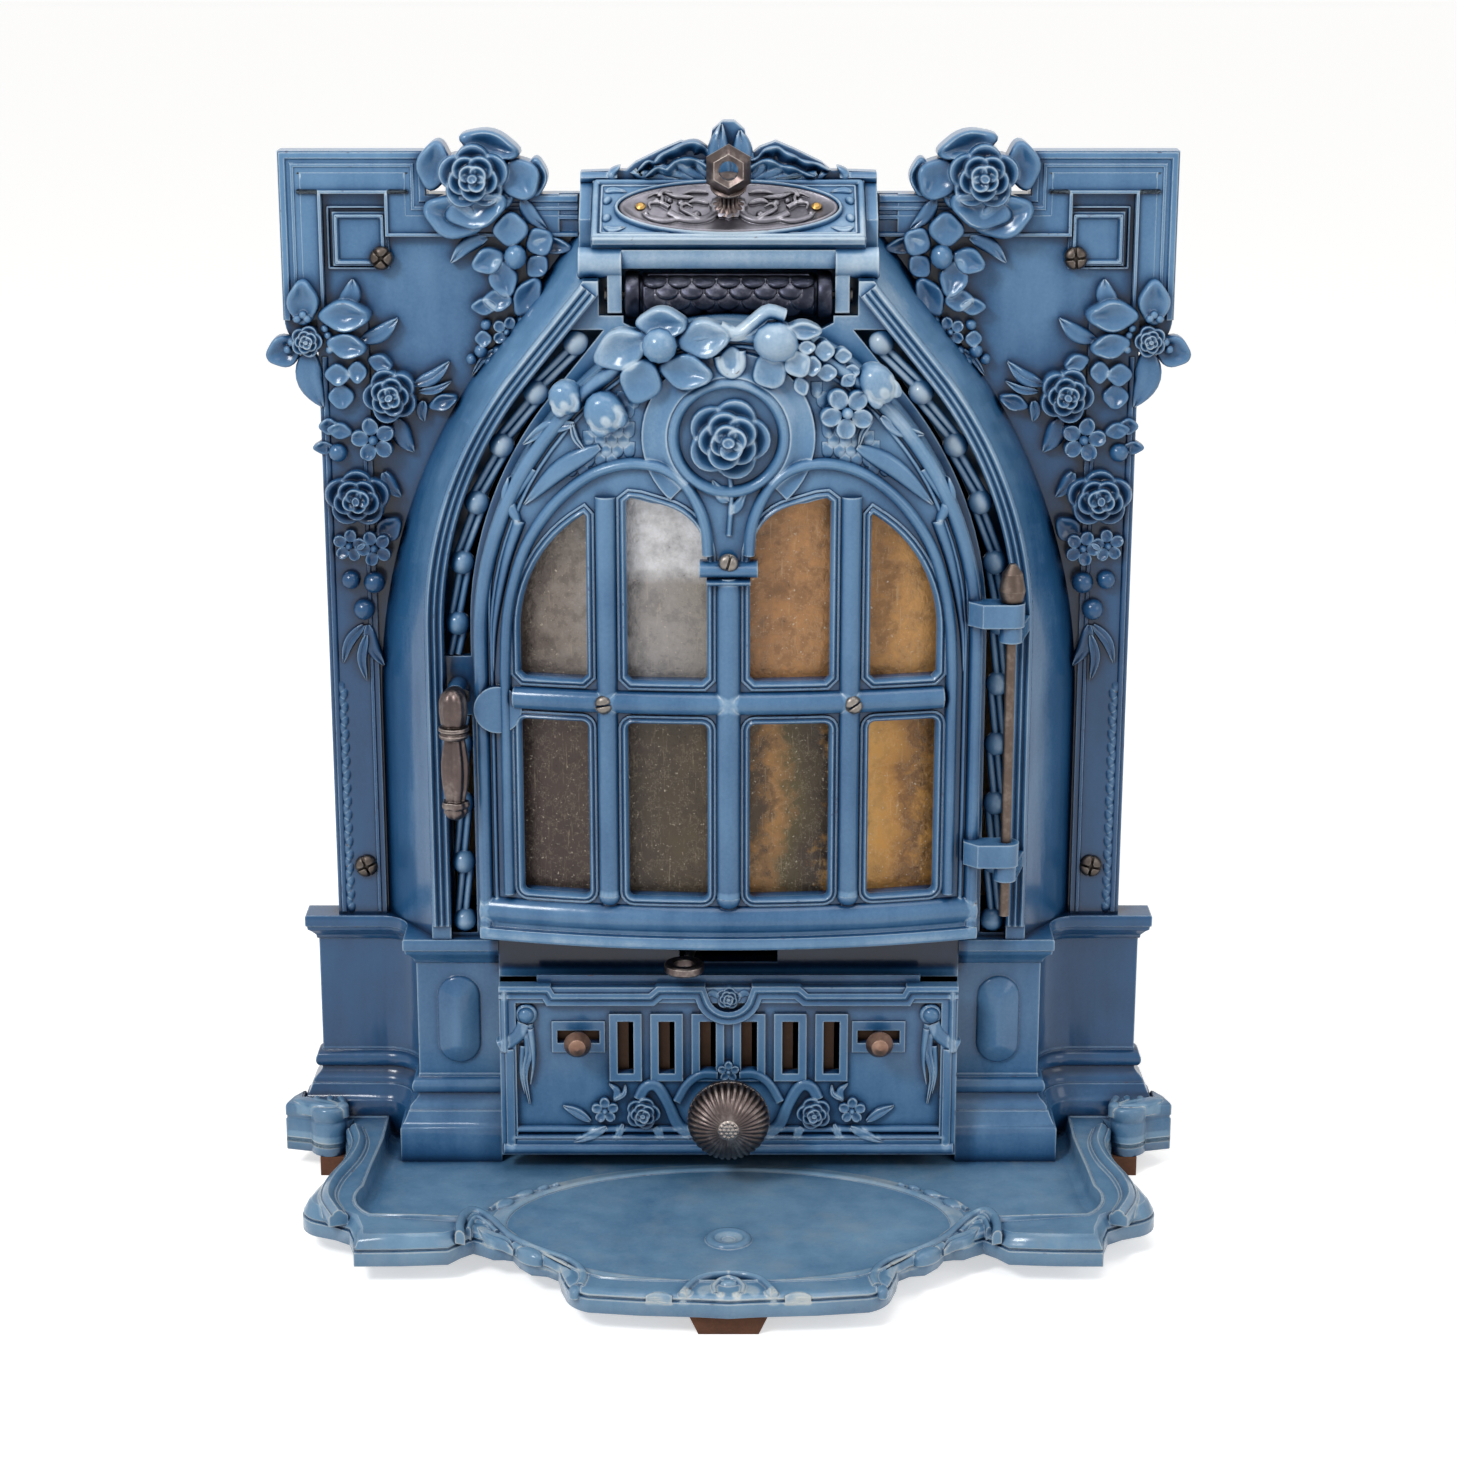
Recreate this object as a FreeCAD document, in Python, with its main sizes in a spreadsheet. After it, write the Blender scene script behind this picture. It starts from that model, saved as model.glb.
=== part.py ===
import FreeCAD, Part

import math
import os

import Sketcher
from FreeCAD import Placement, Rotation, Vector

# Wood stove: an enamelled cast-iron front on a hearth tray, with the iron firebox behind it.
# X runs to the right, Y to the back and Z up. The floor is at zero height, and Y is zero
# halfway between the hearth's lip and the end of the flue. All sizes are millimetres and degrees.

SIZES = {
    # Whole stove: reach is how far the hearth lip and the flue end stand from the middle
    "reach": 350,
    "casting": 7,
    "plate": 8,
    "fit_gap": 0.3,
    "overrun": 5,
    "bolt_radius": 4,
    "bolt_play": 0.3,
    "nut_radius": 7.5,
    "nut_height": 6,
    # Hearth tray and feet
    "foot_height": 15,
    "tray_half": 335,
    "tray_thick": 8,
    "rim_height": 20,
    "wing_height": 38,
    "wing_out": 12.7,
    "tray_boss_radius": 16,
    "tray_boss_height": 3,
    "tray_boss_back": 244,
    "tray_dimple_radius": 4.5,
    "foot_width": 55,
    "foot_toe_width": 41,
    "foot_length": 38,
    "rear_foot_width": 40,
    # Base castings beside the ash drawer
    "base_top": 197,
    "plinth_half": 308,
    "plinth_front": 45,
    "block_half": 230,
    "block_front": 97,
    "block_inner_half": 169,
    "cove_radius": 30,
    "skirt_height": 39,
    "skirt_flare": 14,
    "step_height": 10,
    "step_flare": 8,
    "torus_height": 14,
    "torus_flare": 5,
    "cornice_height": 20,
    "cornice_flare": 9,
    "cabochon_radius": 15.5,
    "cabochon_height": 68,
    "cabochon_middle": 132,
    "cabochon_depth": 7,
    # Facade plate, which stands this far in front of the middle
    "facade_set": 30,
    "facade_thick": 12,
    "ear_half": 316,
    "ear_top": 763,
    "ear_inner_half": 212,
    "ear_bottom": 644,
    "facade_top": 733,
    "pilaster_half": 292,
    "pilaster_width": 36,
    "pilaster_proud": 6,
    "frame_width": 30,
    "frame_proud": 6,
    "panel_side": 38,
    "panel_proud": 4,
    "upper_screw_half": 245,
    "upper_screw_height": 688,
    "lower_screw_half": 270,
    "lower_screw_height": 235,
    "screw_head_radius": 8,
    "screw_head_height": 5,
    # Arch casting: its flare on the facade, and its shoulder at the front
    "flare_half": 255,
    "flare_spring": 364,
    "flare_radius": 432,
    "flare_sweep": 36.5,
    "flare_top": 712,
    "arch_front": 96,
    "arch_half": 217,
    "arch_spring": 430,
    "arch_radius": 300,
    "arch_sweep": 39,
    "arch_top": 680,
    "rail_width": 14,
    "rail_proud": 8,
    "gallery_width": 18.6,
    "gallery_end": 645,
    "latch_block_height": 44,
    "latch_block_lap": 4,
    "notch_half": 90,
    "notch_floor": 655,
    "notch_step_half": 73,
    "notch_step_floor": 650,
    "notch_dip_half": 60,
    "notch_dip_floor": 643,
    "sill_height": 29,
    "sill_proud": 8,
    "sill_slot_half": 36,
    "sill_slot_height": 14,
    "facade_opening_margin": 50,
    # Gallery of balls and rods
    "ball_radius": 9,
    "ball_pitch": 45,
    "ball_rod_radius": 2.6,
    "ball_rod_spread": 5.5,
    "gallery_sill": 2.5,
    # Door: bowed plate with a closing rim, eight windows and two straps
    "door_half": 180,
    "door_bottom": 207,
    "door_spring": 430,
    "door_radius": 254,
    "door_sweep": 50,
    "door_front": 153,
    "door_bow_radius": 660,
    "door_thick": 14,
    "door_rim": 8,
    "door_gap": 1,
    "landing_width": 20,
    "window_outer_half": 147.5,
    "window_split_outer": 98.5,
    "window_split_inner": 71.5,
    "window_inner_half": 14.4,
    "lower_window_bottom": 246,
    "lower_window_top": 376,
    "upper_window_bottom": 406,
    "upper_window_spring": 440,
    "window_arch_radius": 101,
    "foil_radius": 39,
    "foil_spring": 495,
    "lobe_radius": 17,
    "lobe_height": 382,
    "lobe_proud": 6,
    "door_screw_radius": 6.5,
    "door_screw_half": 87,
    "door_screw_height": 390,
    "door_screw_top": 494,
    "mica_thick": 1,
    "mica_lap": 5,
    "retainer_thick": 4,
    # Hinge
    "hinge_half": 198,
    "hinge_front": 140,
    "pin_radius": 3.7,
    "pin_play": 0.08,
    "pin_bottom": 229,
    "acorn_radius": 9.5,
    "acorn_height": 27,
    "strap_radius": 9.5,
    "strap_height": 17,
    "strap_reach": 30,
    "upper_strap_bottom": 444,
    "lower_strap_bottom": 267.5,
    "frame_lug_radius": 8,
    "frame_lug_height": 11,
    "lug_gap": 0.5,
    # Latch
    "latch_half": 194,
    "latch_height": 388,
    "latch_front": 128,
    "latch_hub_radius": 9,
    "latch_hub_length": 22,
    "latch_grip_length": 74,
    "latch_grip_radius": 8.5,
    "latch_tip_radius": 7,
    "spindle_radius": 4,
    "cam_length": 10,
    "cam_height": 10,
    "cam_thick": 6,
    # Loading lid and its housing
    "lid_half": 95,
    "lid_front": 98,
    "lid_front_top": 708,
    "lid_slope": 35.8,
    "lid_run": 59,
    "lid_thick": 9,
    "trunnion_front": 90,
    "trunnion_height": 691,
    "trunnion_radius": 10.7,
    "trunnion_half": 104,
    "ear_plate_inner": 74,
    "ear_plate_outer": 84,
    "ear_plate_depth": 17,
    "ear_plate_bottom": 657,
    "housing_half": 104,
    "cheek_inner_half": 87.5,
    "cheek_front": 78,
    "cheek_lip": 8,
    "crest_thick": 14,
    "crest_shoulder": 748,
    "crest_top": 783,
    "oval_half_length": 75.5,
    "oval_half_width": 21,
    "oval_end_radius": 12,
    "oval_thick": 3,
    "oval_screw_half": 61,
    "oval_screw_radius": 3.5,
    "oval_screw_head": 2,
    "knob_stem_radius": 6,
    "knob_stem_length": 22,
    "knob_ring_radius": 16,
    "knob_ring_thick": 11,
    "knob_eye_radius": 6,
    # Roller grip between the lid's ears
    "roller_front": 86,
    "roller_height": 668,
    "roller_radius": 15,
    "roller_half": 72,
    "roller_collar_radius": 16.5,
    "roller_collar_width": 7,
    "roller_rod_radius": 3,
    "roller_rivet_radius": 5,
    "roller_rivet_height": 2,
    # Ash drawer
    "drawer_half": 167.5,
    "drawer_bottom": 36,
    "drawer_height": 132,
    "drawer_front": 127,
    "drawer_thick": 10,
    "drawer_back_rise": 7,
    "drawer_back_half": 140,
    "drawer_back_thick": 3,
    "drawer_border": 12,
    "drawer_relief": 4,
    "vent_count": 6,
    "vent_pitch": 30.2,
    "vent_width": 11.8,
    "vent_bottom": 100,
    "vent_height": 41,
    "vent_frame": 6,
    "vent_frame_proud": 3,
    "escutcheon_half": 110,
    "escutcheon_width": 39,
    "escutcheon_height": 24.5,
    "escutcheon_middle": 128.5,
    "slider_slot_width": 31,
    "slider_slot_height": 10,
    "pan_half": 150,
    "pan_height": 47,
    "pan_back": 140,
    "pan_wall": 2,
    "runner_width": 22,
    "dome_radius": 30,
    "dome_height": 26,
    "dome_middle": 77,
    "dome_shank_radius": 9,
    "dome_shank_length": 32,
    # Air slider behind the drawer front
    "slider_thick": 3,
    "slider_half": 126,
    "slider_margin": 8,
    "slider_shift": 8,
    "slider_knob_radius": 10,
    "slider_shank_radius": 3,
    "slider_shank_length": 10,
    "guide_lap": 3,
    "guide_height": 6,
    # Firebox
    "box_half": 213,
    "box_depth": 270,
    "box_top": 600,
    "floor_height": 197,
    "brick_thick": 25,
    "brick_height": 205,
    "grate_radius": 125,
    "grate_middle": 95,
    "grate_bar": 10,
    "grate_slot": 9,
    "grate_slot_count": 9,
    "grate_ring_width": 16,
    "grate_ring_height": 5,
    "shaker_rod_radius": 3.5,
    "shaker_height": 186.5,
    "shaker_reach": 130,
    "shaker_lean": 8,
    "shaker_ring_radius": 11,
    "shaker_ring_wire": 3.5,
    "shaker_ring_chamfer": 1.2,
    # Flue collar and tie rods
    "flue_height": 500,
    "flue_bore_radius": 56,
    "flue_wall": 5.5,
    "flue_flange_radius": 84,
    "flue_flange_thick": 8,
    "flue_bolt_circle": 72,
    "tie_half": 221,
    "tie_lower": 214,
    "tie_upper": 585,
}

# Plan of the tray's wing beside the skirt, from its back corner to its front end: shares of
# how far the wing stands out, and of the reach. A third share is an arc's radius.
TRAY_WING_SHARES = (
    (0.21, 0.131),
    (0.69, 0.16),
    (1.0, 0.2),
    (-0.51, 0.214),
    (-2.61, 0.226, 1.19),
)

# Plan of the hearth tray's left half, from its wing's front end to the middle of its lip:
# shares of the tray's half width and of the reach. A third share is an arc's radius.
TRAY_OUTLINE_SHARES = (
    (0.86, 0.38),
    (0.907, 0.557),
    (0.878, 0.637, 0.07),
    (0.803, 0.677),
    (0.782, 0.774),
    (0.585, 0.766),
    (0.537, 0.717),
    (0.493, 0.746),
    (0.451, 0.751),
    (0.409, 0.814),
    (0.352, 0.84),
    (0.331, 0.926),
    (0.284, 0.974, 0.08),
    (0.057, 0.994),
    (0, 1.0),
)

# The edge of the sunk tray floor, from the side of the stove's base round to the middle
TRAY_FLOOR_SHARES = (
    (0.770, 0.286),
    (0.788, 0.529),
    (0.758, 0.663, 0.12),
    (0.561, 0.663),
    (0.549, 0.634),
    (0.513, 0.634),
    (0.454, 0.714),
    (0.373, 0.814),
    (0.299, 0.891),
    (0.209, 0.92),
    (0, 0.929),
)

# Left half of the shell crest: shares of the housing's half width and of the crest's rise
CREST_SHARES = (
    (0.69, 0.03),
    (0.63, 0.18),
    (0.44, 0.45),
    (0.32, 0.6),
    (0.21, 0.48),
    (0.135, 0.3),
    (0.11, 0.82),
    (0.04, 1.0),
)

LEFT, RIGHT = 1, -1
SIDES = (("left", -1), ("right", 1))
TOP, FRONT, SIDE = "XY_Plane", "XZ_Plane", "YZ_Plane"

document = FreeCAD.newDocument("WoodStove")
sheet = document.addObject("Spreadsheet::Sheet", "Sizes")
nodes = []


class Size:
    """A length or angle together with the sheet formula that gives it."""

    def __init__(self, value, formula):
        self.value = float(value)
        self.formula = formula

    def __add__(self, other):
        return Size(self.value + number(other), f"({self.formula} + {formula(other)})")

    def __radd__(self, other):
        return Size(number(other) + self.value, f"({formula(other)} + {self.formula})")

    def __sub__(self, other):
        return Size(self.value - number(other), f"({self.formula} - {formula(other)})")

    def __rsub__(self, other):
        return Size(number(other) - self.value, f"({formula(other)} - {self.formula})")

    def __mul__(self, other):
        return Size(self.value * number(other), f"({self.formula} * {formula(other)})")

    __rmul__ = __mul__

    def __truediv__(self, other):
        return Size(self.value / number(other), f"({self.formula} / {formula(other)})")

    def __neg__(self):
        return Size(-self.value, f"(0 - {self.formula})")


class SheetSizes:
    """The sheet's cells, read by their names."""

    def __getattr__(self, name):
        return Size(sheet.get(name), "Sizes." + name)


size = SheetSizes()


def number(item):
    """Value of a size or of a plain number."""
    return item.value if isinstance(item, Size) else item


def formula(item):
    """Sheet formula of a size or of a plain number."""
    return item.formula if isinstance(item, Size) else f"({item})"


def sine(angle):
    return Size(math.sin(math.radians(angle.value)), f"sin({angle.formula})")


def cosine(angle):
    return Size(math.cos(math.radians(angle.value)), f"cos({angle.formula})")


def tangent(angle):
    return Size(math.tan(math.radians(angle.value)), f"tan({angle.formula})")


def root(area):
    return Size(math.sqrt(area.value), f"sqrt({area.formula})")


def fill_sheet():
    """Write each driving size into a row of the sheet and name its cell."""
    for row, (name, value) in enumerate(SIZES.items(), start=1):
        sheet.set(f"A{row}", name)
        sheet.set(f"B{row}", str(value))
        sheet.setAlias(f"B{row}", name)
    document.recompute()


def bind(owner, path, item):
    """Tie one property to its sheet formula."""
    owner.setExpression(path, formula(item))


def keep(owner, node):
    """Label a finished sub-part with its node's name and list it for the export."""
    owner.Label = node
    nodes.append(owner)
    return owner


def new_body(name):
    return document.addObject("PartDesign::Body", name)


def move(owner, x=0, y=0, z=0):
    """Place an object by three sheet formulas."""
    for axis, item in zip("xyz", (x, y, z)):
        bind(owner, f"Placement.Base.{axis}", item)
    return owner


# Outlines are lists of corners. A corner is (x, y), or (x, y, radius, turn) where the edge
# that arrives at it is an arc that turns LEFT or RIGHT.


def mirrored(half):
    """Close an outline given for its left half, from its first corner to the middle."""
    whole = list(half)
    for index in reversed(range(len(half))):
        x, y = half[index][:2]
        arrival = half[index + 1][2:] if index + 1 < len(half) else ()
        if isinstance(x, Size):
            whole.append((-x, y) + arrival)
    return whole


def backward(run):
    """The same run of corners walked the other way."""
    turned = []
    for index in reversed(range(len(run))):
        arrival = run[index + 1][2:] if index + 1 < len(run) else ()
        if arrival:
            arrival = (arrival[0], -arrival[1])
        turned.append(run[index][:2] + arrival)
    return turned


def flipped(outline, side):
    """The outline on the left as it is, or its mirror image on the right."""
    if side < 0:
        return list(outline)
    return [(-corner[0],) + corner[1:3] + tuple(-turn for turn in corner[3:]) for corner in outline]


def rectangle(left, right, bottom, top):
    return [(left, bottom), (right, bottom), (right, top), (left, top)]


def arc_through(start, end, radius):
    """Arc from start to end, less than half a circle, that turns left."""
    chord = end - start
    half = chord.Length / 2
    rise = math.sqrt(radius * radius - half * half)
    left = Vector(-chord.y, chord.x, 0).normalize()
    return Part.Arc(start, start + chord / 2 + left * (rise - radius), end)


def draw_circle(drawing, x, y, radius):
    index = drawing.addGeometry(Part.Circle(Vector(number(x), number(y), 0), Vector(0, 0, 1), number(radius)))
    fix_point(drawing, index, 3, x, y)
    fix_value(drawing, Sketcher.Constraint("Radius", index, number(radius)), radius)


def draw_outline(drawing, outline):
    """Draw a closed outline and tie every corner and radius to its formula."""
    first = drawing.GeometryCount
    count = len(outline)
    spots = [Vector(number(corner[0]), number(corner[1]), 0) for corner in outline]
    ends = []
    for index in range(count):
        arrival = outline[(index + 1) % count][2:]
        start, end = spots[index], spots[(index + 1) % count]
        turns_right = bool(arrival) and arrival[1] == RIGHT
        ends.append((2, 1) if turns_right else (1, 2))
        if turns_right:
            start, end = end, start
        drawing.addGeometry(arc_through(start, end, number(arrival[0])) if arrival
                            else Part.LineSegment(start, end))
    for index in range(count):
        following = (index + 1) % count
        joint = Sketcher.Constraint(
            "Coincident", first + index, ends[index][1], first + following, ends[following][0]
        )
        drawing.addConstraint(joint)
    for index, corner in enumerate(outline):
        fix_point(drawing, first + index, ends[index][0], corner[0], corner[1])
        if corner[2:]:
            arc = first + (index - 1) % count
            fix_value(drawing, Sketcher.Constraint("Radius", arc, number(corner[2])), corner[2])


def fix_point(drawing, index, position, x, y):
    """Tie a point to its distances from the sketch's origin."""
    for kind, axis, item in (("DistanceX", -2, x), ("DistanceY", -1, y)):
        if isinstance(item, Size):
            fix_value(drawing, Sketcher.Constraint(kind, -1, 1, index, position, item.value), item)
        else:
            drawing.addConstraint(Sketcher.Constraint("PointOnObject", index, position, axis))


def fix_value(drawing, constraint, item):
    place = drawing.addConstraint(constraint)
    drawing.setExpression(f"Constraints[{place}]", formula(item))


def sketch(body, plane, level, *outlines):
    """Sketch on one of the body's own planes. A circle is given as (x, y, radius)."""
    drawing = body.newObject("Sketcher::SketchObject", "Outline")
    base = next(item for item in body.Origin.OriginFeatures if item.Role == plane)
    drawing.AttachmentSupport = (base, [""])
    drawing.MapMode = "FlatFace"
    bind(drawing, "AttachmentOffset.Base.z", level)
    for outline in outlines:
        if isinstance(outline, tuple):
            draw_circle(drawing, *outline)
        else:
            draw_outline(drawing, outline)
    return drawing


def pad(body, plane, level, length, *outlines):
    """Raise outlines from a level along the plane's normal: up, to the front or to the right."""
    feature = body.newObject("PartDesign::Pad", "Pad")
    feature.Profile = sketch(body, plane, level, *outlines)
    bind(feature, "Length", length)
    return feature


def pocket(body, plane, level, depth, *outlines):
    """Cut outlines from a level against the plane's normal: down, to the back or to the left."""
    feature = body.newObject("PartDesign::Pocket", "Pocket")
    feature.Profile = sketch(body, plane, level, *outlines)
    bind(feature, "Length", depth)
    return feature


def revolve(body, plane, outline):
    """Turn an outline round the sketch's upright axis."""
    feature = body.newObject("PartDesign::Revolution", "Turning")
    feature.Profile = sketch(body, plane, 0, outline)
    feature.ReferenceAxis = (feature.Profile[0], ["V_Axis"])
    feature.Angle = 360
    return feature


def loft(body, kind, plane, levels_and_outlines):
    """Join outlines at several levels by straight faces, to add or to cut."""
    sketches = [sketch(body, plane, level, outline) for level, outline in levels_and_outlines]
    feature = body.newObject(kind, "Loft")
    feature.Profile = sketches[0]
    feature.Sections = sketches[1:]
    feature.Ruled = True
    return feature


def cylinder(name, radius, length):
    shape = document.addObject("Part::Cylinder", name)
    bind(shape, "Radius", radius)
    bind(shape, "Height", length)
    return shape


def lie_along_y(shape):
    """Turn a primitive so that its axis runs to the front."""
    shape.Placement = Placement(Vector(), Rotation(Vector(1, 0, 0), 90))
    return shape


def lie_along_x(shape):
    """Turn a primitive so that its axis runs to the right."""
    shape.Placement = Placement(Vector(), Rotation(Vector(0, 1, 0), 90))
    return shape


def box(name, x, y, z, width, depth, height):
    shape = document.addObject("Part::Box", name)
    bind(shape, "Length", width)
    bind(shape, "Width", depth)
    bind(shape, "Height", height)
    return move(shape, x, y, z)


def fuse(name, shapes):
    joined = document.addObject("Part::MultiFuse", name)
    joined.Shapes = shapes
    return joined


def cut(name, base, tool):
    remainder = document.addObject("Part::Cut", name)
    remainder.Base = base
    remainder.Tool = tool
    return remainder


def common(name, first, second):
    shared = document.addObject("Part::Common", name)
    shared.Base = first
    shared.Tool = second
    return shared


def group(name, shapes):
    """Several separate solids kept together as one node."""
    together = document.addObject("Part::Compound", name)
    together.Links = shapes
    return together


def tray_floor_top():
    return size.foot_height + size.tray_thick


def tray_half_outline(shares):
    """Left half of an outline on the tray, from shares of its width and of the reach."""
    corners = []
    for share in shares:
        x = -size.tray_half * share[0] if share[0] else 0
        arc = (size.tray_half * share[2], LEFT) if len(share) > 2 else ()
        corners.append((x, -size.reach * share[1] if share[1] else 0) + arc)
    return corners


def hearth_tray():
    """Hearth tray with its raised rim and the wings in front of the side plinths."""
    body = new_body("HearthTray")
    outer = size.plinth_half + size.skirt_flare + size.fit_gap
    front = size.plinth_front + size.skirt_flare + size.fit_gap
    wing = []
    for share in TRAY_WING_SHARES:
        arc = (size.wing_out * share[2], LEFT) if len(share) > 2 else ()
        wing.append((-outer - size.wing_out * share[0], -size.reach * share[1]) + arc)
    back = [(-size.plinth_half, -size.facade_set)]
    outline = back + wing + tray_half_outline(TRAY_OUTLINE_SHARES)
    pad(body, TOP, size.foot_height, size.rim_height, mirrored(outline))
    rim = tray_half_outline(TRAY_FLOOR_SHARES)
    floor = [(-outer, size.overrun - size.facade_set), (-outer, -front), (rim[0][0], -front)] + rim
    wing_left = wing + [(wing[-1][0], -front), (-outer, -front), (-outer, wing[0][1])]
    for side in (-1, 1):
        top = size.foot_height + size.rim_height
        pad(body, TOP, top - size.casting, size.wing_height - size.rim_height + size.casting,
            flipped(wing_left, side))
    depth = size.wing_height - size.tray_thick
    pocket(body, TOP, size.foot_height + size.wing_height, depth, mirrored(floor))
    spot = (0, -size.tray_boss_back)
    pad(body, TOP, tray_floor_top() - size.tray_boss_height, size.tray_boss_height * 2,
        spot + (size.tray_boss_radius,))
    pocket(body, TOP, tray_floor_top() + size.tray_boss_height, size.tray_boss_height * 2,
           spot + (size.tray_dimple_radius,))
    keep(body, "hearth_tray")


def feet():
    """Five short cast feet under the tray and the base plate."""
    front = new_body("FrontFoot")
    toe, head = size.foot_toe_width / 2, size.foot_width / 2
    shape = [(-toe, 0), (toe, 0), (head, size.foot_height), (-head, size.foot_height)]
    pad(front, FRONT, size.reach * 0.87, size.foot_length, shape)
    pads = [front]
    width = size.rear_foot_width
    for x in (-size.tray_half * 0.86 - width / 2, size.tray_half * 0.86 - width / 2):
        pads.append(box("WingFoot", x, -size.plinth_front - width, 0, width, width, size.foot_height))
    for x in (-size.box_half, size.box_half - width):
        pads.append(box("RearFoot", x, size.box_depth - width, 0, width, width, size.foot_height))
    keep(group("Feet", pads), "feet")


def base_plan(flare, inner):
    """Plan of the left base casting with its faces moved out by flare."""
    side = size.plinth_half + flare
    front = size.plinth_front + flare
    block_side = size.block_half + flare
    block_front = size.block_front + flare
    cove_x = size.block_half + size.cove_radius
    cove_y = size.plinth_front + size.cove_radius
    return [
        (-side, -size.facade_set),
        (-side, -front),
        (-cove_x, -front),
        (-block_side, -cove_y, size.cove_radius - flare, RIGHT),
        (-block_side, -block_front),
        (-inner, -block_front),
        (-inner, -size.facade_set),
    ]


def base_casting(name, side):
    """Side plinth and central block in one casting, with skirt, torus and cornice bands."""
    body = new_body("Base" + name)
    floor = tray_floor_top()
    inner = size.block_inner_half
    skirt_top = floor + size.skirt_height
    step_top = skirt_top + size.step_height
    bands = (
        (floor, size.base_top - floor, size.fit_gap * 0),
        (floor, size.skirt_height, size.skirt_flare),
        (skirt_top, size.step_height, size.step_flare),
        (step_top, size.torus_height, size.torus_flare),
        (size.base_top - size.cornice_height, size.cornice_height, size.cornice_flare),
    )
    for level, height, flare in bands:
        pad(body, TOP, level, height, flipped(base_plan(flare, inner), side))
    wall = size.casting
    hollow = rectangle(wall - size.block_half, -inner - wall, wall - size.block_front, size.overrun - size.facade_set)
    pocket(body, TOP, size.base_top - wall, size.base_top - wall - floor + size.overrun, flipped(hollow, side))
    middle = (size.block_half + inner) / 2
    radius = size.cabochon_radius
    straight = size.cabochon_height / 2 - radius
    low, high = size.cabochon_middle - straight, size.cabochon_middle + straight
    cabochon = [
        (-middle - radius, low),
        (-middle, low - radius, radius, LEFT),
        (-middle + radius, low, radius, LEFT),
        (-middle + radius, high),
        (-middle, high + radius, radius, LEFT),
        (-middle - radius, high, radius, LEFT),
    ]
    pad(body, FRONT, size.block_front - size.overrun, size.cabochon_depth + size.overrun,
        flipped(cabochon, side))
    keep(body, "base_" + name)


def shoulder(kind, inset, bottom, top):
    """Left half of a shouldered outline: an upright, an arc and a slanted line to the top."""
    half, spring, radius, sweep = (
        getattr(size, f"{kind}_{what}") for what in ("half", "spring", "radius", "sweep")
    )
    reach = radius - inset
    arc_x = radius - half - reach * cosine(sweep)
    arc_z = spring + reach * sine(sweep)
    return [
        (inset - half, bottom),
        (inset - half, spring),
        (arc_x, arc_z, reach, RIGHT),
        (arc_x + (top - arc_z) * tangent(sweep), top),
    ]


def door_top_radius():
    """Radius of the door's crown arc, tangent to its two side arcs."""
    return size.door_radius - (size.door_radius - size.door_half) / cosine(size.door_sweep)


def door_outline(inset, bottom):
    """Door outline moved in by inset: uprights, two side arcs and a crown arc."""
    side_radius = size.door_radius - inset
    crown_radius = door_top_radius() - inset
    crown_x = crown_radius * cosine(size.door_sweep)
    crown_z = size.door_spring + side_radius * sine(size.door_sweep)
    half = size.door_half - inset
    return [
        (-half, bottom),
        (-half, size.door_spring),
        (-crown_x, crown_z, side_radius, RIGHT),
        (crown_x, crown_z, crown_radius, RIGHT),
        (half, size.door_spring, side_radius, RIGHT),
        (half, bottom),
    ]


def facade_front():
    """How far the facade's front face stands in front of the middle."""
    return size.facade_set + size.facade_thick


def facade_half_outline():
    """Left half of the facade: pilaster, ear and the lower middle of the top edge."""
    step = size.ear_half - size.pilaster_half
    return [
        (-size.pilaster_half, size.base_top),
        (-size.pilaster_half, size.ear_bottom - step),
        (-size.ear_half, size.ear_bottom, step, RIGHT),
        (-size.ear_half, size.ear_top),
        (-size.ear_inner_half, size.ear_top),
        (-size.ear_inner_half, size.facade_top),
    ]


def facade_screw_places():
    """Where the four facade screws go."""
    rows = ((size.upper_screw_half, size.upper_screw_height), (size.lower_screw_half, size.lower_screw_height))
    return [(side * x, z) for x, z in rows for side in (-1, 1)]


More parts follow.
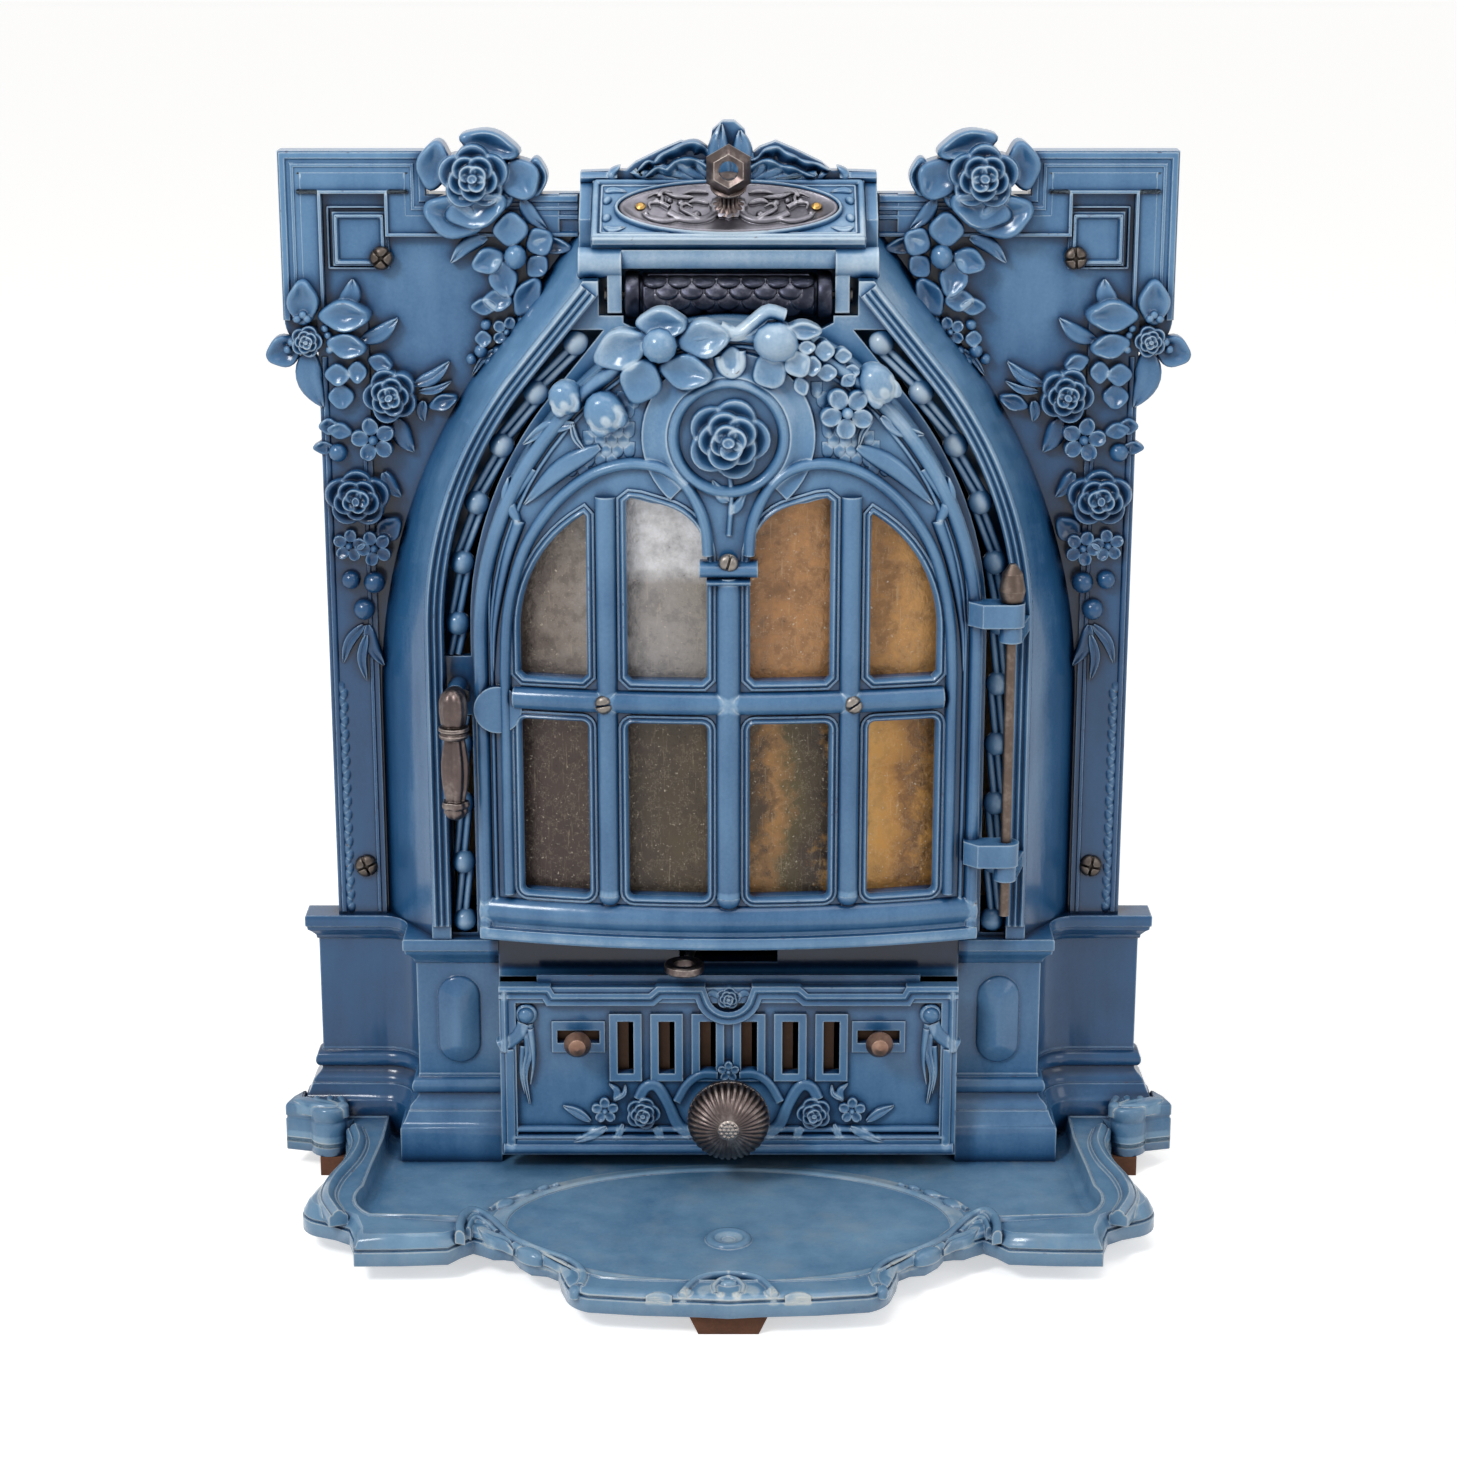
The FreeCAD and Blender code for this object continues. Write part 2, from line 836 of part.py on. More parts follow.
def facade_plate():
    """Facade with pilasters, the crossetted frame moulding and the fire opening."""
    body = new_body("FacadePlate")
    front = facade_front()
    pad(body, FRONT, size.facade_set, size.facade_thick, mirrored(facade_half_outline()))
    opening = shoulder("flare", size.facade_opening_margin, size.base_top - size.overrun, size.box_top)
    pocket(body, FRONT, front + size.overrun, size.facade_thick + size.overrun * 2, mirrored(opening))
    width = size.frame_width
    frame = [
        (-size.ear_half, size.ear_bottom),
        (-size.ear_half, size.ear_top),
        (-size.ear_inner_half, size.ear_top),
        (-size.ear_inner_half, size.facade_top),
        (-size.housing_half - width * 0.5, size.facade_top),
        (-size.housing_half - width * 0.5, size.facade_top - width),
        (-size.ear_inner_half - width, size.facade_top - width),
        (-size.ear_inner_half - width, size.ear_top - width),
        (-size.ear_half + width, size.ear_top - width),
        (-size.ear_half + width, size.ear_bottom),
    ]
    bottom = size.base_top
    inner = size.pilaster_half - size.pilaster_width
    pilaster = rectangle(-size.pilaster_half, -inner, bottom, size.ear_bottom)
    panel_x = -size.upper_screw_half - size.panel_side * 0.4
    panel_z = size.upper_screw_height + size.panel_side * 0.35
    half = size.panel_side / 2
    panel = rectangle(panel_x - half, panel_x + half, panel_z - half, panel_z + half)
    for side in (-1, 1):
        for outline, proud in ((frame, size.frame_proud), (pilaster, size.pilaster_proud), (panel, size.panel_proud)):
            pad(body, FRONT, front - size.overrun, proud + size.overrun, flipped(outline, side))
    holes = [(x, z, size.bolt_radius + size.bolt_play) for x, z in facade_screw_places()]
    pocket(body, FRONT, front + size.overrun * 2, size.facade_thick + size.overrun * 3, *holes)
    keep(body, "facade_plate")


def screw(name, radius, head_radius, head_height, length, proud):
    """Round-head screw whose head rises to the front from the place of its head's seat."""
    body = new_body(name)
    revolve(body, FRONT, [
        (0, -length),
        (radius, -length),
        (radius, 0),
        (head_radius, 0),
        (head_radius, head_height * proud),
        (head_radius * 0.6, head_height),
        (0, head_height),
    ])
    body.Placement = Placement(Vector(), Rotation(Vector(1, 0, 0), 90))
    return body


def nut(name, radius, bore, height):
    """Six-sided nut along the Y axis, standing back from its place."""
    body = new_body(name)
    corners = []
    for step in range(6):
        turn = math.radians(60 * step)
        x, z = round(math.cos(turn), 6), round(math.sin(turn), 6)
        corners.append((radius * x, radius * z if z else 0))
    pad(body, FRONT, 0, height, corners, (0, 0, bore))
    return body


def facade_fixings():
    """Four facade screws, and the nuts behind the plate that hold them."""
    screws, nuts = [], []
    length = size.facade_thick + size.nut_height + size.overrun
    for index, (x, z) in enumerate(facade_screw_places()):
        proud = size.panel_proud if index < 2 else size.pilaster_proud
        bolt = screw("FacadeScrew", size.bolt_radius, size.screw_head_radius, size.screw_head_height,
                     length + proud, 0.4)
        screws.append(move(bolt, x, -facade_front() - proud, z))
        holder = nut("FacadeNut", size.nut_radius, size.bolt_radius + size.bolt_play, size.nut_height)
        nuts.append(move(holder, x, size.nut_height - size.facade_set, z))
    keep(group("FacadeScrews", screws), "facade_screws")
    keep(group("FacadeNuts", nuts), "facade_nuts")


def gallery_inset():
    """Distance of the gallery's middle line from the arch's outer edge."""
    return size.rail_width + size.gallery_width / 2


def arch_front():
    """Flared arch casting with its rail, gallery slots, notch, sill and hinge lugs."""
    body = new_body("ArchFront")
    front, wall = size.arch_front, size.casting
    bottom = size.base_top
    back_outline = shoulder("flare", size.fit_gap * 0, bottom, size.flare_top)
    front_outline = shoulder("arch", size.fit_gap * 0, bottom, size.arch_top)
    loft(body, "PartDesign::AdditiveLoft", FRONT,
         [(facade_front(), mirrored(back_outline)), (front, mirrored(front_outline))])
    rise = size.overrun * 4
    back_hollow = shoulder("flare", wall, bottom - size.overrun, size.flare_top + rise)
    front_hollow = shoulder("arch", wall, bottom - size.overrun, size.arch_top + rise)
    loft(body, "PartDesign::SubtractiveLoft", FRONT,
         [(facade_front(), mirrored(back_hollow)), (front - wall, mirrored(front_hollow))])
    rail = front_outline + backward(shoulder("arch", size.rail_width, bottom, size.arch_top))
    for side in (-1, 1):
        pad(body, FRONT, front - wall, wall + size.rail_proud, flipped(rail, side))
    cut_arch_openings(body)
    pad_sill(body)
    for low in (size.upper_strap_bottom, size.lower_strap_bottom):
        pad_frame_lug(body, low - size.lug_gap - size.frame_lug_height)
    keep(body, "arch_front")


def cut_arch_openings(body):
    """Cut the fire opening, the gallery slots, the lid's notch and the trunnion seats."""
    front = size.arch_front + size.rail_proud + size.overrun
    through = size.casting + size.rail_proud + size.overrun * 2
    opening = door_outline(size.landing_width, size.door_bottom + size.landing_width * 0.75)
    pocket(body, FRONT, front, through, opening)
    outer, inner = size.rail_width, size.rail_width + size.gallery_width
    bottom = size.base_top + size.gallery_sill
    slot = (shoulder("arch", outer, bottom, size.gallery_end)
            + backward(shoulder("arch", inner, bottom, size.gallery_end)))
    for side in (-1, 1):
        pocket(body, FRONT, front, through, flipped(slot, side))
    lap = size.latch_block_lap
    left, right = outer - size.arch_half - lap, inner - size.arch_half + lap
    low = size.latch_height - size.latch_block_height / 2
    pad(body, FRONT, size.arch_front - size.casting, size.casting,
        rectangle(left, right, low, low + size.latch_block_height))
    top = size.arch_top + size.overrun
    notch = mirrored([
        (-size.notch_half, top),
        (-size.notch_half, size.notch_floor),
        (-size.notch_step_half, size.notch_floor),
        (-size.notch_step_half, size.notch_step_floor),
        (-size.notch_dip_half, size.notch_dip_floor),
    ])
    pocket(body, FRONT, front, through, notch)
    seat = (-size.trunnion_front, size.trunnion_height, size.trunnion_radius + size.fit_gap)
    pocket(body, SIDE, size.trunnion_half + size.overrun * 2, size.trunnion_half * 2 + size.overrun * 4, seat)


def pad_sill(body):
    """Sill between the base castings, with the slot for the grate's shaker."""
    half = size.block_inner_half - size.fit_gap
    bottom = size.base_top - size.sill_height
    level = size.arch_front - size.casting
    height = size.sill_height + size.casting
    pad(body, FRONT, level, size.casting + size.sill_proud, rectangle(-half, half, bottom, bottom + height))
    slot_half = size.sill_slot_half
    low = size.shaker_height - size.sill_slot_height / 2
    pocket(body, FRONT, size.arch_front + size.sill_proud + size.overrun, size.casting + size.sill_proud
           + size.overrun * 2, rectangle(-slot_half, slot_half, low, low + size.sill_slot_height))


def pad_frame_lug(body, low):
    """One hinge lug: an eye round the pin and an arm back to the arch's rail."""
    radius = size.frame_lug_radius
    middle = size.hinge_half
    arm_left, arm_right = middle, middle + radius * 2
    rail_front = size.arch_front + size.rail_proud - size.overrun
    plan = [
        (arm_left - radius, -size.hinge_front, radius, LEFT),
        (arm_left, -size.hinge_front - radius, radius, LEFT),
        (arm_left + radius, -size.hinge_front, radius, LEFT),
        (arm_right, -rail_front - size.overrun * 2),
        (arm_right, -rail_front),
        (arm_left + radius * 0.7, -rail_front),
        (arm_left + radius * 0.7, -size.hinge_front + radius),
        (arm_left, -size.hinge_front + radius),
    ]
    pad(body, TOP, low, size.frame_lug_height, plan)
    bore = (size.hinge_half, -size.hinge_front, size.pin_radius + size.pin_play)
    pocket(body, TOP, low + size.frame_lug_height + size.overrun,
           size.frame_lug_height + size.overrun * 2, bore)


def gallery_spots():
    """Centres of the left gallery's balls along its middle line, from the bottom up."""
    inset = gallery_inset()
    half, radius = size.arch_half - inset, size.arch_radius - inset
    low = size.base_top + size.gallery_sill + size.fit_gap + size.ball_radius
    upright = size.arch_spring - low
    arc = radius * size.arch_sweep * math.radians(1)
    end_x = radius - half - radius * cosine(size.arch_sweep)
    end_z = size.arch_spring + radius * sine(size.arch_sweep)
    slope = (size.gallery_end - size.ball_radius - end_z) / cosine(size.arch_sweep)
    spots = []
    for index in range(int(number(upright + arc + slope) / SIZES["ball_pitch"]) + 1):
        along = size.ball_pitch * index
        if along.value <= upright.value:
            spots.append((-half, low + along))
        elif along.value <= number(upright + arc):
            turn = (along - upright) / radius * math.degrees(1)
            spots.append((radius - half - radius * cosine(turn), size.arch_spring + radius * sine(turn)))
        else:
            rest = along - upright - arc
            spots.append((end_x + rest * sine(size.arch_sweep), end_z + rest * cosine(size.arch_sweep)))
    return spots


def gallery_rod(start, end, shift, side):
    """Slanting rod from one spot to another, shifted across its run at the start and the end."""
    run_x, run_z = end[0] - start[0], end[1] - start[1]
    run = root(run_x * run_x + run_z * run_z)
    across_x, across_z = run_z / run, -run_x / run
    lean = size.ball_rod_spread
    from_x, from_z = start[0] + across_x * (shift - lean), start[1] + across_z * (shift - lean)
    rod_x, rod_z = run_x + across_x * lean, run_z + across_z * lean
    rod = cylinder("GalleryRod", size.ball_rod_radius, root(rod_x * rod_x + rod_z * rod_z))
    turn = Size(math.degrees(math.atan2(number(rod_x), number(rod_z))) * -side,
                f"(atan2({formula(rod_x)}; {formula(rod_z)}) * {-side})")
    rod.Placement = Placement(Vector(), Rotation(Vector(0, 1, 0), turn.value))
    bind(rod, "Placement.Rotation.Angle", turn)
    return move(rod, from_x * -side, -size.arch_front + size.casting / 2, from_z)


def gallery(name, side):
    """Balls joined by slanting pairs of rods in the slot between the arch's rail and landing."""
    spots = gallery_spots()
    block = size.latch_block_height / 2 + size.fit_gap * 3
    block_low, block_high = size.latch_height - block, size.latch_height + block
    taken = [index for index, spot in enumerate(spots)
             if side < 0 and block_low.value < spot[1].value < block_high.value]
    solids = []
    for index, spot in enumerate(spots):
        if index not in taken:
            ball = document.addObject("Part::Sphere", "GalleryBall")
            bind(ball, "Radius", size.ball_radius)
            solids.append(move(ball, spot[0] * -side, -size.arch_front + size.casting / 2, spot[1]))
        if index + 1 < len(spots):
            start, end = spot, spots[index + 1]
            if index in taken:
                start = (start[0], block_high)
            if index + 1 in taken:
                end = (end[0], block_low)
            for shift in (size.fit_gap * 0, size.ball_rod_spread):
                solids.append(gallery_rod(start, end, shift, side))
    keep(fuse("Gallery" + name, solids), "gallery_" + name)


def hopper_housing():
    """Cheeks beside the loading mouth and the shell crest behind the lid."""
    body = new_body("HopperHousing")
    front, back = size.cheek_front, facade_front() + size.fit_gap
    seat_slope = (size.flare_top - size.arch_top) / (size.arch_front - facade_front())
    seat_front = size.arch_top + (size.arch_front - front) * seat_slope + size.fit_gap
    seat_back = size.arch_top + (size.arch_front - back) * seat_slope + size.fit_gap
    under_front = lid_underside(front) - size.fit_gap
    under_back = lid_underside(back) - size.fit_gap
    ledge = [(-front, seat_front), (-back, seat_back), (-back, under_back), (-front, under_front)]
    lip = size.cheek_lip
    wall = [(-front, seat_front), (-back, seat_back), (-back, under_back + lip), (-front, under_front + lip)]
    inner = size.cheek_inner_half
    wall_inner = size.lid_half + size.fit_gap * 2
    shoulder_z = size.facade_top + size.fit_gap
    for level in (inner, -size.housing_half):
        pad(body, SIDE, level, size.housing_half - inner, ledge)
    for level in (wall_inner, -size.housing_half):
        pad(body, SIDE, level, size.housing_half - wall_inner, wall)
    rise = size.crest_top - size.crest_shoulder
    crest = [(-size.housing_half, shoulder_z), (-size.housing_half, size.crest_shoulder)]
    for across, up in CREST_SHARES:
        crest.append((-size.housing_half * across, size.crest_shoulder + rise * up))
    pad(body, FRONT, size.facade_set, size.crest_thick, mirrored(crest))
    keep(body, "hopper_housing")


def lid_underside(front):
    """Height of the lid's underside at a distance in front of the facade's back."""
    drop = size.lid_thick / cosine(size.lid_slope)
    return size.lid_front_top - drop + (size.lid_front - front) * tangent(size.lid_slope)


def lid_frame():
    """Sloped lid with its trunnions and the two ears that carry the roller."""
    body = new_body("LidFrame")
    cos, sin = cosine(size.lid_slope), sine(size.lid_slope)
    front_y, front_z = -size.lid_front, size.lid_front_top
    back_y, back_z = front_y + size.lid_run * cos, front_z + size.lid_run * sin
    down_y, down_z = size.lid_thick * sin, -size.lid_thick * cos
    profile = [
        (front_y + down_y, front_z + down_z),
        (back_y + down_y, back_z + down_z),
        (back_y, back_z),
        (front_y, front_z),
    ]
    pad(body, SIDE, -size.lid_half, size.lid_half * 2, profile)
    inner, outer = size.ear_plate_inner, size.ear_plate_outer
    trunnion = (-size.trunnion_front, size.trunnion_height, size.trunnion_radius)
    ear_front = size.lid_front - size.fit_gap * 3
    ear_back = ear_front - size.ear_plate_depth
    ear = rectangle(-ear_front, -ear_back, size.ear_plate_bottom, lid_underside(ear_front))
    ear[2] = (-ear_back, lid_underside(ear_back) + size.fit_gap)
    ear[3] = (-ear_front, lid_underside(ear_front) + size.fit_gap)
    for level in (inner, -outer):
        pad(body, SIDE, level, outer - inner, ear)
    for level in (inner, -size.trunnion_half):
        pad(body, SIDE, level, size.trunnion_half - inner, trunnion)
    hole = (-size.roller_front, size.roller_height, size.roller_rod_radius + size.pin_play)
    pocket(body, SIDE, size.trunnion_half, size.trunnion_half * 2, hole)
    keep(body, "lid_frame")


def on_lid(body, along, lift):
    """Place a body on the lid's top face, at a distance up its slope and a lift off it."""
    cos, sin = cosine(size.lid_slope), sine(size.lid_slope)
    body.Placement = Placement(Vector(), Rotation(Vector(1, 0, 0), SIZES["lid_slope"]))
    bind(body, "Placement.Rotation.Angle", size.lid_slope)
    y = -size.lid_front + along * cos - lift * sin
    z = size.lid_front_top + along * sin + lift * cos
    return y, z


def oval_outline():
    """Oval of two flat arcs joined by two tight end arcs."""
    length, width, tight = size.oval_half_length, size.oval_half_width, size.oval_end_radius
    centre = length - tight
    flat = (centre * centre + width * width - tight * tight) / ((width - tight) * 2)
    join_x = centre + tight * centre / (flat - tight)
    join_y = tight * (flat - width) / (flat - tight)
    return [
        (-join_x, -join_y, tight, LEFT),
        (join_x, -join_y, flat, LEFT),
        (join_x, join_y, tight, LEFT),
        (-join_x, join_y, flat, LEFT),
    ]


def lid_fittings():
    """Oval plate on the lid, its two screws and the ring-headed knob."""
    middle = size.lid_run / 2
    oval = new_body("OvalPlate")
    play = size.oval_screw_radius * 0.5 + size.bolt_play
    holes = [(side * size.oval_screw_half, 0, play) for side in (-1, 1)]
    pad(oval, TOP, 0, size.oval_thick, oval_outline(), *holes)
    y, z = on_lid(oval, middle, size.oval_thick * 0)
    move(oval, 0, y, z)
    keep(oval, "oval_plate")
    screws = []
    for side in (-1, 1):
        body = new_body("OvalScrew")
        head, shank = size.oval_screw_radius, size.oval_screw_radius * 0.5
        revolve(body, FRONT, [
            (0, -size.oval_thick),
            (shank, -size.oval_thick),
            (shank, 0),
            (head, 0),
            (head, size.oval_screw_head * 0.5),
            (head * 0.5, size.oval_screw_head),
            (0, size.oval_screw_head),
        ])
        y, z = on_lid(body, middle, size.oval_thick)
        screws.append(move(body, side * size.oval_screw_half, y, z))
    keep(group("OvalScrews", screws), "oval_screws")
    lid_knob(middle)


def lid_knob(middle):
    """Turned stem with a thick ring head that has an eye through it."""
    body = new_body("LidKnob")
    stem, length = size.knob_stem_radius, size.knob_stem_length
    revolve(body, FRONT, [
        (0, 0),
        (stem * 1.8, 0),
        (stem * 1.5, length * 0.12),
        (stem * 0.8, length * 0.3),
        (stem, length * 0.6),
        (stem * 1.7, length * 0.85),
        (stem * 1.5, length),
        (0, length),
    ])
    ring = size.knob_ring_radius
    centre = length + ring * 0.8
    half_thick = size.knob_ring_thick / 2
    pad(body, FRONT, -half_thick, size.knob_ring_thick, (0, centre, ring))
    pocket(body, FRONT, half_thick + size.overrun, size.knob_ring_thick + size.overrun * 2,
           (0, centre, size.knob_eye_radius))
    y, z = on_lid(body, middle, size.oval_thick)
    move(body, 0, y, z)
    keep(body, "lid_knob")


def roller():
    """Roller grip with its end collars, on a rod riveted through the lid's ears."""
    grip = new_body("RollerGrip")
    bore, radius, collar = size.roller_rod_radius + size.bolt_play, size.roller_radius, size.roller_collar_radius
    half, width = size.roller_half, size.roller_collar_width
    revolve(grip, TOP, [
        (bore, -half),
        (collar, -half),
        (collar, width - half),
        (radius, width - half),
        (radius, half - width),
        (collar, half - width),
        (collar, half),
        (bore, half),
    ])
    grip.Placement = Placement(Vector(), Rotation(Vector(0, 0, 1), 90))
    move(grip, 0, -size.roller_front, size.roller_height)
    keep(grip, "roller_grip")
    rod = new_body("RollerRod")
    rod_radius, rivet = size.roller_rod_radius, size.roller_rivet_radius
    inner = size.ear_plate_outer + size.fit_gap
    end = inner + size.roller_rivet_height
    revolve(rod, TOP, [
        (0, -end), (rivet, -end), (rivet, -inner), (rod_radius, -inner),
        (rod_radius, inner), (rivet, inner), (rivet, end), (0, end),
    ])
    rod.Placement = Placement(Vector(), Rotation(Vector(0, 0, 1), 90))
    move(rod, 0, -size.roller_front, size.roller_height)
    keep(rod, "roller_rod")


def bow_middle():
    """Distance behind the facade's back of the axis that the door bows round."""
    return size.door_bow_radius - size.door_front


def bow_front(radius, x):
    """Height and place of the bow at x: the Y of a circle of this radius."""
    return bow_middle() - root(radius * radius - x * x)


def bow_block(name, radius, half, back, bottom, height):
    """Block with a bowed front: an arc of this radius before a flat back."""
    body = new_body(name)
    front = bow_front(radius, half)
    plan = [(-half, back), (-half, front), (half, front, radius, LEFT), (half, back)]
    pad(body, TOP, bottom, height, plan)
    return body


def window_outlines(grow):
    """Eight window outlines, grown by a lap on every side."""
    columns = (
        (-size.window_outer_half - grow, -size.window_split_outer + grow),
        (-size.window_split_inner - grow, -size.window_inner_half + grow),
    )
    outlines = []
    low, high = size.lower_window_bottom - grow, size.lower_window_top + grow
    for left, right in columns:
        for side in (-1, 1):
            outlines.append(flipped(rectangle(left, right, low, high), side))
    radius = size.window_arch_radius + grow
    centre_x = -size.window_outer_half + size.window_arch_radius
    spring = size.upper_window_spring
    low = size.upper_window_bottom - grow
    foil = size.foil_radius + grow

    def arch_height(x):
        run = x - centre_x
        return spring + root(radius * radius - run * run)

    (left, right), (inner_left, inner_right) = columns
    outer = [
        (left, low),
        (right, low),
        (right, arch_height(right)),
        (left, spring, radius, LEFT),
    ]
    peak_x = inner_right - foil
    inner = [
        (inner_left, low),
        (inner_right, low),
        (inner_right, size.foil_spring),
        (peak_x, size.foil_spring + foil, foil, LEFT),
        (inner_left, arch_height(inner_left), radius, LEFT),
    ]
    for outline in (outer, inner):
        for side in (-1, 1):
            outlines.append(flipped(outline, side))
    return outlines


def door_frame():
    """Bowed door plate with a rim that closes on the arch, windows, lobe and hinge straps."""
    bottom = size.door_bottom
    height = size.arch_top - bottom
    half = size.door_half + size.overrun
    back = -size.arch_front - size.door_gap
    deep = size.door_front + size.overrun
    blank = new_body("DoorBlank")
    pad(blank, FRONT, size.arch_front + size.door_gap, deep - size.arch_front - size.door_gap,
        door_outline(size.fit_gap * 0, bottom))
    bow = bow_block("DoorBow", size.door_bow_radius, half, back, bottom, height)
    shell = common("DoorShell", blank, bow)
    rim = size.door_rim
    core = new_body("DoorCore")
    pad(core, FRONT, size.arch_front - size.overrun, deep - size.arch_front + size.overrun,
        door_outline(rim, bottom + rim))
    inner_bow = bow_block("DoorInnerBow", size.door_bow_radius - size.door_thick, half, back
                          + size.overrun, bottom, height)
    hollow = common("DoorHollow", core, inner_bow)
    panes = new_body("DoorWindows")
    for outline in window_outlines(size.fit_gap * 0):
        pad(panes, FRONT, size.arch_front, deep - size.arch_front, outline)
    openings = fuse("DoorOpenings", [hollow, panes, door_screw_holes()])
    plate = cut("DoorPlate", shell, openings)
    solids = [plate, door_lobe()] + [hinge_strap(low) for low in (size.upper_strap_bottom, size.lower_strap_bottom)]
    bore = cylinder("HingeBore", size.pin_radius + size.pin_play, size.arch_top)
    move(bore, size.hinge_half, -size.hinge_front, 0)
    keep(cut("DoorFrame", fuse("DoorSolids", solids), bore), "door_frame")


def door_lobe():
    """Half round lobe on the door's left stile, beside the latch."""
    lobe = lie_along_y(cylinder("DoorLobe", size.lobe_radius, size.door_thick))
    x = size.lobe_radius - size.door_half
    return move(lobe, x, bow_front(size.door_bow_radius, x) + size.door_thick - size.lobe_proud, size.lobe_height)


def hinge_strap(low):
    """Strap across the door's right stile with an eye round the hinge pin."""
    body = new_body("HingeStrap")
    radius = size.strap_radius
    left = size.hinge_half - size.strap_reach
    front = size.hinge_front + radius
    plan = [
        (left, -size.hinge_front + radius * 1.5),
        (left, -size.hinge_front),
        (left + radius, -front),
        (size.hinge_half, -front),
        (size.hinge_half + radius, -size.hinge_front, radius, LEFT),
        (size.hinge_half, -size.hinge_front + radius, radius, LEFT),
        (size.door_half, -size.hinge_front + radius),
        (size.door_half, -size.hinge_front + radius * 1.5),
    ]
    pad(body, TOP, low, size.strap_height, plan)
    return body


def door_screw_places():
    """Where the three screws of the mica retainer go."""
    return ((-size.door_screw_half, size.door_screw_height), (size.door_screw_half, size.door_screw_height),
            (0, size.door_screw_top))


def door_screw_holes():
    """Clearance holes through the door plate and the retainer."""
    holes = []
    for x, z in door_screw_places():
        hole = lie_along_y(cylinder("DoorScrewHole", size.bolt_radius * 0.75 + size.bolt_play, size.reach))
        holes.append(move(hole, x, 0, z))
    return fuse("DoorScrewHoles", holes)


def bowed_layer(name, outlines, outer_radius, thick, bottom, height):
    """Outlines cut from a bowed sheet of this outer radius and thickness."""
    sheet_body = new_body(name + "Sheet")
    half = size.door_half - size.door_rim - size.door_gap
    inner_radius = outer_radius - thick
    plan = [
        (-half, bow_front(inner_radius, half)),
        (-half, bow_front(outer_radius, half)),
        (half, bow_front(outer_radius, half), outer_radius, LEFT),
        (half, bow_front(inner_radius, half)),
    ]
    plan[0] = plan[0] + (inner_radius, RIGHT)
    pad(sheet_body, TOP, bottom, height, plan)
    shape = new_body(name + "Shape")
    for outline in outlines:
        pad(shape, FRONT, size.arch_front, size.door_front - size.arch_front, *outline)
    return common(name, shape, sheet_body)


def mica():
    """Eight mica panes behind the windows, and the grid that holds them in the door."""
    bottom = size.door_bottom
    height = size.arch_top - bottom
    radius = size.door_bow_radius - size.door_thick - size.fit_gap
    outlines = [[outline] for outline in window_outlines(size.mica_lap)]
    keep(bowed_layer("MicaPanes", outlines, radius, size.mica_thick, bottom, height), "mica_panes")
    inset = size.door_rim + size.door_gap
    grid = [door_outline(inset, size.lower_window_bottom - size.frame_width)]
    back = radius - size.mica_thick - size.fit_gap
    layer = bowed_layer("RetainerLayer", [grid], back, size.retainer_thick, bottom, height)
    windows = new_body("RetainerWindows")
    for outline in window_outlines(size.fit_gap * 0):
        pad(windows, FRONT, size.arch_front - size.overrun, size.door_front - size.arch_front + size.overrun, outline)
    tools = fuse("RetainerTools", [windows, door_screw_holes()])
    keep(cut("MicaRetainer", layer, tools), "mica_retainer")


def door_fixings():
    """Three slotted screws through the door and the retainer, with their nuts."""
    screws, nuts = [], []
    radius = size.bolt_radius * 0.75
    back_radius = size.door_bow_radius - size.door_thick - size.fit_gap * 2 - size.mica_thick - size.retainer_thick
    for x, z in door_screw_places():
        half, head = size.door_screw_half * (1 if x else 0), size.door_screw_radius
        seat = bow_front(size.door_bow_radius, half - head * (1 if x else 0))
        back = bow_front(back_radius, half + head) + size.fit_gap
        bolt = screw("DoorScrew", radius, size.door_screw_radius, size.screw_head_height * 0.7,
                     back - seat + size.nut_height, 0.4)
        screws.append(move(bolt, x, seat - size.fit_gap, z))
        holder = nut("DoorNut", size.door_screw_radius, radius + size.bolt_play, size.nut_height * 0.7)
        nuts.append(move(holder, x, back + size.nut_height * 0.7, z))
    keep(group("DoorScrews", screws), "door_screws")
    keep(group("DoorNuts", nuts), "door_nuts")


def hinge_pin():
    """Long hinge pin dropped through the lugs, with an acorn head."""
    body = new_body("HingePin")
    head_seat = size.upper_strap_bottom + size.strap_height + size.lug_gap
    length = head_seat - size.pin_bottom
    radius, acorn, tall = size.pin_radius, size.acorn_radius, size.acorn_height
    revolve(body, FRONT, [
        (0, 0),
        (radius, 0),
        (radius, length),
        (acorn * 0.8, length),
        (acorn, length + tall * 0.3),
        (acorn * 0.75, length + tall * 0.75),
        (acorn * 0.25, length + tall),
        (0, length + tall),
    ])
    move(body, size.hinge_half, -size.hinge_front, size.pin_bottom)
    keep(body, "door_hinge_pin")


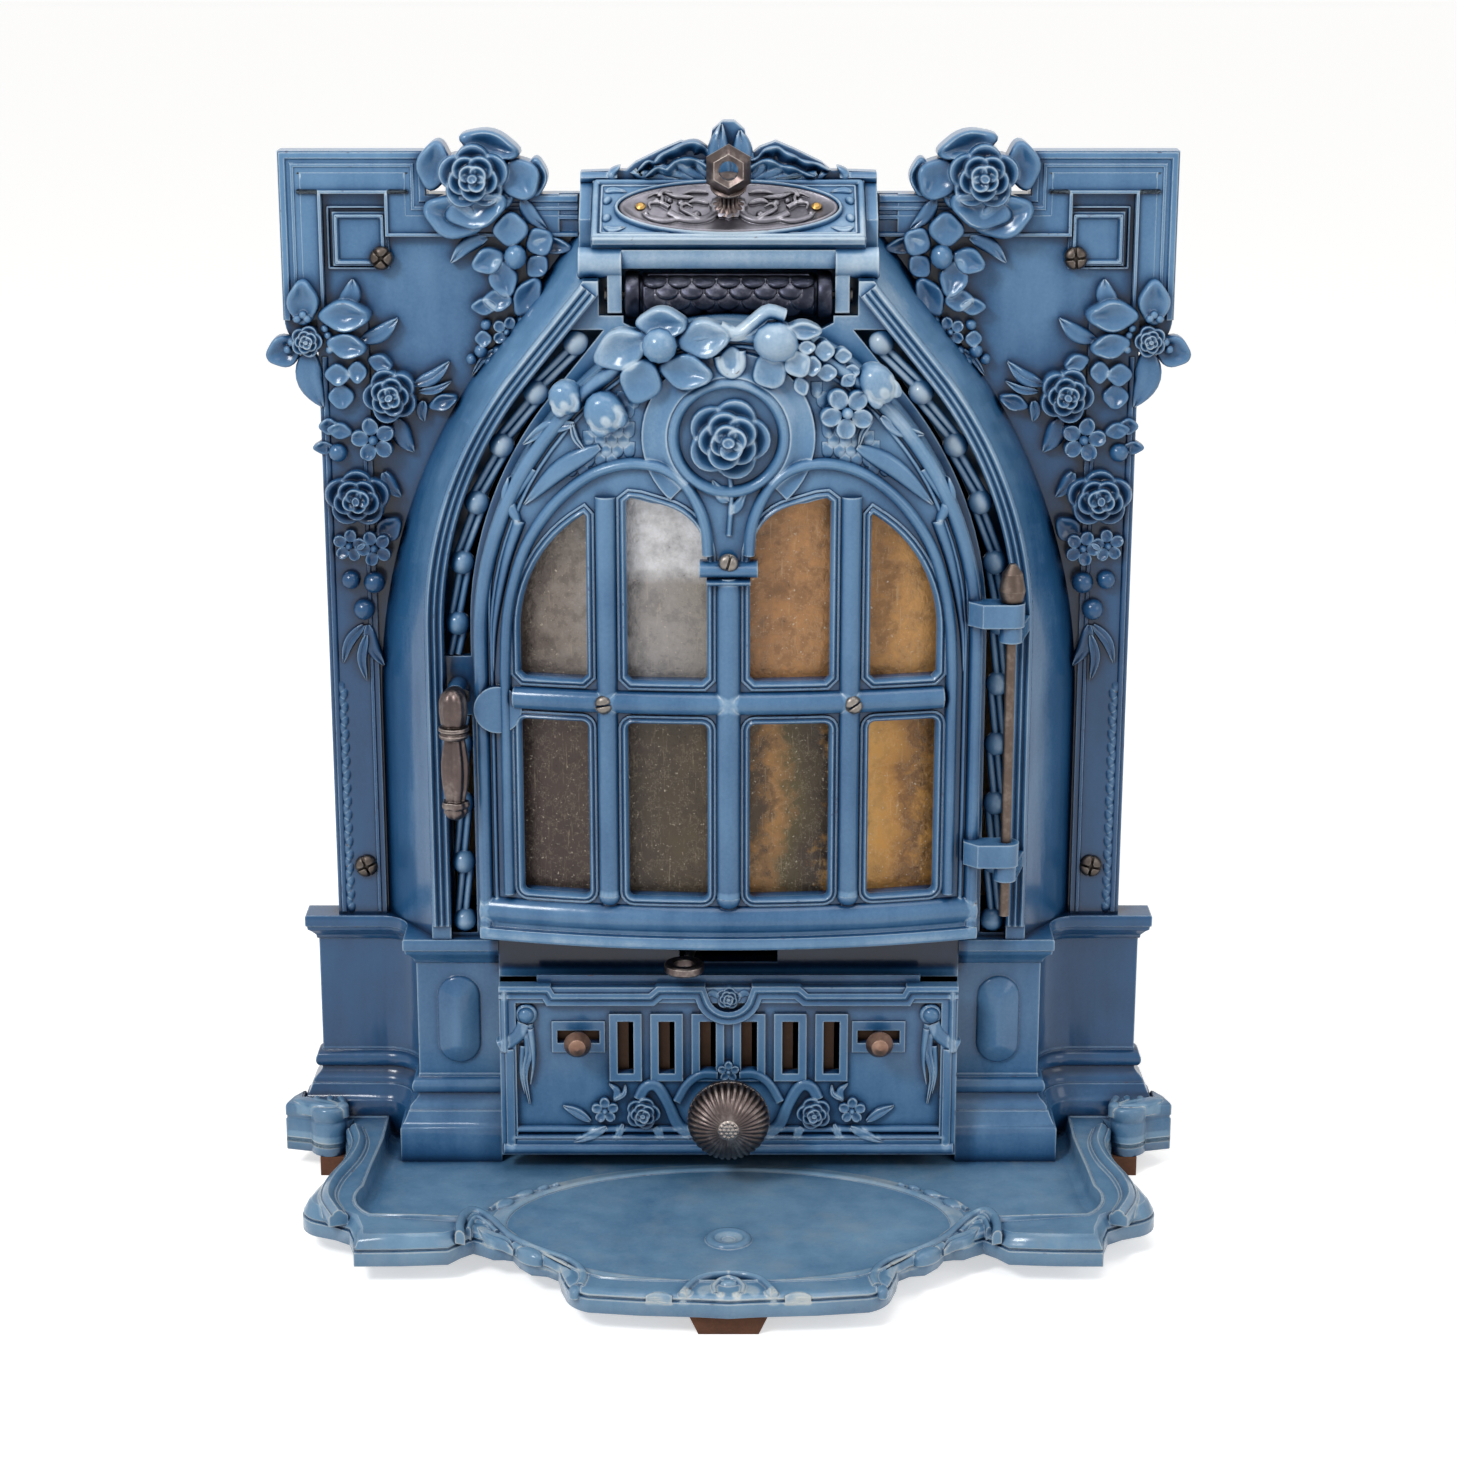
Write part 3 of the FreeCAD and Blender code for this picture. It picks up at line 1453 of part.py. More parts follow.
def latch():
    """Hanging latch handle on a spindle, with its nose beside the door's lobe and its nut."""
    handle = new_body("LatchHandle")
    hub, length = size.latch_hub_radius, size.latch_hub_length
    pad(handle, FRONT, 0, length, (0, 0, hub))
    grip = size.latch_grip_radius
    tip = size.latch_tip_radius
    neck, grip_length = hub * 0.6, size.latch_grip_length
    drop = [
        (-neck, 0),
        (-neck, -hub),
        (-grip, -hub - grip),
        (-grip, -grip_length * 0.6),
        (-grip * 0.7, -grip_length * 0.8),
        (-tip, -grip_length),
        (0, -grip_length - tip, tip, LEFT),
        (tip, -grip_length, tip, LEFT),
        (grip * 0.7, -grip_length * 0.8),
        (grip, -grip_length * 0.6),
        (grip, -hub - grip),
        (neck, -hub),
        (neck, 0),
    ]
    middle = length / 2
    pad(handle, FRONT, middle - grip * 0.8, grip * 1.6, drop)
    pocket(handle, FRONT, length * 0.7, length, (0, 0, size.spindle_radius + size.pin_play))
    move(handle, -size.latch_half, -size.latch_front, size.latch_height)
    keep(handle, "latch_handle")

    block_front = size.arch_front
    cam = new_body("LatchCam")
    half_height = size.cam_height / 2
    nose = [
        (0, -half_height, half_height, LEFT),
        (size.cam_length * 0.5, -half_height),
        (size.cam_length, -half_height * 0.6),
        (size.cam_length, half_height * 0.6),
        (size.cam_length * 0.5, half_height),
        (0, half_height),
        (-half_height, 0, half_height, LEFT),
    ]
    pad(cam, FRONT, 0, size.cam_thick, nose)
    pocket(cam, FRONT, size.cam_thick + size.overrun, size.cam_thick + size.overrun * 2,
           (0, 0, size.spindle_radius + size.pin_play))
    cam_back = size.latch_front - size.fit_gap - size.cam_thick
    move(cam, -size.latch_half, -cam_back, size.latch_height)
    keep(cam, "latch_cam")

    inside = size.arch_front - size.casting
    spindle = lie_along_y(cylinder("LatchSpindle", size.spindle_radius,
                                   size.latch_front + size.latch_hub_length * 0.6 - inside + size.nut_height * 1.5))
    move(spindle, -size.latch_half, -inside + size.nut_height * 1.5, size.latch_height)
    keep(spindle, "latch_spindle")
    holder = nut("LatchNut", size.nut_radius, size.spindle_radius + size.pin_play, size.nut_height)
    move(holder, -size.latch_half, -inside + size.nut_height + size.fit_gap, size.latch_height)
    keep(holder, "latch_nut")
    collar = new_body("LatchCollar")
    pad(collar, FRONT, block_front + size.fit_gap, cam_back - block_front - size.fit_gap * 2,
        (-size.latch_half, size.latch_height, size.latch_hub_radius * 0.8),
        (-size.latch_half, size.latch_height, size.spindle_radius + size.pin_play))
    keep(collar, "latch_collar")


def drill_latch_block():
    """The spindle's bore through the arch casting's latch block."""
    body = next(item for item in nodes if item.Label == "arch_front")
    bore = (-size.latch_half, size.latch_height, size.spindle_radius + size.pin_play)
    pocket(body, FRONT, size.arch_front + size.rail_proud + size.overrun,
           size.casting + size.rail_proud + size.overrun * 2, bore)


def vent_spots():
    """Middles of the vents, evenly spaced about the drawer's middle."""
    count = int(SIZES["vent_count"])
    return [size.vent_pitch * (index - (count - 1) / 2) for index in range(count)]


def drawer_front():
    """Ash drawer front with its back board, border moulding, framed vents and slider slots."""
    body = new_body("DrawerFront")
    bottom, top = size.drawer_bottom, size.drawer_bottom + size.drawer_height
    back = size.drawer_front - size.drawer_thick
    half, border = size.drawer_half, size.drawer_border
    relief = size.drawer_relief
    pad(body, FRONT, back, size.drawer_thick - relief, rectangle(-half, half, bottom, top))
    board = rectangle(-size.drawer_back_half, size.drawer_back_half, bottom, top + size.drawer_back_rise)
    pad(body, FRONT, back, size.drawer_back_thick, board)
    face = size.drawer_front - relief
    frame_outer = rectangle(-half, half, bottom, top)
    frame_inner = rectangle(border - half, half - border, bottom + border, top - border)
    pad(body, FRONT, face - relief, relief * 2, frame_outer, frame_inner)
    rim, width = size.vent_frame, size.vent_width / 2
    low, high = size.vent_bottom, size.vent_bottom + size.vent_height
    proud = size.vent_frame_proud
    for x in vent_spots():
        pad(body, FRONT, face - proud, proud * 2, rectangle(x - width - rim, x + width + rim, low - rim, high + rim))
    plate_half, plate_tall = size.escutcheon_width / 2, size.escutcheon_height / 2
    for side in (-1, 1):
        x, z = size.escutcheon_half * side, size.escutcheon_middle
        pad(body, FRONT, face - proud, proud * 2 - proud * 0.5,
            rectangle(x - plate_half, x + plate_half, z - plate_tall, z + plate_tall))
    through = size.drawer_thick + size.overrun * 2
    for x in vent_spots():
        pocket(body, FRONT, size.drawer_front + size.overrun, through, rectangle(x - width, x + width, low, high))
    slot_half, slot_tall = size.slider_slot_width / 2, size.slider_slot_height / 2
    for side in (-1, 1):
        x, z = size.escutcheon_half * side, size.escutcheon_middle
        pocket(body, FRONT, size.drawer_front + size.overrun, through,
               rectangle(x - slot_half, x + slot_half, z - slot_tall, z + slot_tall))
    pocket(body, FRONT, size.drawer_front + size.overrun, through,
           (0, size.dome_middle, size.bolt_radius + size.bolt_play))
    keep(body, "ash_drawer_front")


def slider_back():
    """Distance in front of the facade's back of the air slider's rear face."""
    return size.drawer_front - size.drawer_thick - size.fit_gap - size.slider_thick


def air_slider():
    """Perforated plate behind the vents with a round knob through each slot."""
    body = new_body("AirSlider")
    low, high = size.vent_bottom, size.vent_bottom + size.vent_height
    margin, half = size.slider_margin, size.slider_half
    pad(body, FRONT, slider_back(), size.slider_thick, rectangle(-half, half, low - margin, high + margin))
    width = size.vent_width / 2
    for x in vent_spots():
        middle = x + size.slider_shift
        pocket(body, FRONT, slider_back() + size.slider_thick + size.overrun, size.slider_thick
               + size.overrun * 2, rectangle(middle - width, middle + width, low, high))
    keep(body, "air_slider")
    knobs = []
    front = slider_back() + size.slider_thick
    for side in (-1, 1):
        knob = new_body("SliderKnob")
        shank, ball, length = size.slider_shank_radius, size.slider_knob_radius, size.slider_shank_length
        revolve(knob, FRONT, [
            (0, 0),
            (shank, 0),
            (shank, length + size.drawer_relief),
            (ball * 0.8, length + size.drawer_relief + ball * 0.3),
            (ball, length + size.drawer_relief + ball * 0.9),
            (ball * 0.6, length + size.drawer_relief + ball * 1.6),
            (0, length + size.drawer_relief + ball * 1.8),
        ])
        knob.Placement = Placement(Vector(), Rotation(Vector(1, 0, 0), 90))
        knobs.append(move(knob, size.escutcheon_half * side, -front, size.escutcheon_middle))
    keep(group("SliderKnobs", knobs), "slider_knobs")
    slider_guides()


def slider_guides():
    """Two hooked strips on the back of the drawer front that carry the air slider."""
    low, high = size.vent_bottom - size.slider_margin, size.vent_bottom + size.vent_height + size.slider_margin
    lap, tall, gap = size.guide_lap, size.guide_height, size.fit_gap
    front = size.drawer_front - size.drawer_thick
    hook_front = slider_back() - gap
    hook_back = hook_front - lap
    strips = []
    for edge, turn in ((low, -1), (high, 1)):
        strip = new_body("SliderGuide")
        profile = [
            (-front, edge + gap * turn),
            (-hook_front, edge + gap * turn),
            (-hook_front, edge - lap * turn),
            (-hook_back, edge - lap * turn),
            (-hook_back, edge + tall * turn),
            (-front, edge + tall * turn),
        ]
        pad(strip, SIDE, -size.slider_half, size.slider_half * 2, profile)
        strips.append(strip)
    keep(group("SliderGuides", strips), "slider_guides")


def ash_pan():
    """Open sheet-iron pan behind the drawer front."""
    body = new_body("AshPan")
    wall, half = size.pan_wall, size.pan_half
    bottom = size.drawer_bottom + wall
    front, back = size.drawer_front - size.drawer_thick, size.pan_back
    pad(body, TOP, bottom, size.pan_height, rectangle(-half, half, -front, back))
    pocket(body, TOP, bottom + size.pan_height + size.overrun, size.pan_height + size.overrun - wall,
           rectangle(wall - half, half - wall, wall - front, back - wall))
    bolt = (0, size.dome_middle, size.bolt_radius + size.bolt_play)
    pocket(body, FRONT, front + size.overrun, wall + size.overrun * 2, bolt)
    keep(body, "ash_pan")
    runners = []
    floor = tray_floor_top()
    for x in (-size.pan_half, size.pan_half - size.runner_width):
        runners.append(box("Runner", x, -size.block_front + size.overrun, floor, size.runner_width,
                           size.block_front + size.pan_back, bottom - size.fit_gap - floor))
    keep(group("DrawerRunners", runners), "drawer_runners")


def drawer_knob():
    """Domed knob on the ash drawer and the bolt that holds it."""
    body = new_body("DrawerKnob")
    shank, length, dome, tall = size.dome_shank_radius, size.dome_shank_length, size.dome_radius, size.dome_height
    base = length - size.overrun * 0.6
    bore = size.bolt_radius + size.bolt_play
    revolve(body, FRONT, [
        (bore, 0),
        (shank * 1.3, 0),
        (shank * 0.8, base * 0.4),
        (shank, base),
        (dome * 0.9, base),
        (dome, base + tall * 0.2),
        (dome * 0.88, base + tall * 0.55),
        (dome * 0.6, base + tall * 0.82),
        (0, base + tall),
        (0, base + tall * 0.5),
        (bore, base + tall * 0.5),
    ])
    body.Placement = Placement(Vector(), Rotation(Vector(1, 0, 0), 90))
    face = size.drawer_front - size.drawer_relief
    move(body, 0, -face - size.fit_gap, size.dome_middle)
    keep(body, "drawer_knob")
    inside = size.drawer_front - size.drawer_thick - size.pan_wall - size.fit_gap
    bolt = new_body("KnobBolt")
    head = size.nut_height
    long = face - inside + base + tall * 0.4
    revolve(bolt, FRONT, [
        (0, -head),
        (size.nut_radius, -head),
        (size.nut_radius, 0),
        (size.bolt_radius, 0),
        (size.bolt_radius, long),
        (0, long),
    ])
    bolt.Placement = Placement(Vector(), Rotation(Vector(1, 0, 0), 90))
    move(bolt, 0, -inside, size.dome_middle)
    keep(bolt, "drawer_knob_bolt")


def firebox():
    """Iron plates of the firebox and the ash chamber behind the facade."""
    half, depth, thick = size.box_half, size.box_depth, size.plate
    floor, top = tray_floor_top(), size.box_top
    front = -size.facade_set
    long = depth - front
    keep(box("BasePlate", -half, front + size.fit_gap, size.foot_height, half * 2, long + thick - size.fit_gap,
             size.tray_thick), "base_plate")
    for name, x in (("left", -half), ("right", half - thick)):
        keep(box("BoxSide" + name, x, front, floor, thick, long, top - floor), "firebox_side_" + name)
    keep(box("BoxTop", -half, front, top, half * 2, long + thick, thick), "firebox_top")
    back = new_body("BoxBack")
    wide = size.tie_half + size.nut_radius
    pad(back, FRONT, -(depth + thick), thick, rectangle(-wide, wide, floor, top), (0, size.flue_height, size.flue_bore_radius))
    holes = [(x, z, size.bolt_radius + size.bolt_play) for x, z in tie_places()]
    pocket(back, FRONT, -depth + size.overrun, thick + size.overrun * 2, *holes)
    keep(back, "firebox_back")
    bricks()


def bricks():
    """Firebricks that stand on the grate plate against the side and back plates."""
    thick, gap = size.brick_thick, size.fit_gap
    bottom = size.floor_height + size.plate
    inside = size.box_half - size.plate - gap
    back = size.box_depth - gap
    front = gap - size.facade_set
    for name, x in (("left", -inside), ("right", inside - thick)):
        keep(box("Brick" + name, x, front, bottom, thick, back - front, size.brick_height), "firebrick_" + name)
    width = (inside - thick - gap) * 2
    keep(box("BrickBack", -width / 2, back - thick, bottom, width, thick, size.brick_height), "firebrick_back")


def grate():
    """Grate plate with its ring seat, the round shaking grate, its rod and ring."""
    thick, middle = size.plate, size.grate_middle
    inside = size.box_half - size.plate - size.fit_gap
    floor = new_body("GratePlate")
    front = size.arch_front - size.casting - size.fit_gap
    behind = size.fit_gap - size.facade_set
    plan = [
        (-inside, size.box_depth - size.fit_gap),
        (-inside, behind),
        (-size.block_inner_half, behind),
        (-size.block_inner_half, -front),
    ]
    seat = size.grate_radius + size.fit_gap
    pad(floor, TOP, size.floor_height, thick, mirrored(plan), (0, middle, seat))
    ring_low = size.floor_height - size.grate_ring_height
    wide, narrow = size.grate_radius + size.grate_ring_width / 2, size.grate_radius - size.grate_ring_width / 2
    pad(floor, TOP, ring_low, size.grate_ring_height, (0, middle, wide), (0, middle, narrow))
    keep(floor, "grate_plate")
    disc = new_body("FireGrate")
    lift = size.floor_height + size.fit_gap
    pad(disc, TOP, lift, thick, (0, middle, size.grate_radius))
    pitch = size.grate_bar + size.grate_slot
    count = int(SIZES["grate_slot_count"])
    for index in range(count):
        x = pitch * (index - (count - 1) / 2)
        reach = root(size.grate_radius * size.grate_radius * 0.8 - x * x)
        pocket(disc, TOP, lift + thick + size.overrun, thick + size.overrun * 2,
               rectangle(x - size.grate_slot / 2, x + size.grate_slot / 2, middle - reach, middle + reach))
    hub = size.shaker_rod_radius * 2.5
    low = size.shaker_height - size.shaker_rod_radius
    pad(disc, TOP, low, lift - low, (0, middle, hub))
    keep(disc, "fire_grate")
    shaker()


def shaker():
    """Rod from the grate's hub out through the sill slot, with a ring at its end."""
    middle, lean = size.grate_middle, size.shaker_lean
    radius = size.shaker_rod_radius
    reach = size.grate_middle + size.shaker_reach
    start = radius * 2.5
    rod = lie_along_y(cylinder("ShakerRod", radius, reach / cosine(lean) - start - size.shaker_ring_radius))
    turn = Rotation(Vector(0, 0, 1), -SIZES["shaker_lean"]) * Rotation(Vector(1, 0, 0), 90)
    rod.Placement = Placement(Vector(), turn)
    x, y = -start * sine(lean), middle - start * cosine(lean)
    keep(move(rod, x, y, size.shaker_height), "shaker_rod")
    ring = new_body("ShakerRing")
    wire, chamfer = size.shaker_ring_wire, size.shaker_ring_chamfer
    inner, outer = size.shaker_ring_radius - wire, size.shaker_ring_radius + wire
    revolve(ring, FRONT, [
        (inner + chamfer, -wire),
        (outer - chamfer, -wire),
        (outer, chamfer - wire),
        (outer, wire - chamfer),
        (outer - chamfer, wire),
        (inner + chamfer, wire),
        (inner, wire - chamfer),
        (inner, chamfer - wire),
    ])
    run = reach / cosine(lean) + wire
    move(ring, -run * sine(lean), middle - run * cosine(lean), size.shaker_height)
    keep(ring, "shaker_ring")


def flue():
    """Flue collar on the back plate with its four bolts."""
    depth = size.box_depth + size.plate
    bore, outer = size.flue_bore_radius, size.flue_bore_radius + size.flue_wall
    height = size.flue_height
    collar = new_body("FlueCollar")
    flange = size.flue_flange_thick
    pad(collar, FRONT, -(depth + flange), flange, (0, height, size.flue_flange_radius), (0, height, bore))
    pad(collar, FRONT, -size.reach, size.reach - depth, (0, height, outer), (0, height, bore))
    spread = size.flue_bolt_circle * math.sqrt(0.5)
    spots = [(side * spread, height + up * spread) for side in (-1, 1) for up in (-1, 1)]
    holes = [(x, z, size.bolt_radius * 0.75 + size.bolt_play) for x, z in spots]
    pocket(collar, FRONT, size.overrun - depth, flange + size.overrun * 2, *holes)
    keep(collar, "flue_collar")
    bolts = []
    for x, z in spots:
        bolt = screw("CollarBolt", size.bolt_radius * 0.75, size.door_screw_radius, size.nut_height * 0.7,
                     flange - size.fit_gap, 0.9)
        bolt.Placement = Placement(Vector(), Rotation(Vector(1, 0, 0), -90))
        bolts.append(move(bolt, x, depth + flange + size.fit_gap * 0, z))
    keep(group("CollarBolts", bolts), "flue_collar_bolts")


def tie_places():
    """Where the four tie rods pass beside the firebox."""
    return [(side * size.tie_half, z) for side in (-1, 1) for z in (size.tie_lower, size.tie_upper)]


def tie_rods():
    """Rods that clamp the back plate to the facade, and their nuts."""
    rods, nuts = [], []
    end = size.box_depth + size.plate + size.nut_height + size.overrun
    for x, z in tie_places():
        rods.append(move(lie_along_y(cylinder("TieRod", size.bolt_radius, end + size.facade_set)), x, end, z))
        holder = nut("TieNut", size.nut_radius, size.bolt_radius + size.bolt_play, size.nut_height)
        nuts.append(move(holder, x, size.box_depth + size.plate + size.nut_height, z))
    keep(group("TieRods", rods), "tie_rods")
    keep(group("TieNuts", nuts), "tie_rod_nuts")


def build():
    """Build every sub-part in the order in which the stove goes together."""
    hearth_tray()
    feet()
    for name, side in SIDES:
        base_casting(name, side)
    facade_plate()
    facade_fixings()
    arch_front()
    drill_latch_block()
    for name, side in SIDES:
        gallery(name, side)
    hopper_housing()
    lid_frame()
    lid_fittings()
    roller()
    door_frame()
    mica()
    door_fixings()
    hinge_pin()
    latch()
    drawer_front()
    air_slider()
    ash_pan()
    drawer_knob()
    firebox()
    grate()
    flue()
    tie_rods()
    document.recompute()


def check():
    """Stop on any failed feature, empty shape or cut that removes nothing."""
    for item in document.Objects:
        if "Invalid" in item.State or "Error" in item.State:
            raise RuntimeError(f"{item.Name} ({item.Label}) failed: {item.State}")
        if item.TypeId in ("PartDesign::Pocket", "PartDesign::SubtractiveLoft"):
            if item.Shape.Volume >= item.BaseFeature.Shape.Volume:
                raise RuntimeError(f"{item.Name} cuts nothing")
    for item in nodes:
        if item.Shape.isNull() or not item.Shape.isValid() or not item.Shape.Solids:
            raise RuntimeError(f"{item.Label} has no valid solid")


def write():
    """Write each sub-part's shape to its own file."""
    os.makedirs("parts", exist_ok=True)
    for item in nodes:
        item.Shape.exportStep(f"parts/{item.Label}.step")


fill_sheet()
build()
check()
write()
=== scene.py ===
"""Looks of an enamelled cast-iron fireplace stove with an arched door of mica panes."""

import logging
import math
from collections.abc import Callable, Iterator, Sequence
from dataclasses import dataclass
from enum import Enum
from functools import partial

import bmesh
import bpy
import numpy as np
from bpy.types import Material, NodeSocket, NodeTree, Object
from mathutils import Euler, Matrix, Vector
from mathutils.geometry import tessellate_polygon


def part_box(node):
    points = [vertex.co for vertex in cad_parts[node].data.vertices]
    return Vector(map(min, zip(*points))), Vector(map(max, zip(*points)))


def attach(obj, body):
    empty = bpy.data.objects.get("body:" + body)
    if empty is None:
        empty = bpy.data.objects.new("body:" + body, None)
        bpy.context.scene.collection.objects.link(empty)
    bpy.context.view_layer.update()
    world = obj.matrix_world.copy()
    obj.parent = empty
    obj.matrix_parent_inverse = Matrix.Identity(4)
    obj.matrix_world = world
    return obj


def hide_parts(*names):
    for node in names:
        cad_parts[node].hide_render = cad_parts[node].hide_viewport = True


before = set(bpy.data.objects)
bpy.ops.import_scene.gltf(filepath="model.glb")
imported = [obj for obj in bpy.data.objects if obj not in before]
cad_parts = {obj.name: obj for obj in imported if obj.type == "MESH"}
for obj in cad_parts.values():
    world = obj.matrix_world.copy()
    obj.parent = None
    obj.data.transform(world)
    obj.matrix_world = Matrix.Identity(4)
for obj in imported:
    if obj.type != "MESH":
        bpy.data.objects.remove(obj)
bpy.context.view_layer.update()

MM = 0.001
Point = tuple[float, float]
Surface = Callable[[np.ndarray], np.ndarray]
log = logging.getLogger("stove")

# A mix node's settings for colours, and the number of its colour output
MIX_COLOURS = {"data_type": "RGBA"}
MIXED = 2

# The apron runs from the drawer's top edge to the door's foot
APRON = (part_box("ash_drawer_front")[1].z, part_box("door_frame")[0].z)


class Slot(Enum):
    """Material slots of the record."""

    ENAMEL = "enamel"
    TRAY = "tray_enamel"
    IRON = "bare_iron"
    RUST = "rusty_iron"
    NICKEL = "aged_nickel"
    BRONZE = "aged_bronze"
    PEWTER = "dark_pewter"
    BRASS = "brass"
    STEEL = "steel"
    SHEET = "sheet_steel"
    MICA = "mica"
    BRICK = "firebrick"


class Body(Enum):
    """Bodies of the record that carry ornament."""

    STOVE = "stove"
    DOOR = "door"
    LATCH = "latch"
    LID = "lid"
    ROLLER = "roller"
    DRAWER = "drawer"


class Blade(Enum):
    """Outline of a blade along its length."""

    LEAF = "leaf"
    STEM = "stem"
    TAPER = "taper"


def linear(colour: str) -> tuple[float, float, float, float]:
    """Turn an sRGB hex colour into a linear one.

    Args:
        colour: Six hex digits after a hash sign.

    Returns:
        Red, green, blue and an alpha of one.
    """
    shares = [int(colour[i:i + 2], 16) / 255 for i in (1, 3, 5)]
    r, g, b = (s / 12.92 if s <= 0.04045 else ((s + 0.055) / 1.055) ** 2.4 for s in shares)
    return r, g, b, 1.0


def add_node(tree: NodeTree, kind: str, inputs: dict[str | int, object] | None = None,
             settings: dict[str, object] | None = None, output: str | int = 0,
             stops: Sequence[tuple[float, str]] = ()) -> NodeSocket:
    """Add a node, set its attributes and colour stops, and fill or link its inputs.

    Args:
        tree: Tree that gets the node.
        kind: Type name of the node.
        inputs: Values or output sockets for its inputs, by name or index.
        settings: Attributes of the node itself.
        output: Name or index of the output that is wanted.
        stops: Places from 0 to 1 of a colour ramp with their hex colours.

    Returns:
        The wanted output socket.
    """
    node = tree.nodes.new(kind)
    for name, value in (settings or {}).items():
        setattr(node, name, value)
    for name, value in (inputs or {}).items():
        if isinstance(value, NodeSocket):
            tree.links.new(value, node.inputs[name])
        else:
            node.inputs[name].default_value = value
    if stops:
        ramp = node.color_ramp
        while len(ramp.elements) < len(stops):
            ramp.elements.new(0.5)
        for element, (place, colour) in zip(ramp.elements, stops):
            element.position = place
            element.color = linear(colour)
    return node.outputs[output]


def add_up(tree: NodeTree, start: float, terms: Sequence[tuple[NodeSocket, float]]) -> NodeSocket:
    """Sum weighted sockets.

    Args:
        tree: Tree that gets the nodes.
        start: Number that the sum starts from.
        terms: Sockets with their weights.

    Returns:
        The socket of the sum.
    """
    total: object = start
    for socket, weight in terms:
        total = add_node(tree, "ShaderNodeMath", {0: socket, 1: weight, 2: total},
                         {"operation": "MULTIPLY_ADD"})
    return total


@dataclass(frozen=True)
class Edges:
    """Sockets that tell raised edges and hollows from flat parts."""

    raised: NodeSocket
    hollow: NodeSocket
    open_sky: NodeSocket
    soft_normal: NodeSocket


class Shader:
    """A material under construction with its shared nodes."""

    def __init__(self, name: str) -> None:
        self.material = bpy.data.materials.new(name)
        self.material.use_nodes = True
        self.tree = self.material.node_tree
        self.principled = next(n for n in self.tree.nodes if n.type == "BSDF_PRINCIPLED")
        self.add = partial(add_node, self.tree)
        self.sum = partial(add_up, self.tree)
        self.where = self.add("ShaderNodeTexCoord", output="Object")

    def put(self, **inputs: object) -> None:
        """Set or link inputs of the shader, with an underscore for each space in their names."""
        for name, value in inputs.items():
            socket = self.principled.inputs[name.replace("_", " ")]
            if isinstance(value, NodeSocket):
                self.tree.links.new(value, socket)
            else:
                socket.default_value = value

    def masked(self, *masks: tuple[NodeSocket, float, float]) -> NodeSocket:
        """Multiply masks that each rise from 0 to 1 over a span of a value.

        Args:
            masks: Value, and the ends of its span where the mask is 0 and 1.

        Returns:
            The socket of the product.
        """
        product = None
        for value, low, high in masks:
            mask = self.add("ShaderNodeMapRange", {0: value, 1: low, 2: high})
            if product is None:
                product = mask
            else:
                product = self.add("ShaderNodeMath", {0: product, 1: mask}, {"operation": "MULTIPLY"})
        return product

    def edges(self, radius: float, reach: float) -> Edges:
        """Add the nodes that find edges and hollows from the shape itself.

        Args:
            radius: Radius of a softened edge in metres.
            reach: How far a hollow's walls may stand apart, in metres.

        Returns:
            The sockets of the masks and the softened normal.
        """
        soft = self.add("ShaderNodeBevel", {"Radius": radius}, {"samples": 4})
        inward = {"samples": 8, "inside": True, "only_local": True}
        thin = self.add("ShaderNodeAmbientOcclusion", {"Distance": radius * 1.6}, inward, "AO")
        near, far = (self.add("ShaderNodeAmbientOcclusion", {"Distance": reach * share}, {"samples": 6},
                              "AO") for share in (0.35, 1))
        plain = self.add("ShaderNodeNewGeometry", output="Normal")
        along = self.add("ShaderNodeVectorMath", {0: soft, 1: plain}, {"operation": "DOT_PRODUCT"}, "Value")
        rim = self.masked((along, 0.995, 0.86), (near, 0.5, 0.9))
        raised = self.sum(0.0, [(rim, 0.7), (self.masked((thin, 0.92, 0.45)), 0.3)])
        return Edges(raised, self.masked((near, 0.9, 0.35)), far, soft)


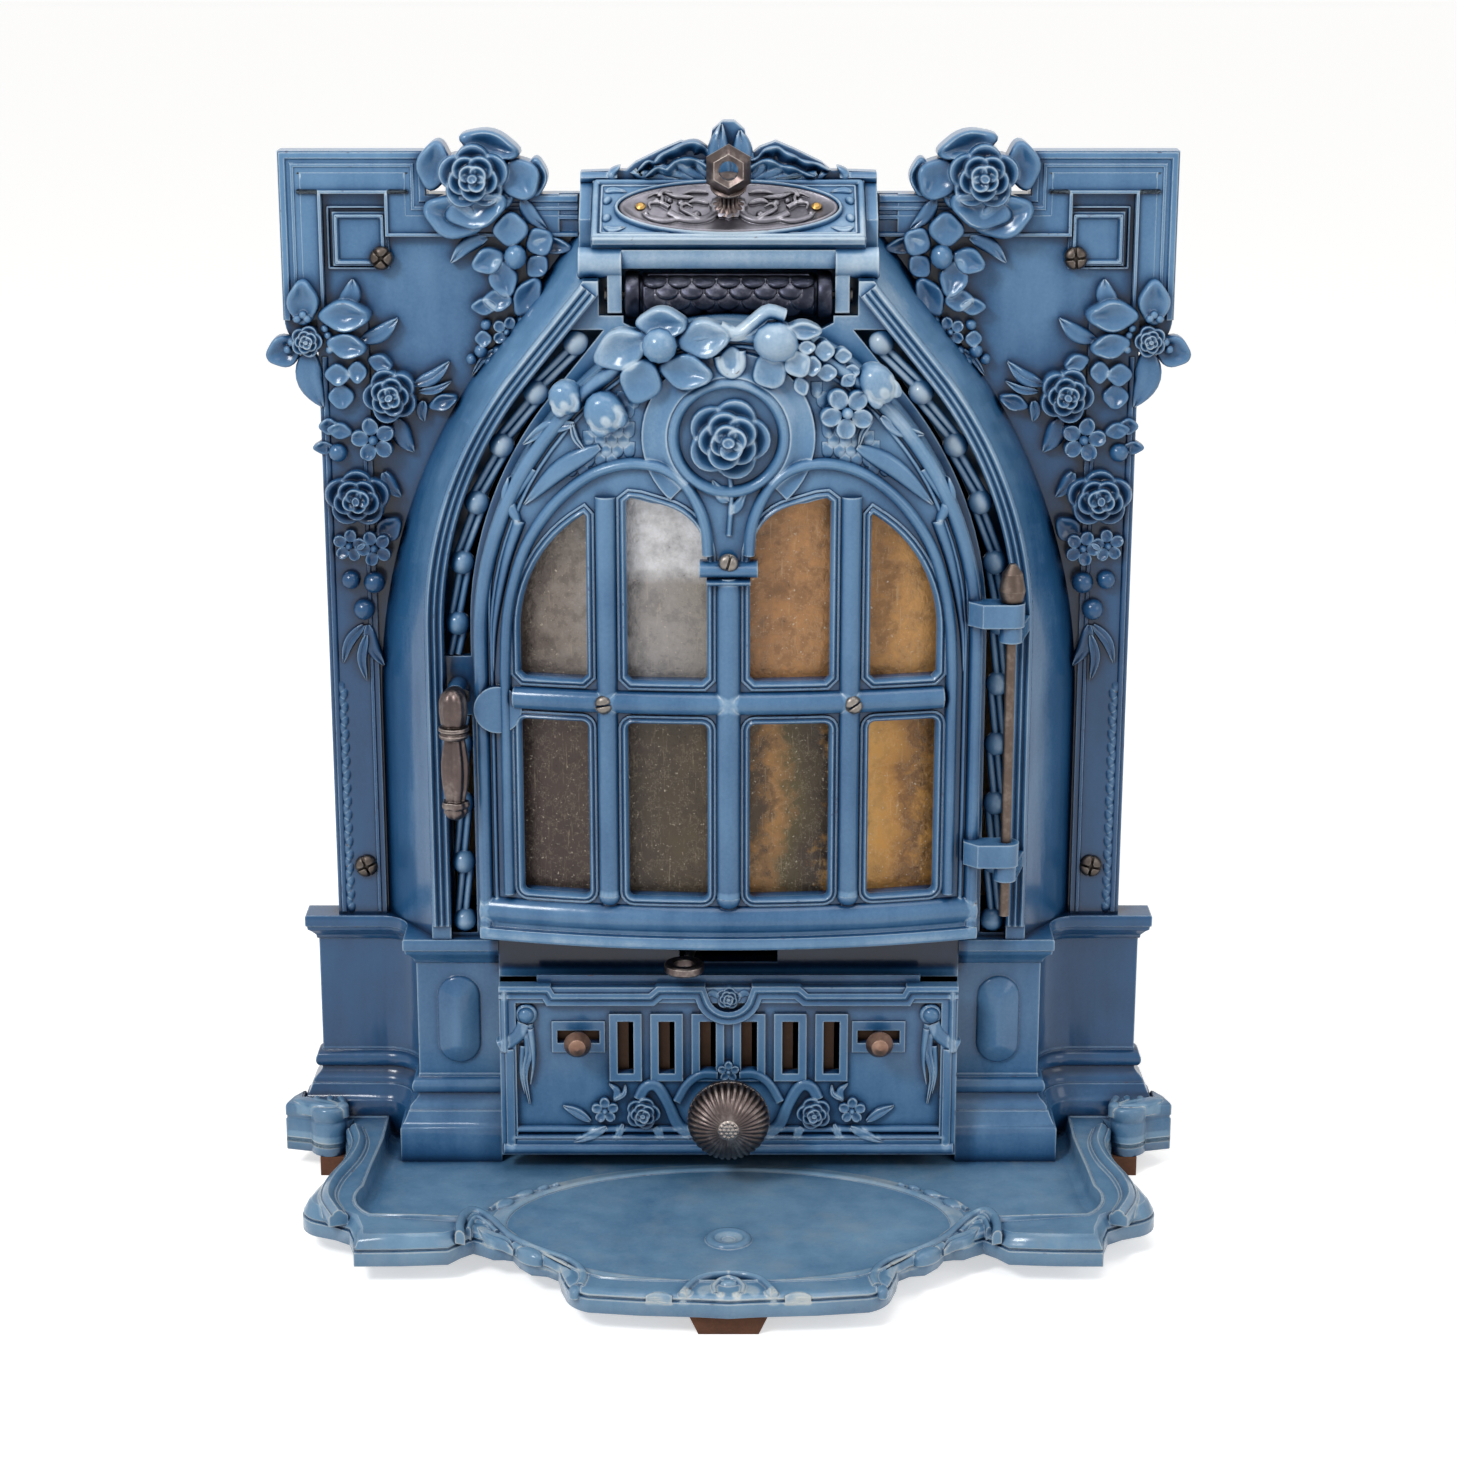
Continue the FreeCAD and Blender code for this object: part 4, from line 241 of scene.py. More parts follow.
@dataclass(frozen=True)
class EnamelFinish:
    """Majolica enamel: translucent blue glass that pools dark in hollows and runs thin on edges; its colour
    also holds painted shade in hollows and painted highlights on edges.
    """

    name: str
    # Colour stops: the darkest is reached where glass pools and as painted shade, and the palest partly as a
    # painted highlight on edges
    pooled_and_shaded: str = "#061a33"
    deep: str = "#0f3154"
    body: str = "#27557f"
    thin: str = "#648bae"
    edge: str = "#b2c4d2"
    chip: str = "#6d5443"
    lime: str = "#8b9499"
    level: float = 0.03
    stain: float = 0.0
    # Metres: the glass rounds an edge by 1.4 mm and pools between walls up to 22 mm apart, where the colour
    # also darkens as painted shade
    edge_radius: float = 0.0014
    pool_and_shade_reach: float = 0.022
    # Repeats per metre: drifts of 91 mm, runs of 18 mm, orange peel of 2.4 mm, chips of 8 mm, lime of 42 mm
    drift_scale: float = 11
    run_scale: float = 55
    peel_scale: float = 420
    chip_scale: float = 130
    lime_scale: float = 24

    def build(self) -> Material:
        """Build the enamel's material.

        Returns:
            The material.
        """
        # Fired glass is glossy with slow waves; its colour follows its own thickness, plus painted shade in
        # hollows and painted highlights on edges
        shader = Shader(self.name)
        add, where = shader.add, shader.where
        edges = shader.edges(self.edge_radius, self.pool_and_shade_reach)
        drift = add("ShaderNodeTexNoise", {"Vector": where, "Scale": self.drift_scale, "Detail": 4})
        # Runs are drawn out down the casting, about 80 mm long
        hanging = add("ShaderNodeMapping", {"Vector": where, "Scale": (1, 1, 0.22)})
        runs = add("ShaderNodeTexNoise", {"Vector": hanging, "Scale": self.run_scale, "Detail": 3})
        peel = add("ShaderNodeTexNoise", {"Vector": where, "Scale": self.peel_scale, "Detail": 3,
                                          "Roughness": 0.6})
        # Painted light: the castings nearest the room and the ears' flats high up are made paler, for the
        # light and the sky reflection that they catch
        x, y, z = add("ShaderNodeSeparateXYZ", {"Vector": where}).node.outputs
        near = shader.masked((y, -0.045, -0.1))
        high = shader.masked((z, 0.46, 0.68))
        # Painted shade, with some soot: the apron between the door and the drawer, under the door's bowed
        # foot, is darkened
        side = add("ShaderNodeMath", {0: x}, {"operation": "ABSOLUTE"})
        low_edge, high_edge = APRON
        apron_shade_and_soot = shader.masked((z, low_edge - 0.002, low_edge + 0.002), (z, high_edge + 0.004, high_edge
                                                                         - 0.002), (side, 0.176, 0.168))
        # Open sky and hollows darken shaded places and raised edges lighten: real glaze pooling and
        # thinning, and also painted shade and highlight
        glaze_and_light_tone = shader.sum(self.level, [
            (edges.open_sky, 0.3), (edges.raised, 0.46), (edges.hollow, -0.34), (drift, 0.26), (runs, 0.16),
            (peel, 0.07), (near, 0.16), (high, 0.2), (apron_shade_and_soot, -0.5),
        ])
        colour = add("ShaderNodeValToRGB", {"Fac": glaze_and_light_tone}, stops=[
            (0.2, self.pooled_and_shaded), (0.42, self.deep), (0.64, self.body), (0.86, self.thin), (1.0, self.edge),
        ])
        worn = add("ShaderNodeTexNoise", {"Vector": where, "Scale": self.chip_scale, "Detail": 3,
                                          "Roughness": 0.65})
        chipped = shader.masked((worn, 0.64, 0.68), (edges.raised, 0.35, 0.6))
        colour = add("ShaderNodeMix", {0: chipped, 6: colour, 7: linear(self.chip)}, MIX_COLOURS, MIXED)
        if self.stain:
            patch = add("ShaderNodeTexNoise", {"Vector": where, "Scale": self.lime_scale, "Detail": 5,
                                               "Roughness": 0.7})
            lime = shader.sum(0.0, [(shader.masked((patch, 0.5, 0.8)), self.stain)])
            colour = add("ShaderNodeMix", {0: lime, 6: colour, 7: linear(self.lime)}, MIX_COLOURS, MIXED)
        waves = shader.sum(0.0, [(runs, 0.5), (drift, 0.5), (peel, 0.06)])
        shader.put(Base_Color=colour, Roughness=shader.sum(0.1, [(chipped, 0.45), (peel, 0.1),
                                                                 (drift, 0.1)]), Specular_IOR_Level=0.35,
                   Coat_Weight=0.15, Coat_Roughness=0.08, Normal=add("ShaderNodeBump",
                                                                     {"Height": waves, "Distance": 0.004,
                                                                      "Strength": 0.22,
                                                                      "Normal": edges.soft_normal}))
        return shader.material


@dataclass(frozen=True)
class MetalFinish:
    """Old metal: darker in its hollows, rubbed bright where hands reach it."""

    name: str
    dark: str
    middle: str
    bright: str
    roughness: float
    # Metres: a rubbed edge is 0.8 mm round and a dull hollow 8 mm wide
    edge_radius: float = 0.0008
    hollow_reach: float = 0.008
    # Repeats per metre: tarnished patches of 14 mm, and a grain of 3.3 mm that is drawn coarse so it shows
    patch_scale: float = 70
    grain_scale: float = 300

    def build(self) -> Material:
        """Build the metal's material.

        Returns:
            The material.
        """
        # Handled metal keeps a dull film in its hollows and gleams where it is rubbed
        shader = Shader(self.name)
        edges = shader.edges(self.edge_radius, self.hollow_reach)
        patches, grain = (shader.add("ShaderNodeTexNoise", {"Vector": shader.where, "Scale": scale,
                                                            "Detail": 4, "Roughness": 0.6})
                          for scale in (self.patch_scale, self.grain_scale))
        tone = shader.sum(0.05, [(edges.open_sky, 0.25), (edges.raised, 0.4), (edges.hollow, -0.25),
                                 (patches, 0.4), (grain, 0.2)])
        shader.put(Base_Color=shader.add("ShaderNodeValToRGB", {"Fac": tone}, stops=[(0.2, self.dark),
                                                                                     (0.6, self.middle),
                                                                                     (0.95, self.bright)]),
                   Metallic=1.0, Roughness=shader.sum(self.roughness - 0.12,
                                                      [(patches, 0.16), (grain, 0.12)]),
                   Normal=shader.add("ShaderNodeBump", {"Height": grain, "Distance": 0.0006,
                                                        "Strength": 0.15, "Normal": edges.soft_normal}))
        return shader.material


@dataclass(frozen=True)
class MicaFinish:
    """Split mica: thin crinkled sheets, amber or brown where smoked, with painted reflections that colour
    the panes and make clean parts silvery.
    """

    name: str = "smoked_mica_sheet"
    smoke: str = "#2b211c"
    crack: str = "#cdbfa6"
    scratch: str = "#d8c7a4"
    speck: str = "#b9ae9b"
    silver_painted_reflection: str = "#c9c9cc"
    # Colours across the door, from the left pane to the right one, for the upper and the lower row: the
    # mica's own smoke and amber, mixed with painted reflections
    upper: tuple[tuple[float, str], ...] = (
        (0.05, "#5e534d"), (0.2, "#847b74"), (0.3, "#8f8c8c"), (0.48, "#8a8278"), (0.56, "#8d6542"),
        (0.7, "#a87a4e"), (0.8, "#8e6438"), (0.93, "#b2844e"),
    )
    lower: tuple[tuple[float, str], ...] = (
        (0.05, "#3b2e2b"), (0.22, "#42352f"), (0.34, "#40372c"), (0.47, "#4d4130"), (0.54, "#4a3622"),
        (0.59, "#8f683c"), (0.635, "#4d4228"), (0.71, "#33271f"), (0.79, "#cf9c54"), (0.86, "#b5823f"),
        (0.91, "#6e4b28"), (0.96, "#a87a3e"),
    )
    # Repeats per metre: bends of 62 mm, leaves of 22 mm, wrinkles of 13 mm, specks and scratches of 2 mm
    warp_scale: float = 16
    leaf_scale: float = 45
    wrinkle_scale: float = 75
    speck_scale: float = 500
    scratch_scale: float = 520

    def build(self) -> Material:
        """Build the mica's material.

        Returns:
            The material.
        """
        # Mica splits into shiny leaves, so it mirrors the room through uneven smoke and fine wrinkles
        shader = Shader(self.name)
        add, where = shader.add, shader.where
        x, _, z = add("ShaderNodeSeparateXYZ", {"Vector": where}).node.outputs
        warp = add("ShaderNodeTexNoise", {"Vector": where, "Scale": self.warp_scale, "Detail": 3})
        wrinkle = add("ShaderNodeTexNoise", {"Vector": where, "Scale": self.wrinkle_scale, "Detail": 5,
                                             "Roughness": 0.7})
        specks = add("ShaderNodeTexNoise", {"Vector": where, "Scale": self.speck_scale, "Detail": 2})
        rubbed = add("ShaderNodeMapping", {"Vector": where, "Rotation": (0, 0.35, 0), "Scale": (1, 1, 0.08)})
        scratches = add("ShaderNodeTexNoise", {"Vector": rubbed, "Scale": self.scratch_scale, "Detail": 3,
                                               "Roughness": 0.7})
        # The row of panes is 320 mm wide, so its middle lies at a half of the ramp
        across = shader.sum(0.31, [(x, 3.125), (warp, 0.22), (wrinkle, 0.16)])
        upper = add("ShaderNodeValToRGB", {"Fac": across}, stops=self.upper)
        lower = add("ShaderNodeValToRGB", {"Fac": across}, stops=self.lower)
        rows = shader.masked((z, 0.385, 0.4))
        colour = add("ShaderNodeMix", {0: rows, 6: lower, 7: upper}, MIX_COLOURS, MIXED)
        # Painted reflection: the clean sheet behind the second pane is coloured silvery above its smoked
        # foot
        up = shader.sum(0.0, [(z, 1.0), (warp, 0.01)])
        clean = shader.masked((x, -0.078, -0.073), (x, -0.009, -0.013), (up, 0.478, 0.49))
        ridge = add("ShaderNodeMath", {0: shader.sum(-0.5, [(wrinkle, 1.0)])}, {"operation": "ABSOLUTE"})
        for mask, share, tint in (
            ((clean, 0, 1), 1.0, self.silver_painted_reflection), ((wrinkle, 0.62, 0.3), 0.5, self.smoke),
            ((ridge, 0.012, 0.0), 0.16, self.crack), ((scratches, 0.6, 0.74), 0.16, self.scratch),
            ((specks, 0.66, 0.8), 1.0, self.speck),
        ):
            part = shader.sum(0.0, [(shader.masked(mask), share)])
            colour = add("ShaderNodeMix", {0: part, 6: colour, 7: linear(tint)}, MIX_COLOURS, MIXED)
        leaves = add("ShaderNodeTexVoronoi", {"Vector": where, "Scale": self.leaf_scale},
                     {"feature": "DISTANCE_TO_EDGE"})
        folds = shader.sum(0.0, [(wrinkle, 0.7), (leaves, 0.25), (warp, 1.6)])
        shader.put(Base_Color=colour, Metallic=0.35, Roughness=shader.sum(0.16, [(wrinkle, 0.35)]),
                   Normal=add("ShaderNodeBump", {"Height": folds, "Distance": 0.004, "Strength": 0.5}))
        return shader.material


@dataclass(frozen=True)
class MattFinish:
    """Matt mineral or rust surface with two tones and a coarse grain.

    Its grain is given in repeats per metre: 500 is 2 mm, 400 is 2.5 mm and 260 is 3.8 mm.
    """

    name: str
    dark: str
    pale: str
    roughness: float
    scale: float
    bump: float
    # Metres: edges are rubbed over 1.5 mm, and the tone darkens in hollows up to 20 mm wide
    edge_radius: float = 0.0015
    hollow_reach: float = 0.02

    def build(self) -> Material:
        """Build the matt material.

        Returns:
            The material.
        """
        # Soot, rust and fired clay scatter light: rough, with no gleam but on rubbed edges
        shader = Shader(self.name)
        edges = shader.edges(self.edge_radius, self.hollow_reach)
        patches, grain = (shader.add("ShaderNodeTexNoise", {"Vector": shader.where, "Scale": scale,
                                                            "Detail": detail, "Roughness": rough}) for scale,
                          detail, rough in ((self.scale * 0.15, 4, 0.6), (self.scale, 5, 0.7)))
        tone = shader.sum(-0.15, [(patches, 0.6), (grain, 0.4), (edges.raised, 0.3), (edges.open_sky, 0.2)])
        shader.put(Base_Color=shader.add("ShaderNodeValToRGB", {"Fac": tone},
                                         stops=[(0.15, self.dark), (0.85, self.pale)]),
                   Roughness=self.roughness, Normal=shader.add("ShaderNodeBump",
                                                               {"Height": grain, "Distance": 0.001,
                                                                "Strength": self.bump,
                                                                "Normal": edges.soft_normal}))
        return shader.material


FINISHES: dict[Slot, EnamelFinish | MetalFinish | MicaFinish | MattFinish] = {
    Slot.ENAMEL: EnamelFinish("majolica_enamel"),
    Slot.TRAY: EnamelFinish("hearth_enamel", body="#41688a", deep="#26486a", thin="#7294ae", edge="#c3c6c2",
                            level=0.06, stain=0.4),
    Slot.IRON: MattFinish("sooty_cast_iron", "#141312", "#3a3634", 0.75, 500, 0.5),
    Slot.RUST: MattFinish("rusty_cast_iron", "#2a1a12", "#6e4229", 0.85, 400, 0.6),
    Slot.NICKEL: MetalFinish("old_nickel_plate", "#1a1514", "#5d5250", "#c4bab2", 0.34),
    Slot.BRONZE: MetalFinish("bronzed_iron", "#33231b", "#85685a", "#c8a794", 0.42),
    Slot.PEWTER: MetalFinish("dark_pewter_plate", "#2b2a2e", "#76747c", "#b9b6bc", 0.38),
    Slot.BRASS: MetalFinish("tarnished_brass", "#5a4322", "#b08a4e", "#dfc389", 0.3),
    Slot.STEEL: MetalFinish("dull_steel", "#2b2826", "#7d7772", "#b9b3ac", 0.38),
    Slot.SHEET: MetalFinish("smoked_sheet_steel", "#241a15", "#4d3b31", "#6f6259", 0.5),
    Slot.MICA: MicaFinish(),
    Slot.BRICK: MattFinish("fired_clay_brick", "#6b5340", "#c2a27c", 0.9, 260, 0.5),
}
MATERIALS: dict[Slot, Material] = {slot: finish.build() for slot, finish in FINISHES.items()}
# Pieces that differ from the rest of their slot: sooted or rubbed, and the gallery's enamel, made paler as
# painted light against the shade of its deep slot
GALLERY_LIT_ENAMEL = EnamelFinish("gallery_painted_light_enamel", level=0.24).build()
OLD_SCREW = MetalFinish("blackened_screw_steel", "#1b1714", "#574f4a", "#a09a94", 0.4).build()
WORN_PIN = MetalFinish("worn_bronzed_iron", "#241d1b", "#5f534c", "#aa9e96", 0.42).build()
SOOTED_NICKEL = MetalFinish("sooted_nickel", "#0e1017", "#383a46", "#8f8f9a", 0.36).build()


def make_piece(name: str, body: Body, slot: Slot, points: np.ndarray,
               faces: Sequence[Sequence[int]], smooth_angle: float = 40, merge: bool = True) -> Object:
    """Make a piece from points in millimetres and let it ride on its body.

    Args:
        name: Name of the piece.
        body: Body that carries it.
        slot: Slot that it takes its finish from.
        points: Corners, one row each, in millimetres.
        faces: Corner numbers of each face.
        smooth_angle: Faces that meet at less than this many degrees shade smoothly.
        merge: Whether corners at one place become one.

    Returns:
        The new object.
    """
    mesh = bpy.data.meshes.new(name)
    mesh.from_pydata((points * MM).tolist(), [], [list(f) for f in faces])
    shape = bmesh.new()
    shape.from_mesh(mesh)
    if merge:
        bmesh.ops.remove_doubles(shape, verts=shape.verts, dist=0.00002)
    bmesh.ops.dissolve_degenerate(shape, edges=shape.edges, dist=0.000005)
    bmesh.ops.recalc_face_normals(shape, faces=shape.faces)
    sharp = math.radians(smooth_angle)
    for edge in shape.edges:
        edge.smooth = len(edge.link_faces) == 2 and edge.calc_face_angle(math.pi) < sharp
    for face in shape.faces:
        face.smooth = True
    shape.to_mesh(mesh)
    shape.free()
    mesh.materials.append(MATERIALS[slot])
    piece = bpy.data.objects.new(name, mesh)
    bpy.context.scene.collection.objects.link(piece)
    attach(piece, body.value)
    log.info("%s: %d faces", name, len(mesh.polygons))
    return piece


def arc(centre: Point, radius: float, start: float, end: float, steps: int = 16) -> list[Point]:
    """Points along an arc.

    Args:
        centre: Middle of the circle.
        radius: Radius of the circle.
        start: Angle of the first point in degrees.
        end: Angle of the last point in degrees.
        steps: Number of spans between points.

    Returns:
        The points.
    """
    angles = np.radians(np.linspace(start, end, steps + 1))
    return [(centre[0] + radius * math.cos(a), centre[1] + radius * math.sin(a)) for a in angles]


def ellipse(centre: Point, across: float, up: float, count: int) -> list[Point]:
    """Points round an ellipse.

    Args:
        centre: Middle of the ellipse.
        across: Half width.
        up: Half height.
        count: Number of points.

    Returns:
        The points, anticlockwise.
    """
    turns = np.radians(np.linspace(0, 360, count + 1)[:-1])
    return [(centre[0] + across * math.cos(t), centre[1] + up * math.sin(t)) for t in turns]


def smooth_path(points: Sequence[Sequence[float]], steps: int) -> np.ndarray:
    """Smooth curve through control points.

    Args:
        points: Control points, which the curve passes.
        steps: Number of points along the whole curve.

    Returns:
        The curve's points, one row each.
    """
    rows = np.array(points, float)
    if len(rows) == 2:
        return rows[0] + (rows[1] - rows[0]) * np.linspace(0, 1, steps)[:, None]
    padded = np.vstack([2 * rows[0] - rows[1], rows, 2 * rows[-1] - rows[-2]])
    places = np.linspace(0, len(rows) - 1, steps)
    index = np.minimum(places.astype(int), len(rows) - 2)
    t = (places - index)[:, None]
    a, b, c, d = (padded[index + k] for k in range(4))
    return 0.5 * (2 * b + (c - a) * t + (2 * a - 5 * b + 4 * c - d) * t ** 2
                  + (3 * b - a - 3 * c + d) * t ** 3)


def mitres(path: np.ndarray, closed: bool) -> np.ndarray:
    """Left-hand mitre direction at each point of a path, long enough to keep a moulding's width.

    Args:
        path: Points of the path, one row each.
        closed: Whether the path returns to its start.

    Returns:
        One direction for each point.
    """
    ahead = np.roll(path, -1, axis=0) - path
    behind = path - np.roll(path, 1, axis=0)
    if not closed:
        ahead[-1], behind[0] = behind[-1], ahead[0]
    ahead = ahead / np.maximum(np.linalg.norm(ahead, axis=1, keepdims=True), 1e-9)
    behind = behind / np.maximum(np.linalg.norm(behind, axis=1, keepdims=True), 1e-9)
    normal = np.stack([-(ahead + behind)[:, 1], (ahead + behind)[:, 0]], axis=1)
    normal = normal / np.maximum(np.linalg.norm(normal, axis=1, keepdims=True), 1e-9)
    left = np.stack([-ahead[:, 1], ahead[:, 0]], axis=1)
    return normal / np.maximum((normal * left).sum(axis=1, keepdims=True), 0.35)


class Relief:
    """Cast ornament gathered into one mesh over a carrying surface.

    Places are (across, up, out) in millimetres, and the surface turns them into X, Y and Z.
    """

    def __init__(self, surface: Surface, sink: float = 4) -> None:
        self.surface = surface
        self.sink = sink
        self.points: list[np.ndarray] = []
        self.faces: list[list[int]] = []
        self.count = 0
        self.flip = 1.0

    def sides(self) -> Iterator[float]:
        """Go once through a loop as it stands and once mirrored.

        Yields:
            The side: one, then minus one.
        """
        for self.flip in (1.0, -1.0):
            yield self.flip
        self.flip = 1.0

    def add(self, points: np.ndarray, faces: list[list[int]]) -> None:
        """Add corners and the faces between them, mirrored while the relief is flipped.

        Args:
            points: Corners, one row each.
            faces: Corner numbers of each face.
        """
        points = points * (self.flip, 1, 1)
        self.points.append(self.surface(points))
        self.faces.extend([[i + self.count for i in face] for face in faces])
        self.count += len(points)

    def join(self, other: "Relief") -> None:
        """Take over the corners and faces of another relief."""
        self.points += other.points
        self.faces.extend([[i + self.count for i in face] for face in other.faces])
        self.count += other.count

    def loft(self, rings: np.ndarray, capped: bool = True) -> None:
        """Join rings of points into a closed shell.

        Args:
            rings: Array of rings, points and coordinates.
            capped: Whether the two ends get a face each.
        """
        count, size = rings.shape[:2]
        faces = []
        for i in range(count - 1):
            for j in range(size):
                k = (j + 1) % size
                faces.append([i * size + j, i * size + k, (i + 1) * size + k, (i + 1) * size + j])
        if capped:
            faces.append(list(range(size)))
            faces.append([(count - 1) * size + j for j in range(size)])
        self.add(rings.reshape(-1, 3), faces)

    def cap(self, centre: Point, size: Point, turn: float = 0, rise: float = 6, lift: float = 0,
            hollow: float = 0, crown: float = 2, tilt: float = 0, waves: int = 0, wave: float = 0,
            rings: int = 6, spokes: int = 16, fold: float = 0) -> None:
        """Add a rounded boss, or a petal when it is hollowed.

        Args:
            centre: Middle of the boss.
            size: Half length and half width.
            turn: Direction of its length in degrees.
            rise: Height of the boss over its lift.
            lift: Height that it starts from.
            hollow: Share of the rise that the middle loses.
            crown: Power of the dome: 2 is a ball, more is flatter with a rounder rim.
            tilt: Extra height at the end that the turn points to.
            waves: Number of waves round the rim.
            wave: Depth of a wave as a share of the size.
            rings: Rows from the middle to the rim.
            spokes: Points round the rim.
            fold: Depth of the crease along the length, as a share of the rise.
        """
        angles = np.linspace(0, 2 * math.pi, spokes, endpoint=False)
        ruffle = 1 + wave * np.cos(waves * angles)
        shares = np.sin(np.linspace(0, math.pi / 2, rings + 1))[1:]
        cos, sin = math.cos(math.radians(turn)), math.sin(math.radians(turn))
        # Feet at slightly different depths keep the backs of neighbours from lying in one plane
        depth = self.sink + 0.05 * (len(self.points) % 9)
        rows = []
        for share, foot in [(1.0, True)] + [(s, False) for s in shares[::-1]] + [(0.03, False)]:
            x, y = size[0] * share * np.cos(angles) * ruffle, size[1] * share * np.sin(angles) * ruffle
            dome = max(1 - share ** crown, 0) ** 0.5 - hollow * (1 - share ** 2)
            height = lift + rise * dome + tilt * share * np.cos(angles)
            height = height + rise * 0.16 * wave * 4 * share * np.cos(waves * angles)
            crease = np.exp(-((share * np.sin(angles)) / 0.3) ** 2)
            height = height - fold * rise * share * crease * np.maximum(np.cos(angles), 0)
            if foot:
                height = np.full(spokes, -depth)
            rows.append(np.stack([centre[0] + x * cos - y * sin, centre[1] + x * sin + y * cos, height],
                                 axis=1))
        self.loft(np.array(rows))

    def blade(self, points: Sequence[Sequence[float]], width: float, rise: float = 4, lift: float = 0,
              shape: Blade = Blade.LEAF, crease: float = 0, steps: int = 10,
              end_lift: float | None = None) -> None:
        """Add a leaf, stem or ribbon along a curve.

        Args:
            points: Control points of its middle line.
            width: Greatest width.
            rise: Height of its back over its lift.
            lift: Height that its edges stand at.
            shape: How its width changes along it.
            crease: Depth of the groove along its middle.
            steps: Rows along it.
            end_lift: Lift at its far end, if it differs.
        """
        line = smooth_path(points, steps)
        across = mitres(line, False)
        run = np.linspace(0, 1, steps)
        if shape is Blade.LEAF:
            half = width / 2 * np.sin(math.pi * np.clip(run * 0.94 + 0.04, 0, 1) ** 0.8) ** 0.75
        elif shape is Blade.TAPER:
            half = width / 2 * (1 - 0.85 * run ** 1.5)
        else:
            half = width / 2 * np.ones(steps)
        half = np.maximum(half, width * 0.04)
        low = lift + (0 if end_lift is None else (end_lift - lift) * run)
        rings = []
        for share in (-1.0, -1.0, -0.8, -0.4, 0.0, 0.4, 0.8, 1.0, 1.0):
            place = line + across * (half * share)[:, None]
            back = rise * (half / half.max()) ** 0.5 * (1 - share ** 2) ** 0.5
            height = low + back - crease * (1 - abs(share)) ** 2
            rings.append(np.column_stack([place, height]))
        rings[0][:, 2] = -self.sink
        rings[-1][:, 2] = -self.sink
        self.loft(np.array(rings).transpose(1, 0, 2))

    def moulding(self, path: Sequence[Point], profile: Sequence[Point], closed: bool = False) -> None:
        """Sweep a moulding along a path with mitred corners.

        Long spans are divided, so they follow a bowed surface.

        Args:
            path: Points of the path.
            profile: Distances to the left of the path and heights.
            closed: Whether the path returns to its start.
        """
        line = np.array(path, float)
        ends = np.roll(line, -1, axis=0) if closed else line[1:]
        spans = [start + (end - start) * np.linspace(0, 1, max(int(abs(end - start)[0] / 12), 1),
                                                     endpoint=False)[:, None] for start,
                 end in zip(line, ends)]
        line = np.vstack(spans if closed else spans + [line[-1:]])
        across = mitres(line, closed)
        rows = list(profile)
        rows = [(rows[0][0], -self.sink)] + rows + [(rows[-1][0], -self.sink)]
        rings = np.array([np.column_stack([line + across * side, np.full(len(line), high)]) for side,
                          high in rows])
        rings = rings.transpose(1, 0, 2)
        if closed:
            rings = np.vstack([rings, rings[:1]])
        self.loft(rings, capped=not closed)

    def rose(self, centre: Point, size: Point, turn: float = 0, lift: float = 0) -> None:
        """Add a full-blown rose of overlapping cupped petals.

        Args:
            centre: Middle of the rose.
            size: Half width and half height.
            turn: Turn of its first petal in degrees.
            lift: Height that its lowest petals stand at.
        """
        radius = (size[0] + size[1]) / 2
        for count, ring, petal, up, offset in ((5, 0.6, 0.54, 0.0, 0), (5, 0.4, 0.42, 0.22, 36),
                                               (4, 0.2, 0.31, 0.42, 20)):
            for index in range(count):
                angle = turn + offset + 360 / count * index
                way = math.radians(angle)
                spot = (centre[0] + size[0] * ring * math.cos(way), centre[1]
                        + size[1] * ring * math.sin(way))
                self.cap(spot, (radius * petal * 0.82, radius * petal), angle, rise=radius * 0.34, lift=lift
                         + radius * (up - 0.03 * (index % 3)), hollow=0.78, crown=6, tilt=radius * 0.08,
                         waves=3, wave=0.03, rings=7, spokes=20)
        self.cap(centre, (radius * 0.2, radius * 0.17), turn, rise=radius * 0.4, lift=lift + radius * 0.42,
                 hollow=0.5, crown=5, rings=4, spokes=10)

    def daisy(self, centre: Point, radius: float, turn: float = 0, lift: float = 0, petals: int = 5) -> None:
        """Add a flower of round cupped petals about a ball.

        Args:
            centre: Middle of the flower.
            radius: Reach of its petals.
            turn: Turn of its first petal in degrees.
            lift: Height that its petals stand at.
            petals: Number of petals.
        """
        for index in range(petals):
            angle = turn + 360 / petals * index
            way = math.radians(angle)
            spot = (centre[0] + radius * 0.6 * math.cos(way), centre[1] + radius * 0.6 * math.sin(way))
            self.cap(spot, (radius * 0.44, radius * 0.4), angle, rise=radius * 0.42, lift=lift, hollow=0.75,
                     crown=5, tilt=radius * 0.08, rings=6, spokes=18, fold=0.4)
        self.cap(centre, (radius * 0.22, radius * 0.22), rise=radius * 0.3, lift=lift + radius * 0.25,
                 rings=4, spokes=10)

